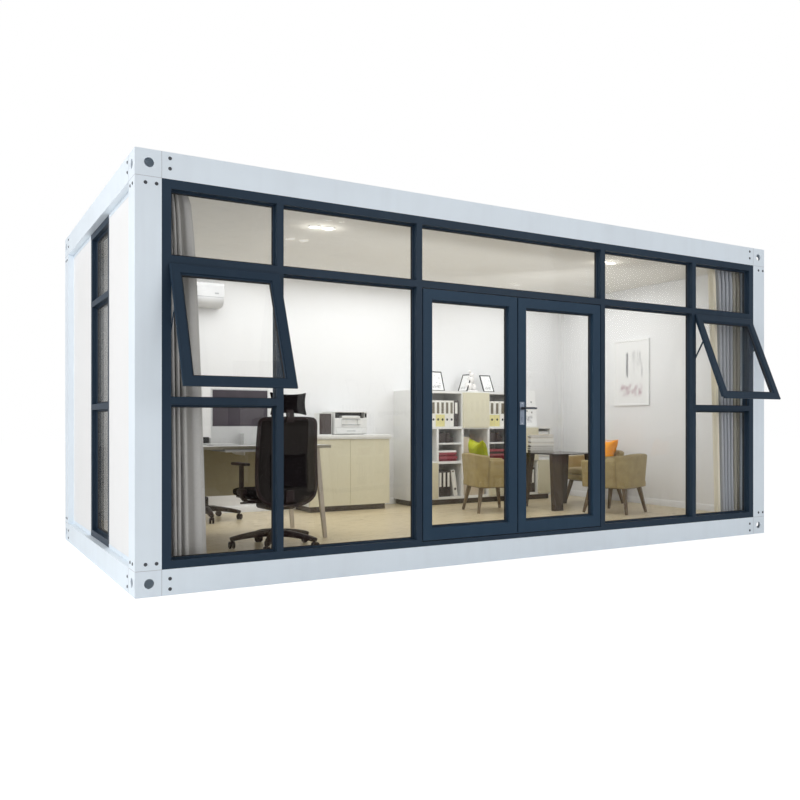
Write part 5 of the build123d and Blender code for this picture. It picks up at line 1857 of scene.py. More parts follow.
@dataclass
class Curtains:
    """Two pleated curtains on tracks behind the glazed end bays."""

    pitch: float = 0.058
    depth: float = 0.037
    top_width: tuple[float, float] = (0.60, 1.0)
    foot_width: tuple[float, float] = (1.0, 0.76)
    spread: tuple[float, float] = (0.45, 0.8)
    thick: float = 0.0014
    hem: float = 0.09
    rows: int = 30
    steps: int = 14
    seed: int = 11

    def build(self) -> None:
        """Builds both curtains."""
        for side, area, cloth in zip(("left", "right"), solids_of("curtains"), (LEFT_DRAPE, RIGHT_DRAPE)):
            self.curtain(side, area, cloth)

    def line(self, side: str, area: Span, share: float, folds: int, odds: list[float]) -> list[Vector]:
        """The curtain's line in plan at a share of its height, from 0 at the top.

        Args:
            side: left or right.
            area: the curtain's box.
            share: the share of the height.
            folds: how many folds there are.
            odds: a random value for each fold.

        Returns:
            The line's points.
        """
        points = []
        number = int(side == "right")
        across = (self.top_width[number]
                  + (self.foot_width[number] - self.top_width[number]) * share ** self.spread[number])
        width = (area.size.x - 0.012) * across
        start = area.hi.x - 0.006 - width if number else area.lo.x + 0.006
        tight = min(1.0, 0.6 + 6 * share)
        z = area.hi.z - share * area.size.z
        widths = [1.0 + 0.35 * math.sin(5.1 * odd) for odd in odds]
        lead = 0 if number else folds - 1
        widths[lead] = 1.7 if number else 2.6
        starts = [sum(widths[:k]) / sum(widths) for k in range(folds + 1)]
        for k in range(folds * self.steps + 1):
            turn = k / self.steps
            fold = min(folds - 1, int(turn))
            angle = 2 * math.pi * turn
            reach = self.depth * tight * (0.86 + 0.14 * math.sin(3.0 * share + odds[fold]))
            if fold == lead:
                reach *= 1 - 0.45 * math.sin(math.pi * (turn - fold))
            x = start + width * (starts[fold] + (starts[fold + 1] - starts[fold]) * (turn - fold))
            x += 0.0058 * tight * math.sin(2 * angle) + 0.004 * share * math.sin(odds[fold] + 2.2 * share)
            points.append(Vector((x, area.middle.y + reach * math.cos(angle), z)))
        return points

    def curtain(self, side: str, area: Span, finish: Finish) -> None:
        """Builds one curtain as a thin closed cloth with a doubled hem.

        Args:
            side: left or right.
            area: the curtain's box.
            finish: its look.
        """
        rng = random.Random(self.seed + len(side))
        folds = round(area.size.x / self.pitch)
        odds = [rng.uniform(0, 6.28) for _ in range(folds)]
        rings, cloth = [], 0.0
        before: list[Vector] = []
        for row in range(self.rows + 1):
            share = row / self.rows
            line = self.line(side, area, share, folds, odds)
            half = self.thick / 2 * (2 if area.size.z * (1 - share) < self.hem or share < 0.02 else 1)
            front, back = [], []
            for k, point in enumerate(line):
                ahead = (line[min(k + 1, len(line) - 1)] - line[max(k - 1, 0)]).normalized()
                out = Vector((ahead.y, -ahead.x, 0)) * half
                front.append(point + out)
                back.append(point - out)
            rings.append(front + back[::-1])
            for k in range(len(line) - 1):
                if before:
                    cloth += 0.5 * ((line[k + 1] - line[k]).cross(before[k] - line[k]).length
                                    + (before[k] - before[k + 1]).cross(line[k + 1] - before[k + 1]).length)
            before = line
        shape = Shape().loft(rings)
        made = shape.piece(f"{side}_curtain", CABIN, "curtain", (finish,), ("curtains",), 70)
        middle = self.line(side, area, 0.5, folds, odds)
        runs = [0.0]
        for first, second in zip(middle, middle[1:]):
            runs.append(runs[-1] + (second - first).length)
        count = len(middle)
        layer = made.data.uv_layers.new(name="cut")
        for loop in made.data.loops:
            place = loop.vertex_index % (2 * count)
            column = place if place < count else 2 * count - 1 - place
            layer.data[loop.index].uv = (runs[column], made.data.vertices[loop.vertex_index].co.z)
        seam = self.line(side, area, 1 - self.hem / area.size.z, folds, odds)
        thread = stitches(f"{side}_curtain_hem", [[p + Vector((0, -0.0024, 0)) for p in seam]], 0.007, 0.0045,
                          0.0005, PAPER)
        settle(thread, CABIN, (PAPER,))
        LOG.info("%s curtain: %.3f m wide before it was gathered, %.3f m long", side, cloth / area.size.z,
                 area.size.z)


# ---- fixed fittings ------------------------------------------------------------------------------
@dataclass
class Fittings:
    """The downlights, the air conditioner and the framed print."""

    rim: float = 0.011
    vane_pitch: float = 0.03

    def build(self) -> None:
        """Builds the fittings."""
        self.downlights()
        self.air_conditioner()
        self.wall_picture()

    def downlights(self) -> None:
        """A bezel and a lit diffuser for each lamp."""
        bezels, lights = Shape(), Shape()
        for lamp in solids_of("ceiling_lamps"):
            radius, foot = lamp.size.x / 2, (lamp.middle.x, lamp.middle.y, lamp.hi.z)
            inner, drop = radius - self.rim, -lamp.size.z
            bezels.lathe([(inner - 0.004, 0), (radius, 0), (radius, 0.45 * drop),
                          (radius - 0.004, 0.9 * drop),
                          (inner + 0.003, drop), (inner, 0.8 * drop), (inner - 0.004, 0.35 * drop)], foot,
                          "Z", 48)
            lights.lathe([(0, -0.0002), (inner - 0.001, -0.0002), (inner - 0.001, 0.3 * drop),
                          (0.6 * inner, 0.5 * drop), (0, 0.56 * drop)], foot, "Z", 48)
        bezels.piece("downlight_bezels", CABIN, "white_plastic", (WHITE_PLASTIC,), ("ceiling_lamps",))
        lights.piece("downlight_diffusers", CABIN, "lamp", (LAMP_LIGHT,))

    def air_conditioner(self) -> None:
        """A wall unit with a rounded body, a front panel, a louvre and air vanes."""
        unit = whole("air_conditioner")
        depth, tall = unit.size.y, unit.size.z

        def ring(x: float, outline: Profile, shrink: float = 0.0) -> list[Vector]:
            """The outline at one place along the unit, drawn in by a share.

            Args:
                x: the place.
                outline: pairs of depth from the back and height.
                shrink: the share.

            Returns:
                The points.
            """
            middle = Vector((x, unit.hi.y - depth / 2, unit.lo.z + tall / 2))
            return [middle + (Vector((x, unit.hi.y - a, unit.lo.z + b)) - middle) * (1 - shrink)
                    for a, b in outline]

        body = [(0, 0.02), (0, tall), (depth - 0.030, tall), (depth - 0.012, tall - 0.006),
                (depth - 0.003, tall - 0.02), (depth - 0.002, 0.086), (depth - 0.010, 0.058),
                (depth - 0.030, 0.030), (depth - 0.066, 0.008), (depth - 0.10, 0.0), (0.02, 0)]
        shape = Shape()
        ends = ((0.0, 0.05), (0.004, 0.018), (0.012, 0.0))
        spots = [(unit.lo.x + a, s) for a, s in ends] + [(unit.hi.x - a, s) for a, s in ends[::-1]]
        shape.loft([ring(x, body, s) for x, s in spots])
        panel = [(depth - 0.004, 0.094), (depth, 0.094), (depth, tall - 0.026), (depth - 0.004, tall - 0.022)]
        shape.loft([ring(x, panel) for x in (unit.lo.x + 0.006, unit.hi.x - 0.006)])
        blade = [(depth - 0.004, 0.082), (depth - 0.0005, 0.080), (depth - 0.006, 0.056),
                 (depth - 0.026, 0.027),
                 (depth - 0.060, 0.005), (depth - 0.062, 0.009), (depth - 0.030, 0.032),
                 (depth - 0.010, 0.060)]
        shape.loft([ring(x, blade) for x in (unit.lo.x + 0.03, unit.hi.x - 0.03)])
        shape.paint = 1
        shape.loft([ring(x, [(depth - 0.0035, 0.0945), (depth - 0.0015, 0.0935), (depth - 0.0025, 0.084),
                             (depth - 0.0045, 0.084)]) for x in (unit.lo.x + 0.012, unit.hi.x - 0.012)])
        shape.slab((unit.hi.x - 0.10, unit.lo.y - 0.0004, unit.lo.z + 0.12),
                   (unit.hi.x - 0.06, unit.lo.y + 0.001, unit.lo.z + 0.135), 0.0003, 1)
        shape.piece("wall_unit", CABIN, "white_plastic", (UNIT_WHITE, GREY_PLASTIC), ("air_conditioner",))
        count = int((unit.size.x - 0.08) / self.vane_pitch)
        points = [Vector((unit.lo.x + 0.045 + k * self.vane_pitch, unit.lo.y + 0.085, unit.hi.z + 0.0015))
                  for k in range(count)]
        settle(bars("wall_unit_grille", points, (0.018, 0.09, 0.003), UNIT_WHITE), CABIN,
               (UNIT_WHITE,))

    def wall_picture(self) -> None:
        """A pale frame, and a plain print set back in it."""
        old = whole("wall_picture")
        lo, hi = old.lo.copy(), old.hi.copy()
        back = hi.x
        lo.x = hi.x = old.lo.x
        face = Shape()
        face.border(lo, hi, [(0, 0), (0.004, 0.0), (0.020, -0.003), (0.022, -0.009), (0.022, -0.0195),
                             (0, -0.0195)][::-1], "-X")
        face.piece("picture_frame", CABIN, "picture", (WHITE_PLASTIC,), ("wall_picture",))
        sheet = Shape().slab((back - 0.012, lo.y + 0.021, lo.z + 0.021),
                             (back - 0.001, hi.y - 0.021, hi.z - 0.021),
                             0.0004, 1)
        lay_out(sheet.piece("picture_print", CABIN, "picture", (WALL_PRINT,)), 1, 2)


# ---- the desk ------------------------------------------------------------------------------------
@dataclass
class Desk:
    """The all-in-one computer, keyboard, mouse and small things on the desk."""

    bezel: float = 0.012
    chin: float = 0.148
    key: Point = (0.0155, 0.0150, 0.003)
    key_pitch: float = 0.0185

    def build(self) -> None:
        """Builds what stands on the desk."""
        top = whole("desk_top")
        self.z = top.hi.z
        self.trims(top)
        self.computer()
        self.keyboard(Vector((top.middle.x + 0.261, top.lo.y + 0.40, self.z)))
        self.small_things(top)

    def trims(self, top: Span) -> None:
        """The edge band, in a darker olive that is painted shade, the facing of the panel at the back and a
        tray on runners under the top.

        Args:
            top: the desk top's box.
        """
        # the band's darker olive is painted shade on the top's front edge
        band = Shape()
        band.slab((top.lo.x - 0.0015, top.lo.y - 0.0015, top.lo.z - 0.0008),
                  (top.hi.x + 0.0015, top.lo.y + 0.002, top.hi.z + 0.0008), 0.001, 2)
        for a, b in ((top.lo.x - 0.0015, top.lo.x + 0.002), (top.hi.x - 0.002, top.hi.x + 0.0015)):
            band.slab((a, top.lo.y, top.lo.z - 0.0008), (b, top.hi.y, top.hi.z + 0.0008), 0.001, 2)
        band.piece("desk_edge_band", CABIN, "dark_board", (EDGE_BAND_SHADE,))
        panel = max(solids_of("desk_frame"), key=lambda box: box.size.x)
        skin = Vector((0.001, 0.0012, 0.001))
        Shape().slab(panel.lo - skin, panel.hi + Vector((0.001, 0.0012, -0.0005)), 0.0008, 1).piece(
            "desk_panel_facing", CABIN, "beige_board", (OLIVE_BOARD,))
        tray = Shape()
        x0, x1, y0, y1, z = top.lo.x + 0.541, top.hi.x - 0.135, top.lo.y + 0.004, top.lo.y + 0.34, top.lo.z
        tray.slab((x0, y0, z - 0.020), (x1, y1, z - 0.010), 0.002, 1)
        tray.slab((x0, y0 - 0.002, z - 0.022), (x1, y0 + 0.008, z - 0.004), 0.003, 2)
        tray.paint = 1
        for a in (x0 - 0.012, x1):
            tray.slab((a, y0 + 0.02, z - 0.018), (a + 0.012, y1, z + 0.0004), 0.001, 1)
        tray.piece("desk_tray", CABIN, "white_board", (WHITE_BOARD, GREY_PLASTIC))

    def computer(self) -> None:
        """A thin white screen with a deep chin on a folded foot."""
        screen, x = solids_of("monitor"), whole("monitor").middle.x
        face = max(screen, key=lambda box: box.size.x * box.size.z)
        shape = Shape()
        shape.slab(face.lo, (face.hi.x, face.lo.y + 0.010, face.hi.z), 0.004, 3)
        shape.slab((x - 0.19, face.lo.y + 0.008, face.lo.z + 0.05), (x + 0.19, face.hi.y, face.hi.z - 0.05),
                   0.0095, 3)
        path = smooth_path([(x, face.hi.y - 0.002, face.lo.z + 0.13),
                            (x, face.hi.y + 0.016, face.lo.z + 0.10),
                            (x, face.hi.y + 0.024, face.lo.z), (x, face.hi.y + 0.012, self.z + 0.012),
                            (x, face.hi.y - 0.02, self.z + 0.0048), (x, face.lo.y - 0.10, self.z + 0.0042)])
        shape.tube(path, lambda share: rounded(0.088, 0.0036, 0.003), (1, 0, 0.001))
        shape.paint = 1
        shape.slab((face.lo.x + self.bezel, face.lo.y - 0.0006, face.lo.z + self.chin),
                   (face.hi.x - self.bezel, face.lo.y + 0.002, face.hi.z - self.bezel), 0.0005, 1)
        shape.paint = 2
        for k in range(4):
            shape.slab((x - 0.16 + 0.022 * k, face.hi.y - 0.001, face.lo.z + 0.07),
                       (x - 0.147 + 0.022 * k, face.hi.y + 0.0004, face.lo.z + 0.076), 0.0004, 1)
        shape.piece("desk_computer", CABIN, "white_plastic", (WHITE_PLASTIC, DISPLAY, GREY_PLASTIC),
                    ("monitor",))

    def keyboard(self, spot: Vector) -> None:
        """A flat keyboard with rows of keys, and a mouse.

        Args:
            spot: the middle of the keyboard's underside.
        """
        columns, rows = 15, 5
        wide, deep = columns * self.key_pitch + 0.012, rows * self.key_pitch + 0.012
        shape = Shape()
        shape.slab((spot.x - wide / 2, spot.y - deep / 2, spot.z + 0.0003),
                   (spot.x + wide / 2, spot.y + deep / 2,
                                                                           spot.z + 0.008), 0.003, 3)
        base = spot + Vector((wide / 2 + 0.09, -0.005, 0.0003))
        outline = [(0.0, 1.0), (0.3, 0.985), (0.6, 0.9), (0.82, 0.68), (0.94, 0.4), (1.0, 0.12), (0.98, 0.0)]
        rings = [[base + Vector((0.031 * r * math.cos(a), 0.055 * r * math.sin(a), 0.030 * h))
                  for a in (math.tau * k / 28 for k in range(28))]
                 for r, h in [(max(r, 0.001), h) for r, h in outline] + [(0.9, 0.0)]]
        shape.loft(rings)
        shape.piece("keyboard_and_mouse", CABIN, "white_plastic", (WHITE_PLASTIC,))
        points = [spot + Vector(((i - (columns - 1) / 2) * self.key_pitch,
                                 (j - (rows - 1) / 2) * self.key_pitch,
                                 0.0092)) for j in range(rows) for i in range(columns)]
        settle(bars("keyboard_keys", points, self.key, PAPER), CABIN, (PAPER,))

    def small_things(self, top: Span) -> None:
        """Papers, two small black things and a white box beside the computer.

        Args:
            top: the desk top's box.
        """
        z = self.z + 0.0003
        x, y = top.lo.x - 0.26, top.lo.y - 0.69
        shape = Shape()
        for a, b, wide, deep, low in ((0.780, 0.92, 0.21, 0.297, 0), (0.765, 0.93, 0.21, 0.297, 0.0058),
                                      (1.40, 0.98, 0.21, 0.297, 0)):
            shape.slab((x + a, y + b, z + low), (x + a + wide, y + b + deep, z + low + 0.0055), 0.001, 1)
        shape.paint = 1
        shape.slab((x + 0.806, y + 1.26, z), (x + 0.848, y + 1.33, z + 0.060), 0.004, 2)
        shape.slab((x + 0.958, y + 1.24, z), (x + 0.970, y + 1.31, z + 0.055), 0.003, 2)
        shape.paint = 2
        shape.slab((x + 0.854, y + 1.25, z), (x + 0.952, y + 1.34, z + 0.055), 0.006, 3)
        shape.piece("desk_small_things", CABIN, "white_plastic", (PAPER, DARK_GLOSS, WHITE_PLASTIC))


# ---- office chairs -------------------------------------------------------------------------------
@dataclass
class OfficeChair:
    """A swivel chair with a net back, built about the middle of its star."""

    number: int
    spot: tuple[float, float]
    turn: float
    star_turn: float
    high: bool = True
    radius: float = 0.317
    wheel: float = 0.027
    arm_out: float = 0.267
    lever_reach: float = 0.20

    def build(self, pads: dict[str, bpy.types.Object]) -> None:
        """Builds the chair at its place, with copies of the filled pads.

        Args:
            pads: the filled pads, by name.
        """
        self.place = on_floor(self.spot, self.turn)
        self.star = on_floor(self.spot, self.turn + self.star_turn)
        self.name = f"office_chair_{self.number}"
        self.base()
        self.upper()
        self.back()
        for part, fill in (("seat", 0.8), ("lumbar", 0.6), ("headrest", 0.7))[:3 if self.high else 2]:
            stands = ("office_chair_seats",) if part == "seat" else ()
            stand_copy(pads[part], f"{self.name}_{part}", self.place, CABIN, BLACK_CLOTH,
                       stands)

    @staticmethod
    def pads() -> dict[str, bpy.types.Object]:
        """Fills the pads once, about the chair's own middle."""
        upright = Matrix.Rotation(math.radians(87), 4, "X")
        return {
            "seat": filled("seat_pad", crowned(0.472, 0.452, 0.058, 0.006, 0.85, 14, 0.5), 0.006,
                           Matrix.Translation((0, 0.04, 0.4045)), True),
            "headrest": filled("headrest_pad", crowned(0.298, 0.172, 0.040, 0.014, 0.8, 12, 0.5), 0.006,
                               Matrix.Translation((0, -0.212, 1.056)) @ upright, False),
            "lumbar": filled("lumbar_pad", crowned(0.292, 0.250, 0.030, 0.004, 0.8, 12, 0.5), 0.005,
                             Matrix.Translation((0, -0.212, 0.572)) @ upright, False),
        }

    def base(self) -> None:
        """Five tapered arms, the gas lift and ten caster wheels."""
        shape = Shape(place=self.star)
        shape.lathe([(0, 0.060), (0.040, 0.060), (0.048, 0.068), (0.048, 0.118), (0.038, 0.134),
                     (0.03, 0.142),
                     (0.03, 0.21), (0.026, 0.216), (0, 0.216)], (0, 0, 0), "Z", 32)
        shape.lathe([(0, 0.21), (0.014, 0.21), (0.014, 0.326), (0, 0.326)], (0, 0, 0), "Z", 24)
        for k in range(5):
            way = Matrix.Rotation(math.tau * k / 5, 4, "Z")
            path = [way @ Vector(p) for p in smooth_path([(0.028, 0, 0.108), (0.13, 0, 0.103),
                                                          (0.23, 0, 0.090),
                                                          (self.radius - 0.006, 0, 0.074),
                                                          (self.radius + 0.014, 0, 0.068)])]
            shape.tube(path, lambda share: rounded(0.032 - 0.015 * share, 0.025 - 0.012 * share, 0.009))
            tip = way @ Vector((self.radius, 0, 0))
            yaw = way @ Matrix.Rotation(0.7 + 1.3 * k, 4, "Z")
            shape.lathe([(0, 0.04), (0.006, 0.04), (0.006, 0.064), (0, 0.064)], tip, "Z", 12)
            shape.place = self.star @ Matrix.Translation(tip) @ yaw
            r = self.wheel
            for side in (-1, 1):
                near, far = sorted((side * 0.005, side * 0.022))
                shape.lathe([(0, near), (r - 0.004, near), (r, near + 0.003), (r, far - 0.003),
                             (r - 0.004, far),
                             (0.012, far), (0, far - 0.002)], (0, 0.008, r + 0.0006), "X", 28)
            hood = [(0.0225 * math.cos(a),
                     0.0225 * math.sin(a)) for a in (math.pi * (0.05 + 0.09 * j) for j in range(11))]
            inner = [(0.6 * a, 0.6 * b) for a, b in hood[::-1]]
            shape.loft([[Vector((x, 0.008 + a, r + 0.003 + b)) for a, b in hood + inner] for x in (-0.0042,
                                                                                                   0.0042)])
            shape.place = self.star
        shape.piece(f"{self.name}_base", CABIN, "black_plastic", (BLACK_PLASTIC,), ("office_chair_bases",))

    def upper(self) -> None:
        """The tilt mechanism, seat pan, levers, arms and the spine."""
        shape = Shape(place=self.place)
        shape.slab((-0.110, -0.120, 0.286), (0.110, 0.120, 0.366), 0.022, 3)
        shape.slab((-0.215, -0.170, 0.362), (0.215, 0.240, 0.380), 0.008, 2)
        for side, y in ((-1, 0.05), (1, -0.01)):
            reach = self.lever_reach
            path = smooth_path([(side * 0.07, y, 0.345), (side * (reach - 0.06), y, 0.341),
                                (side * reach, y + 0.01, 0.336)])
            shape.tube(path, lambda share: oval(0.006, 0.005, 12))
            reach += 0.02
            shape.slab((side * reach - 0.032, y - 0.004, 0.328), (side * reach + 0.032, y + 0.022, 0.342),
                       0.005, 2)
            path = smooth_path([(side * 0.10, 0.0, 0.352), (side * 0.20, 0.0, 0.346),
                                (side * 0.243, 0.0, 0.360),
                                (side * self.arm_out, 0.0, 0.400), (side * (self.arm_out + 0.002), 0.0, 0.49),
                                (side * self.arm_out, 0.004, 0.615)])
            shape.tube(path, lambda share: rounded(0.036 - 0.016 * share, 0.011, 0.006), (side * 0.6, 0, 0.8))
            shape.slab((side * self.arm_out - 0.022, -0.05, 0.398),
                       (side * self.arm_out + 0.022, 0.05, 0.442), 0.012, 3)
            rings = []
            for share, size in ((0, 0.25), (0.02, 0.62), (0.07, 0.9), (0.16, 1.0), (0.5, 0.92), (0.84, 1.0),
                                (0.93, 0.9), (0.98, 0.62), (1, 0.25)):
                rings.append([Vector((side * self.arm_out + a * size, 0.25 * share - 0.100,
                                      0.621 + b * (0.5 + 0.5 * size)))
                              for a, b in rounded(0.033, 0.011, 0.009, 4)])
            shape.loft(rings)
        path = smooth_path([(0, -0.06, 0.342), (0, -0.16, 0.338), (0, -0.222, 0.352), (0, -0.236, 0.39),
                            (0, -0.236, 0.436)])
        shape.tube(path, lambda share: rounded(0.044 - 0.016 * share, 0.011, 0.007), (0, -1, 0.2))
        if self.high:
            path = smooth_path([(0, -0.238, 0.925), (0, -0.243, 0.955), (0, -0.236, 0.99), (0, -0.226, 1.03)])
            shape.tube(path, lambda share: rounded(0.030, 0.008, 0.005), (0, -1, 0.2))
        shape.piece(f"{self.name}_frame", CABIN, "black_plastic", (BLACK_PLASTIC,), ("office_chair_arms",))

    def _outline(self) -> list[Vector]:
        """The back's rim, seen from behind: widest low down, with rounded corners."""
        top = 0.950 if self.high else 0.690
        half = [(0, 0.322), (0.09, 0.327), (0.165, 0.348), (0.214, 0.387), (0.238, 0.455)]
        half += [(0.2395 - 0.016 * share, 0.455 + (top - 0.505) * share) for share in (0.33, 0.67, 1.0)]
        half += [(0.220, top - 0.022), (0.203, top - 0.002), (0.12, top + 0.002)]
        points = half + [(0, top + 0.003)] + [(-x, z) for x, z in half[:0:-1]]
        dense = []
        for k, point in enumerate(points):
            after = points[(k + 1) % len(points)]
            dense += [point, ((point[0] + after[0]) / 2, (point[1] + after[1]) / 2)]
        dense = [tuple((dense[k - 1][c] + 2 * dense[k][c] + dense[(k + 1) % len(dense)][c]) / 4 for c in (0,
                                                                                                          1))
                 for k in range(len(dense))]
        return [Vector((x, self._depth(x, z), z)) for x, z in dense]

    def _depth(self, x: float, z: float) -> float:
        """How far back the net lies at a point: it leans, and curves round the sitter."""
        return -0.226 + 0.020 * math.cos((z - 0.62) * 5.0) + 0.35 * x * x

    def back(self) -> None:
        """The rim and the net stretched in it."""
        rim = self._outline()
        shape = Shape(place=self.place)
        shape.tube(rim, lambda share: rounded(0.012, 0.010, 0.006), (0, 1, 0), True)
        frame = shape.piece(f"{self.name}_back_rim", CABIN, "black_plastic", (BLACK_PLASTIC,),
                            ("office_chair_backs",))
        levels = 26
        low, high = min(p.z for p in rim), max(p.z for p in rim)
        rings, area, half = [], 0.0, 0.0008
        for k in range(levels + 1):
            z = low + 0.004 + (high - low - 0.008) * k / levels
            wide = 0.0
            for a, b in zip(rim, rim[1:] + rim[:1]):
                if (a.z - z) * (b.z - z) <= 0 and abs(b.z - a.z) > 1e-9:
                    wide = max(wide, abs(a.x + (b.x - a.x) * (z - a.z) / (b.z - a.z)))
            line = [Vector((wide * (2 * j / 16 - 1), 0, z)) for j in range(17)]
            for p in line:
                p.y = self._depth(p.x, z)
            rings.append([p + Vector((0, half, 0)) for p in line] + [p - Vector((0, half,
                                                                                 0)) for p in line[::-1]])
            area += 2 * wide * (high - low - 0.008) / levels * (0.5 if k in (0, levels) else 1)
        net = Shape(place=self.place).loft(rings)
        made = lay_out(net.piece(f"{self.name}_back_net", CABIN, "black_fabric", (BLACK_NET,), (), 60), 0, 2)


# ---- cupboards and what they hold ----------------------------------------------------------------
@dataclass
class Printer:
    """A printer with a dark paper slot and an open tray, and a file box beside it."""

    lid: float = 0.011
    slot: float = 0.057
    box_gap: float = 0.022
    box_size: Point = (0.146, 0.13, 0.226)
    board: float = 0.014
    box_back: float = 0.03

    def build(self) -> None:
        """Builds the printer and the box."""
        old = whole("printer")
        lo, hi, x = old.lo + Vector((0, 0, self.board)), old.hi, old.middle.x
        cabinet = whole("low_cabinet")
        Shape().slab((cabinet.lo.x - 0.002, cabinet.lo.y - 0.004, cabinet.hi.z - 0.020),
                     (cabinet.hi.x + 0.002, cabinet.hi.y, cabinet.hi.z + self.board), 0.002, 2).piece(
            "low_cabinet_top", CABIN, "white_board", (WHITE_BOARD,))
        top = hi.z - self.lid
        under = top - self.slot
        left, right = lo.x + 0.010, hi.x - 0.032
        shape = Shape()
        shape.slab((lo.x, lo.y + 0.012, lo.z + 0.006), (hi.x, hi.y, under), 0.008, 3)
        shape.slab((lo.x + 0.002, lo.y + 0.085, under - 0.01), (hi.x - 0.002, hi.y - 0.002, top + 0.002),
                   0.006, 2)
        for a, b in ((lo.x + 0.001, left), (right, hi.x - 0.001)):
            shape.slab((a, lo.y + 0.014, under - 0.01), (b, lo.y + 0.11, top + 0.002), 0.006, 2)
        shape.slab((lo.x, lo.y + 0.004, top), (hi.x, hi.y, hi.z), 0.005, 3)
        shape.slab((lo.x + 0.016, lo.y + 0.004, lo.z + 0.012), (hi.x - 0.016, lo.y + 0.02, lo.z + 0.066),
                   0.004, 2)
        shape.slab((lo.x + 0.22 * old.size.x, lo.y, under - 0.006),
                   (lo.x + 0.77 * old.size.x, lo.y + 0.085, under + 0.020), 0.004, 2)
        for a in (lo.x + 0.03, hi.x - 0.03):
            for b in (0.05, 0.28):
                shape.lathe([(0, 0), (0.012, 0), (0.012, 0.008), (0, 0.008)], (a, lo.y + b, lo.z), "Z", 16)
        for a, b in ((0.20, 0.30), (0.70, 0.80)):
            shape.slab((lo.x + a * old.size.x, lo.y + 0.002, under - 0.07),
                       (lo.x + b * old.size.x, lo.y + 0.01, under - 0.01), 0.003, 1)
        shape.paint = 1
        shape.slab((left, lo.y + 0.078, under), (right, lo.y + 0.088, top), 0.001, 1)
        shape.slab((left - 0.001, lo.y + 0.02, top - 0.006), (right + 0.001, lo.y + 0.09, top + 0.001), 0.001,
                   1)
        shape.slab((right + 0.004, lo.y + 0.0125, under + 0.006), (hi.x - 0.006, lo.y + 0.0145, top - 0.008),
                   0.001, 1)
        shape.paint = 2
        shape.slab((x - 0.05, lo.y + 0.0025, lo.z + 0.036), (x + 0.05, lo.y + 0.005, lo.z + 0.042), 0.001, 1)
        shape.slab((lo.x + 0.002, lo.y + 0.0115, lo.z + 0.072), (hi.x - 0.002, lo.y + 0.0125, lo.z + 0.0735))
        # two grey strips below the paper tray: painted shadow lines under the tray
        for a, b in ((-0.075, -0.068), (-0.020, -0.014)):
            shape.slab((lo.x + 0.21 * old.size.x, lo.y + 0.001, under + a),
                       (lo.x + 0.78 * old.size.x, lo.y + 0.004, under + b), 0.001, 1)
        shape.paint = 3
        shape.slab((x - 0.095, lo.y + 0.008, under + 0.018), (x + 0.085, lo.y + 0.10, under + 0.024), 0.0008,
                   1)
        shape.piece("printer_body", CABIN, "white_plastic", (PRINTER_WHITE, DARK_GLOSS, GREY_PLASTIC, PAPER),
                    ("printer",))
        box = Shape()
        wide, deep, tall = self.box_size
        x0, y0, z0 = lo.x - self.box_gap - wide, lo.y + self.box_back, lo.z
        for a, b in ((x0, x0 + 0.005), (x0 + wide - 0.005, x0 + wide)):
            box.slab((a, y0, z0), (b, y0 + deep, z0 + tall), 0.001, 1)
        for a, b in ((0, 0.005), (tall - 0.005, tall)):
            box.slab((x0 + 0.004, y0, z0 + a), (x0 + wide - 0.004, y0 + deep, z0 + b), 0.001, 1)
        box.paint = 1
        box.slab((x0 + 0.004, y0 + 0.003, z0 + 0.004),
                 (x0 + wide - 0.004, y0 + deep - 0.002, z0 + tall - 0.004), 0.001, 1)
        box.lathe([(0, y0 + 0.0034), (0.011, y0 + 0.0034), (0.011, y0 + 0.0022), (0.008, y0 + 0.0016),
                   (0.0075, y0 + 0.003), (0, y0 + 0.003)], (x0 + wide / 2, 0, z0 + 0.05), "Y", 24)
        box.piece("file_box", CABIN, "dark_binder", (WHITE_BOARD, BROWN_BOX))


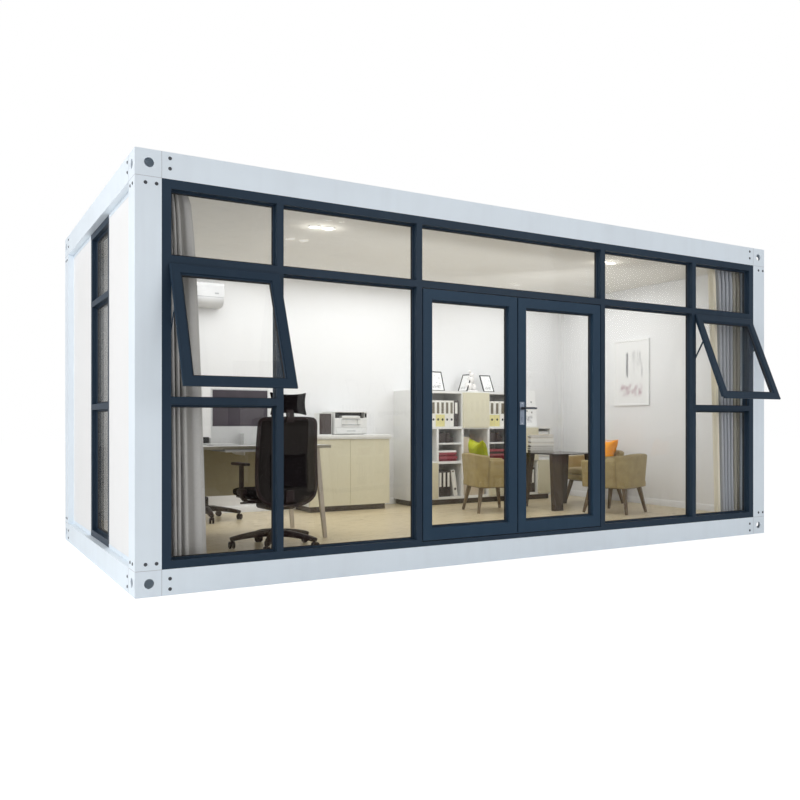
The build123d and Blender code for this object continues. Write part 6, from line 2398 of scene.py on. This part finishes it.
@dataclass
class ShelfContents:
    """Binders, books, boxes and framed prints on the shelves."""

    spine: float = 0.072
    tall: float = 0.293
    deep: float = 0.285
    set_back: float = 0.014
    seed: int = 5

    def build(self) -> None:
        """Fills the shelves, span by span."""
        self.rng = random.Random(self.seed)
        boards = solids_of("shelving_boards")
        uprights = solids_of("shelving_uprights")
        self.front = min(box.lo.y for box in boards)
        self.back = max(box.hi.y for box in boards)
        self.x = [(box.lo.x, box.hi.x) for box in uprights if box.size.z > 0.6]
        self.divider = next(box.hi.x for box in uprights if box.size.z < 0.6)
        self.tallest = max(boards, key=lambda box: box.hi.z)
        self.levels = sorted({round(box.hi.z, 4) for box in boards})
        self.binders()
        self.books()
        self.leaning_things()

    def binder(self, shape: Shape, x: float, z: float, lower: int, dark: bool = False, spine: float = 0.0,
               label: float = 0.5) -> None:
        """Adds one lever-arch binder; its spine, edges, leaves, label and finger ring.

        Args:
            shape: the shape it joins.
            x, z: its lower left corner.
            lower: the paint of the spine's lower part.
            dark: whether the cover is dark with a pale label.
            spine: its width, if it isn't the usual one.
            label: how far down the label reaches, as a share of the height.
        """
        wide, tall, y = spine or self.spine, self.tall, self.front + self.set_back + self.rng.uniform(0,
                                                                                                      0.006)
        cover, mark = (2, 0) if dark else (0, 3)
        split = z + tall * (1 - label) - 0.012
        shape.paint = cover
        shape.slab((x, y, split), (x + wide, y + 0.004, z + tall), 0.0015, 1)
        for a in (x, x + wide - 0.003):
            shape.slab((a, y + 0.002, z), (a + 0.003, y + self.deep, z + tall), 0.0006, 1)
        shape.paint = lower
        shape.slab((x, y, z), (x + wide, y + 0.004, split), 0.0015, 1)
        shape.paint = 5
        shape.slab((x + 0.004, y + 0.006, z + 0.004),
                   (x + wide - 0.004, y + self.deep - 0.01, z + tall - 0.012))
        shape.paint = mark
        inset = 0.24 * wide
        shape.slab((x + inset, y - 0.0008, split + 0.012), (x + wide - inset, y + 0.001, z + tall - 0.022),
                   0.0004, 1)
        shape.paint = 4
        ring = [(0, y + 0.001), (0.0125, y + 0.001), (0.0135, y - 0.0006), (0.0125, y - 0.0012),
                (0, y - 0.0003)]
        shape.lathe(ring, (x + wide / 2, 0, z + 0.27 * tall), "Y", 24)

    def binders(self) -> None:
        """The rows of binders, one of them leaning."""
        shape = Shape()
        low, upper = self.levels[0], self.levels[-2]
        x = self.x[1][0] - 0.030 - 0.062
        self.binder(shape, x, upper, 2, True, 0.062)
        for lower in (0, 0, 1, 1, 0, 0, 1, 0):
            x -= 0.0605
            self.binder(shape, x, upper, lower, False, 0.0595)
        x = self.x[2][1] + 0.012
        for lower in (1, 1, 0, 0):
            self.binder(shape, x, upper, lower)
            x += self.spine + 0.003
        x = self.divider + 0.004
        for _ in range(3):
            self.binder(shape, x, low, 2, True, 0.054, 0.62)
            x += 0.055
        angle = 0.15
        shape.place = (Matrix.Translation((x + self.tall * math.sin(angle) + 0.002, 0, low + 0.0006))
                       @ Matrix.Rotation(-angle, 4, "Y"))
        self.binder(shape, 0.0, 0.0, 0, False, 0.052, 0.01)
        shape.place = Matrix()
        x = self.x[3][1] + 0.14
        for k in range(3):
            self.binder(shape, x + 0.055 * k, low, 2, k != 1, 0.054, 0.62)
        shape.piece("binders", CABIN, "binder_board",
                    (BINDER_WHITE, BINDER_YELLOW, BINDER_DARK, LABEL, RUBBER, LEAVES))

    def pile(self, shape: Shape, x: tuple[float, float], z: float, count: int, paints: Sequence[int],
             thick: tuple[float, float], deep: float = 0.22) -> float:
        """Adds a pile of books that lie flat, and returns its top.

        Args:
            shape: the shape it joins.
            x: the span it lies in.
            z: the shelf.
            count: how many there are.
            paints: the covers' paints, in turn.
            thick: the least and the greatest thickness.
            deep: how far they reach in.

        Returns:
            The height of the top.
        """
        for k in range(count):
            rise = self.rng.uniform(*thick)
            left, right = x[0] + self.rng.uniform(0, 0.012), x[1] - self.rng.uniform(0, 0.022)
            y = self.front + 0.02 + self.rng.uniform(0, 0.012)
            shape.paint = paints[k % len(paints)]
            for low, high in ((z, z + 0.0022), (z + rise - 0.0022, z + rise)):
                shape.slab((left, y, low), (right, y + deep, high), 0.0008, 1)
            shape.slab((left, y, z), (right, y + 0.003, z + rise), 0.0012, 1)
            shape.paint = 2
            shape.slab((left + 0.004, y + 0.002, z + 0.002),
                       (right - 0.004, y + deep - 0.004, z + rise - 0.002))
            z += rise + 0.0003
        return z

    def books(self) -> None:
        """Piles of books and magazines, boxes and dark things on the other shelves."""
        shape = Shape()
        low, middle, split = self.levels[:3]
        for start, paints in ((self.divider + 0.012, (0, 1, 0, 1, 4)),
                              (self.x[2][1] + 0.012, (0, 0, 1, 3, 1))):
            self.pile(shape, (start, start + 0.26), middle, 5, paints, (0.020, 0.029))
            x = start - 0.004
            for k, wide in enumerate((0.034, 0.046, 0.030, 0.040)):
                shape.paint = 3 if k % 2 else 5
                y = self.front + 0.03 + 0.01 * (k % 3)
                shape.slab((x, y, split), (x + wide, y + 0.19, split + 0.118 - 0.01 * (k % 2)), 0.002, 2)
                x += wide + 0.002
            shape.paint = 3
            shape.slab((x + 0.03, self.front + 0.12, split), (x + 0.11, self.front + 0.26, split + 0.062),
                       0.006, 2)
        left, right = self.x[4][1] + 0.004, self.x[5][0] - 0.004
        self.pile(shape, (left, right), middle, 16, (4, 2, 4, 3, 4, 2, 4, 4), (0.012, 0.028), 0.24)
        x = self.x[1][1]
        for paint, (a, b, c), (d, e, f) in (
                (6, (0.012, 0.04, middle), (0.110, 0.30, middle + 0.27)),
                (5, (0.118, 0.12, middle), (0.310, 0.30, middle + 0.17)),
                (6, (0.02, 0.03, low), (0.31, 0.30, low + 0.13)),
                (5, (0.014, 0.024, low + 0.126), (0.316, 0.306, low + 0.16))):
            shape.paint = paint
            shape.slab((x + a, self.front + b, c), (x + d, self.front + e, f), 0.003, 2)
        shape.piece("books_and_boxes", CABIN, "book_cloth",
                    (RED_COVER, PINK_COVER, LEAVES, BINDER_DARK, PAPER, BROWN_BOX, CREAM_BOX))

    def framed(self, name: str, foot: Point, wide: float, tall: float, lean: float, yaw: float) -> None:
        """Adds a thin black frame with a plain print, leaning back on its strut.

        Args:
            name: the pieces' name.
            foot: the middle of its lower edge.
            wide, tall: its size.
            lean: how far it leans back, in degrees.
            yaw: how far it is turned about the vertical, in degrees.
        """
        place = (Matrix.Translation(foot) @ Matrix.Rotation(math.radians(yaw), 4, "Z")
                 @ Matrix.Rotation(math.radians(-lean), 4, "X"))
        shape = Shape(place=place)
        profile = [(0, 0), (0.0100, 0), (0.0110, -0.002), (0.0110, -0.012), (0, -0.012)][::-1]
        shape.border(Vector((-wide / 2, 0, 0)), Vector((wide / 2, 0, tall)), profile, "-Y")
        shape.slab((-wide / 2 + 0.007, 0.006, 0.007), (wide / 2 - 0.007, 0.010, tall - 0.007))
        reach = tall * 0.72
        shape.tube([(0, 0.011, reach), (0, 0.011 + reach * math.tan(math.radians(lean)) * 0.9,
                                        0.02 + 0.3 * lean * 0.001)],
                   lambda share: rounded(0.018, 0.0014, 0.001), (0, -1, 0.1))
        shape.piece(f"{name}_frame", CABIN, "black_plastic", (DARK_GLOSS,))
        sheet = Shape().slab((-wide / 2 + 0.0074, 0.0035, 0.0074), (wide / 2 - 0.0074, 0.0062, tall - 0.0074))
        made = lay_out(sheet.piece(f"{name}_print", CABIN, "picture", (SMALL_PRINT,)), 0, 2)
        made.data.transform(place)

    def leaning_things(self) -> None:
        """Three framed prints and a figure on the tall part, and a large print on the low part."""
        z = self.tallest.hi.z + 0.0012
        y = self.front + 0.09
        self.framed("first_print", (self.x[1][0] - 0.264, y, z), 0.205, 0.235, 18, 3)
        self.framed("second_print", (self.x[1][1] + 0.070, y + 0.04, z), 0.13, 0.225, 26, -70)
        self.framed("third_print", (self.x[2][1] + 0.054, y - 0.01, z), 0.145, 0.225, 27, -4)
        shape = Shape()
        x, depth = self.x[1][1] + 0.182, self.front + 0.12
        shape.slab((x - 0.075, depth - 0.045, z), (x + 0.085, depth + 0.045, z + 0.018), 0.006, 2)
        for a, b, size, high in ((-0.035, 0, 0.048, 0.018), (0.040, 0.004, 0.040, 0.018),
                                 (0.0, 0.0, 0.044, 0.092),
                                 (0.012, -0.004, 0.032, 0.160), (-0.008, 0.002, 0.021, 0.212)):
            ring = [(size * math.sin(math.pi * k / 10) * (1 + 0.12 * math.cos(2.2 * math.pi * k / 10)),
                     size * 0.98 * (1 - math.cos(math.pi * k / 10))) for k in range(11)]
            shape.lathe(ring, (x + a, depth + b, z + high - 0.002), "Z", 28)
        shape.piece("shelf_figure", CABIN, "white_plastic", (FIGURE_WHITE,))
        low = max(box.hi.z for box in solids_of("shelving_boards")
                  if box.hi.x > self.tallest.hi.x + 0.1) + 0.0012
        place = (Matrix.Translation((self.x[3][1] + 0.257, self.front + 0.12, low))
                 @ Matrix.Rotation(math.radians(-5), 4, "X"))
        sheet = Shape().slab((-0.165, 0, 0), (0.165, 0.006, 0.43), 0.001, 1)
        made = lay_out(sheet.piece("large_print", CABIN, "picture", (LARGE_PRINT,)), 0, 2)
        made.data.transform(place)
        stand = Shape(place=place).slab((-0.02, 0.006, 0.004), (0.02, 0.03, 0.34), 0.004, 1)
        stand.slab((-0.06, -0.014, 0.0), (0.06, 0.05, 0.008), 0.002, 1)
        stand.piece("large_print_stand", CABIN, "white_plastic", (WHITE_PLASTIC,))


# ---- the meeting corner --------------------------------------------------------------------------
@dataclass
class TubChair:
    """An upholstered tub chair: a high back, two lower arms, a seat pad and splayed legs."""

    number: int
    spot: tuple[float, float]
    turn: float
    wide: float = 0.552
    deep: float = 0.510
    low: float = 0.262
    arm: tuple[float, float] = (0.546, 0.530)
    top: tuple[float, float] = (0.606, 0.570)
    wall: float = 0.046
    flare: float = 0.0135
    corner: float = 0.112
    wrap: float = 0.118

    def build(self, seat: bpy.types.Object) -> None:
        """Builds the chair, with a copy of the filled seat pad.

        Args:
            seat: the filled seat pad.
        """
        self.place = on_floor(self.spot, self.turn)
        self.name = f"tub_chair_{self.number}"
        self.shell()
        self.legs()
        stand_copy(seat, f"{self.name}_seat", self.place, CABIN, TUB_HIDE,
                   ("tub_chair_seats",))

    def panel(self, shape: Shape, line: Sequence[Point], outward: Sequence[Point],
              top: Callable[[float], float]) -> list[list[Vector]]:
        """Adds an upholstered panel that follows a line in plan and flares out towards its top.

        Args:
            shape: the shape it joins.
            line: the middle of the wall, from end to end.
            outward: the outward direction at each point.
            top: the upper edge at each share of the line.

        Returns:
            The rings, each from the inner lower edge round to the outer one.
        """
        rings = []
        last = len(line) - 1
        for k, (point, out) in enumerate(zip(line, outward)):
            size = (0.42, 0.8, 0.96, 1.0)[min(k, last - k, 3)]
            high = top(k / last)
            middle, half = (high + self.low) / 2, (high - self.low) / 2
            rings.append([Vector(point) + Vector(out) * (a + self.flare * b / half) + Vector((0, 0,
                                                                                              middle + b))
                          for a, b in rounded(self.wall / 2 * size, half - 0.006 * (1 - size), 0.019 * size,
                                              4)])
        shape.loft(rings)
        return rings

    def around(self) -> tuple[list[Point], list[Point]]:
        """The middle line of the back, from one seam round both corners to the other, and its directions."""
        x, y = self.wide / 2 - self.wall / 2 - self.flare, -self.deep / 2 + self.wall / 2 + self.flare
        seam, r = -self.deep / 2 + self.wrap, self.corner - self.wall / 2
        line, outward = [], []
        for share in (0, 0.08, 0.25, 0.6):
            line.append((-x, seam + (y + r - seam) * share, 0))
            outward.append((-1, 0, 0))
        for side, start in ((-1, math.pi), (1, 1.5 * math.pi)):
            for k in range(9):
                a = start + math.pi / 2 * k / 8
                line.append((side * (x - r) + r * math.cos(a), y + r + r * math.sin(a), 0))
                outward.append((math.cos(a), math.sin(a), 0))
            if side < 0:
                for k in range(1, 8):
                    line.append(((x - r) * (k / 4 - 1), y - 0.006 * math.sin(math.pi * k / 8), 0))
                    outward.append((0, -1, 0))
        for share in (0.6, 0.25, 0.08, 0):
            line.append((x, seam + (y + r - seam) * share, 0))
            outward.append((1, 0, 0))
        return line, outward

    def shell(self) -> None:
        """The back, the arms, the seat rail, and piping along the seams."""
        shape, pipes = Shape(place=self.place), Shape(place=self.place)

        def pipe(_: float) -> Profile:
            """The round section of the piping, the same all along it."""
            return oval(0.003, 0.003, 8)

        half, seam = self.wide / 2, -self.deep / 2 + self.wrap
        line, outward = self.around()
        rings = self.panel(shape, line, outward,
                           lambda s: self.top[0] - (self.top[0] - self.top[1]) * abs(2 * s - 1) ** 1.4)
        edge = [ring[self._top(ring)] for ring in rings[1:-1]]
        pipes.tube(edge, pipe)
        spots = [0, 0.012, 0.03, 0.06] + [0.12 + 0.11 * k for k in range(8)] + [0.94, 0.97, 0.988, 1]
        for side in (-1, 1):
            x = side * (half - self.wall / 2 - self.flare)
            start, end = seam + 0.0015, self.deep / 2
            arms = self.panel(shape, [(x, start + (end - start) * share, 0) for share in spots],
                              [(side, 0, 0)] * len(spots),
                              lambda s: self.arm[0] - (self.arm[0] - self.arm[1]) * s)
            pipes.tube([ring[self._top(ring)] for ring in arms[1:-1]], pipe)
            outer = sorted((p for p in arms[2] if p.x * side > side * x), key=lambda p: p.z)
            pipes.tube(self._even([Vector((p.x + side * 0.0015, start - 0.001, p.z)) for p in outer]), pipe,
                       (0, 1, 0.01))
        shape.slab((-half + self.wall, seam - 0.08, self.low + 0.002),
                   (half - self.wall, self.deep / 2 - 0.012, 0.324),
                   0.012, 3)
        shape.piece(f"{self.name}_shell", CABIN, "tub_leather", (TUB_HIDE,), ("tub_chair_shells",), 50)
        pipes.piece(f"{self.name}_piping", CABIN, "tub_leather", (PIPING,))
        rows = [[self.place @ ring[self._top(ring, 0.0117)] for ring in rings[3:-3]]]
        settle(stitches(f"{self.name}_stitching", rows, 0.007, 0.0045, 0.0007, PIPING), CABIN,
               (PIPING,))

    @staticmethod
    def _top(ring: Sequence[Vector], drop: float = 0.0) -> int:
        """The number of the outer point of a ring that lies a drop below its top.

        Args:
            ring: the ring's points.
            drop: how far below the top.

        Returns:
            The point's number.
        """
        level = max(p.z for p in ring) - drop
        near = [k for k, p in enumerate(ring) if abs(p.z - level) < 0.0012]
        return max(near, key=lambda k: (ring[k] - Vector((0, 0.1, ring[k].z))).length)

    @staticmethod
    def _even(points: Sequence[Vector]) -> list[Vector]:
        """Drops points that lie closer than a few millimetres to the one before.

        Args:
            points: the points in order.

        Returns:
            Those that are kept.
        """
        kept = [points[0]]
        for point in points[1:]:
            if (point - kept[-1]).length > 0.004:
                kept.append(point)
        return kept

    def legs(self) -> None:
        """Four tapered legs that splay outwards, under a frame."""
        shape = Shape(place=self.place)
        depth, height = 0.1725, self.low + 0.004
        for b, head_x, foot_x in ((-1, 0.155, 0.207), (1, 0.210, 0.262)):
            for a in (-1, 1):
                head, foot = Vector((a * head_x, b * depth, height)), Vector((a * foot_x, b * (depth + 0.052),
                                                                              0.0006))
                shape.tube([head, head.lerp(foot, 0.5), foot],
                           lambda share: rounded(0.020 - 0.008 * share, 0.020 - 0.008 * share, 0.004),
                           (1, 0, 0))
            shape.slab((-head_x, b * depth - 0.011, self.low - 0.011), (head_x, b * depth + 0.011, height),
                       0.002, 1)
        for a in (-1, 1):
            shape.slab((a * 0.150 - 0.011, -depth, self.low - 0.012), (a * 0.150 + 0.011, depth, height),
                       0.002, 1)
        shape.piece(f"{self.name}_legs", CABIN, "tub_leg", (TUB_WOOD,), ("tub_chair_legs",))


@dataclass
class MeetingCorner:
    """The tub chairs and their cushions, and the glass table's pads."""

    chairs: tuple[tuple[float, float, float], ...] = ((3.977, 1.717, -102.2), (5.029, 0.976, 17),
                                                      (5.522, 1.800, 85))
    cushions: tuple[float, float] = (0.34, 0.37)
    pad_inset: tuple[float, float] = (0.065, 0.105)

    def build(self) -> None:
        """Builds the chairs, cushions and the small pads under the glass."""
        seat = filled("tub_pad", crowned(0.438, 0.442, 0.074, 0.003, 0.85, 16, 0.55), 0.008,
                      Matrix.Translation((0, 0.026, 0.3645)), True)
        chairs = [TubChair(k + 1, from_corner(x, y), turn) for k, (x, y, turn) in enumerate(self.chairs)]
        for chair in chairs:
            chair.build(seat)
        for name, number, side, finish, slot, spot, lean, spin in (
                ("lime_cushion", 0, self.cushions[0], GREEN_CLOTH, "cushion_green", (-0.015, -0.090, 0.412),
                 12, 2),
                ("orange_cushion", 2, self.cushions[1], ORANGE_CLOTH, "cushion_orange",
                 (-0.055, -0.03, 0.388), 14, -6)):
            shape = crowned(side, side, 0.115, 0.030, 0.45, 16, 0.12)
            pad = filled(name + "_pad", shape, 0.014, Matrix(), False)
            stand = (chairs[number].place @ Matrix.Translation(spot) @ Matrix.Rotation(math.radians(lean), 4,
                                                                                       "X")
                     @ Matrix.Translation((0, 0, side / 2)) @ Matrix.Rotation(math.radians(spin), 4, "Y")
                     @ Matrix.Rotation(math.pi / 2, 4, "X"))
            stand_copy(pad, name, stand, CABIN, finish)
            self.welt(name, stand, side, slot, finish)
        self.table()

    def welt(self, name: str, place: Matrix, wide: float, slot: str, finish: Finish) -> None:
        """Adds the sewn edge round a cushion.

        Args:
            name: the cushion's name.
            place: where the cushion is.
            wide: the cushion's width.
            slot: the material slot.
            finish: its look.
        """
        half, waist = wide / 2 + 0.001, 0.030
        path = []
        for side in range(4):
            turn = Matrix.Rotation(-math.pi / 2 * side, 4, "Z")
            for k in range(12):
                t = math.sin((2 * k / 12 - 1) * math.pi / 2)
                path.append(turn @ Vector((-(half - waist * (1 - t * t)), t * half, 0)))
        shape = Shape(place=place)
        shape.tube(path, lambda share: oval(0.0034, 0.0034, 8), (0, 0, 1), True)
        shape.piece(f"{name}_welt", CABIN, slot, (finish,))

    def table(self) -> None:
        """The glass table's dark ground edge, the pads under the glass and a pile of magazines."""
        node = bpy.data.objects["meeting_table_top"]
        corners = [node.matrix_world @ vertex.co for vertex in node.data.vertices]
        first, second = min(corners, key=lambda p: p.y), max(corners, key=lambda p: p.x)
        low, high = (f(p.z for p in corners) for f in (min, max))
        side = Vector((second.x - first.x, second.y - first.y, 0))
        deep = max(Vector((p.x - second.x, p.y - second.y,
                           0)).length for p in corners if abs(p.x - second.x) > 0.001
                   and (Vector((p.x - second.x, p.y - second.y, 0))).dot(side) > -0.001 * side.length)
        wide = side.length
        place = Matrix.Translation((first.x, first.y, 0)) @ Matrix.Rotation(math.atan2(side.y, side.x), 4,
                                                                            "Z")
        edge = Shape(place=place)
        for a, b, c, d in ((-0.001, -0.001, wide + 0.001, 0.001),
                           (-0.001, deep - 0.001, wide + 0.001, deep + 0.001),
                           (-0.001, 0, 0.001, deep), (wide - 0.001, 0, wide + 0.001, deep)):
            edge.slab((a, b, low + 0.0008), (c, d, high - 0.0008), 0.0006, 1)
        edge.piece("meeting_table_edge", CABIN, "table_glass", (GLASS_EDGE,))
        inset_x, inset_y = self.pad_inset
        points = [place @ Vector((x + a, y, low)) for x in (inset_x, wide - inset_x) for y in (inset_y,
                                                                                               deep - inset_y)
                  for a in (-0.03, 0.03)]
        settle(studs("table_pads", points, [Vector((0, 0, -1))] * len(points), 0.009, 0.0015, GREY_PLASTIC,
                     20),
               CABIN, (GREY_PLASTIC,))
        turned = place @ Matrix.Translation((0.185, 0.44, 0)) @ Matrix.Rotation(math.radians(-35), 4, "Z")
        rng, pile, z = random.Random(3), Shape(place=turned), high + 0.0003
        while z < high + 0.190:
            rise, x, y = rng.uniform(0.006, 0.014), rng.uniform(-0.129, -0.121), rng.uniform(-0.105, -0.095)
            pile.paint = rng.choice((0, 0, 1, 2))
            for a, b in ((z, z + 0.0012), (z + rise - 0.0012, z + rise)):
                pile.slab((x, y, a), (x + 0.25, y + 0.20, b), 0.0004, 1)
            pile.slab((x, y, z), (x + 0.0012, y + 0.20, z + rise), 0.0004, 1)
            pile.paint = 3
            pile.slab((x + 0.001, y + 0.001, z + 0.001), (x + 0.248, y + 0.198, z + rise - 0.001))
            z += rise + 0.0003
        pile.piece("magazines", CABIN, "book_cloth", (PAPER, CREAM_BOX, BINDER_DARK, LEAVES))


# ---- stage ---------------------------------------------------------------------------------------
@dataclass
class Stage:
    """The floor, the sky, the lamps and the camera."""

    eye: Point = (-4.126, -6.686, 1.0907)
    heading: float = 29.97
    lens: float = 36.69
    rise: float = 0.0283
    sky: float = 0.5
    floor_light: float = 0.55
    cool: Colour = (0.955, 0.98, 1.0)
    under_ceiling: tuple[tuple[str, float, float], ...] = (
        ("room_left", -1.7, 17.5), ("room_middle", 0.0, 16), ("room_right", 1.9, 10))
    floor_size: float = 90.0

    def build(self) -> None:
        """Builds the stage."""
        self.floor()
        self.world()
        self.lamps()
        self.camera()

    def _seen(self, tree: bpy.types.NodeTree) -> bpy.types.NodeSocket:
        """1 for rays that come from the camera or through glass, and 0 for all others.

        Args:
            tree: the nodes it is added to.

        Returns:
            The value.
        """
        rays = tree.nodes.new("ShaderNodeLightPath")
        node = tree.nodes.new("ShaderNodeMath")
        node.operation = "MAXIMUM"
        tree.links.new(rays.outputs["Is Camera Ray"], node.inputs[0])
        tree.links.new(rays.outputs["Is Transmission Ray"], node.inputs[1])
        return node.outputs[0]

    def floor(self) -> None:
        """A wide pale floor that keeps the cabin's shadow."""
        half = self.floor_size / 2
        mesh = bpy.data.meshes.new("floor")
        mesh.from_pydata([(-half, -half, -0.002), (half, -half, -0.002), (half, half, -0.002),
                          (-half, half, -0.002)],
                         [], [(0, 1, 2, 3)])
        made = show("floor", mesh)
        material = bpy.data.materials.new("pale_floor")
        material.use_nodes = True
        tree = material.node_tree
        tree.nodes.clear()
        output = tree.nodes.new("ShaderNodeOutputMaterial")
        cloth = tree.nodes.new("ShaderNodeBsdfDiffuse")
        cloth.inputs["Color"].default_value = (0.92, 0.92, 0.92, 1)
        light = tree.nodes.new("ShaderNodeEmission")
        light.inputs["Color"].default_value = (1, 1, 1, 1)
        share = tree.nodes.new("ShaderNodeMath")
        share.operation = "MULTIPLY"
        tree.links.new(self._seen(tree), share.inputs[0])
        share.inputs[1].default_value = self.floor_light
        tree.links.new(share.outputs[0], light.inputs["Strength"])
        both = tree.nodes.new("ShaderNodeAddShader")
        tree.links.new(cloth.outputs[0], both.inputs[0])
        tree.links.new(light.outputs[0], both.inputs[1])
        tree.links.new(both.outputs[0], output.inputs[0])
        mesh.materials.append(material)

    def world(self) -> None:
        """A white background, and a softer even light."""
        world = bpy.data.worlds.new("studio")
        bpy.context.scene.world = world
        world.use_nodes = True
        tree = world.node_tree
        tree.nodes.clear()
        output = tree.nodes.new("ShaderNodeOutputWorld")
        light = tree.nodes.new("ShaderNodeBackground")
        light.inputs["Color"].default_value = (1.0, 1.0, 1.0, 1)
        light.inputs["Strength"].default_value = self.sky
        shown = tree.nodes.new("ShaderNodeBackground")
        shown.inputs["Color"].default_value = (1, 1, 1, 1)
        shown.inputs["Strength"].default_value = 1.0
        mix = tree.nodes.new("ShaderNodeMixShader")
        tree.links.new(self._seen(tree), mix.inputs[0])
        tree.links.new(light.outputs[0], mix.inputs[1])
        tree.links.new(shown.outputs[0], mix.inputs[2])
        tree.links.new(mix.outputs[0], output.inputs[0])

    def lamp(self, name: str, place: Point, aim: Point, size: tuple[float, float], power: float,
             colour: Colour = (1, 1, 1)) -> None:
        """Adds one soft lamp.

        Args:
            name: its name.
            place, aim: where it is and what it points at.
            size: its width and height.
            power: its power in watts.
            colour: its colour.
        """
        data = bpy.data.lights.new(name, "AREA")
        data.shape = "RECTANGLE"
        data.size, data.size_y = size
        data.energy = power
        data.color = colour
        made = show(name, data)
        made.location = place
        made.rotation_euler = (Vector(aim) - Vector(place)).to_track_quat("-Z", "Y").to_euler()

    def lamps(self) -> None:
        """A soft key from the front left, and the room's own light under the ceiling."""
        self.lamp("key", (-11.0, -3.0, 5.0), (0, 0, 1.2), (6, 5), 530)
        self.lamp("fill", (4.0, -10.0, 4.0), (0, 0, 1.2), (6, 4), 150, (0.95, 0.97, 1.0))
        room = whole("ceiling")
        names = []
        for name, x, power in self.under_ceiling:
            self.lamp(name, (x, 0.35, room.lo.z - 0.05), (x, 0.35, 0), (1.5, 1.5), power, self.cool)
            names.append(name)
        self.lamp("rear_wash", (0.2, -1.0, 1.95), (0.1, 1.37, 1.75), (3.0, 0.4), 8.5, self.cool)
        self.lamp("right_wash", (1.3, -0.5, 1.95), (2.7, 0.7, 1.70), (1.2, 0.5), 6, self.cool)
        names += ["rear_wash", "right_wash"]
        for k, spot in enumerate(solids_of("ceiling_lamps")):
            name = f"lamp_glow_{k}"
            self.lamp(name, (spot.middle.x, spot.middle.y, room.lo.z - 0.10),
                      (spot.middle.x, spot.middle.y, 3), (0.12, 0.12),
                      0.12, (1.0, 0.97, 0.90))
            names.append(name)
        for name in names:
            made = bpy.data.objects[name]
            made.visible_camera = made.visible_glossy = made.visible_transmission = False

    def camera(self) -> None:
        """A level camera outside the front left corner."""
        data = bpy.data.cameras.new("camera")
        data.sensor_width = 36.0
        data.lens = self.lens
        data.shift_y = self.rise
        data.clip_end = 200
        made = show("camera", data)
        made.location = self.eye
        made.rotation_euler = Euler((math.pi / 2, 0, -math.radians(self.heading)))
        scene = bpy.context.scene
        scene.camera = made
        scene.view_settings.view_transform = "Standard"


OFFICE_CHAIRS = (OfficeChair(1, from_corner(1.115, 0.487), 4, 18),
                 OfficeChair(2, from_corner(1.160, 2.420), 180, -132, False))


def main() -> None:
    """Builds the pieces in order, from the shell to the stage."""
    logging.basicConfig(level=logging.INFO, format="%(name)s: %(message)s")
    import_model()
    dress_carried()
    for group in (Shell(), Glazing(), DoorFurniture(), Curtains(), Fittings(), Desk(), Printer(),
                  ShelfContents(),
                  MeetingCorner(), Stage()):
        LOG.info("building %s", type(group).__name__)
        group.build()
    pads = OfficeChair.pads()
    for chair in OFFICE_CHAIRS:
        chair.build(pads)


if __name__ == "__main__":
    main()
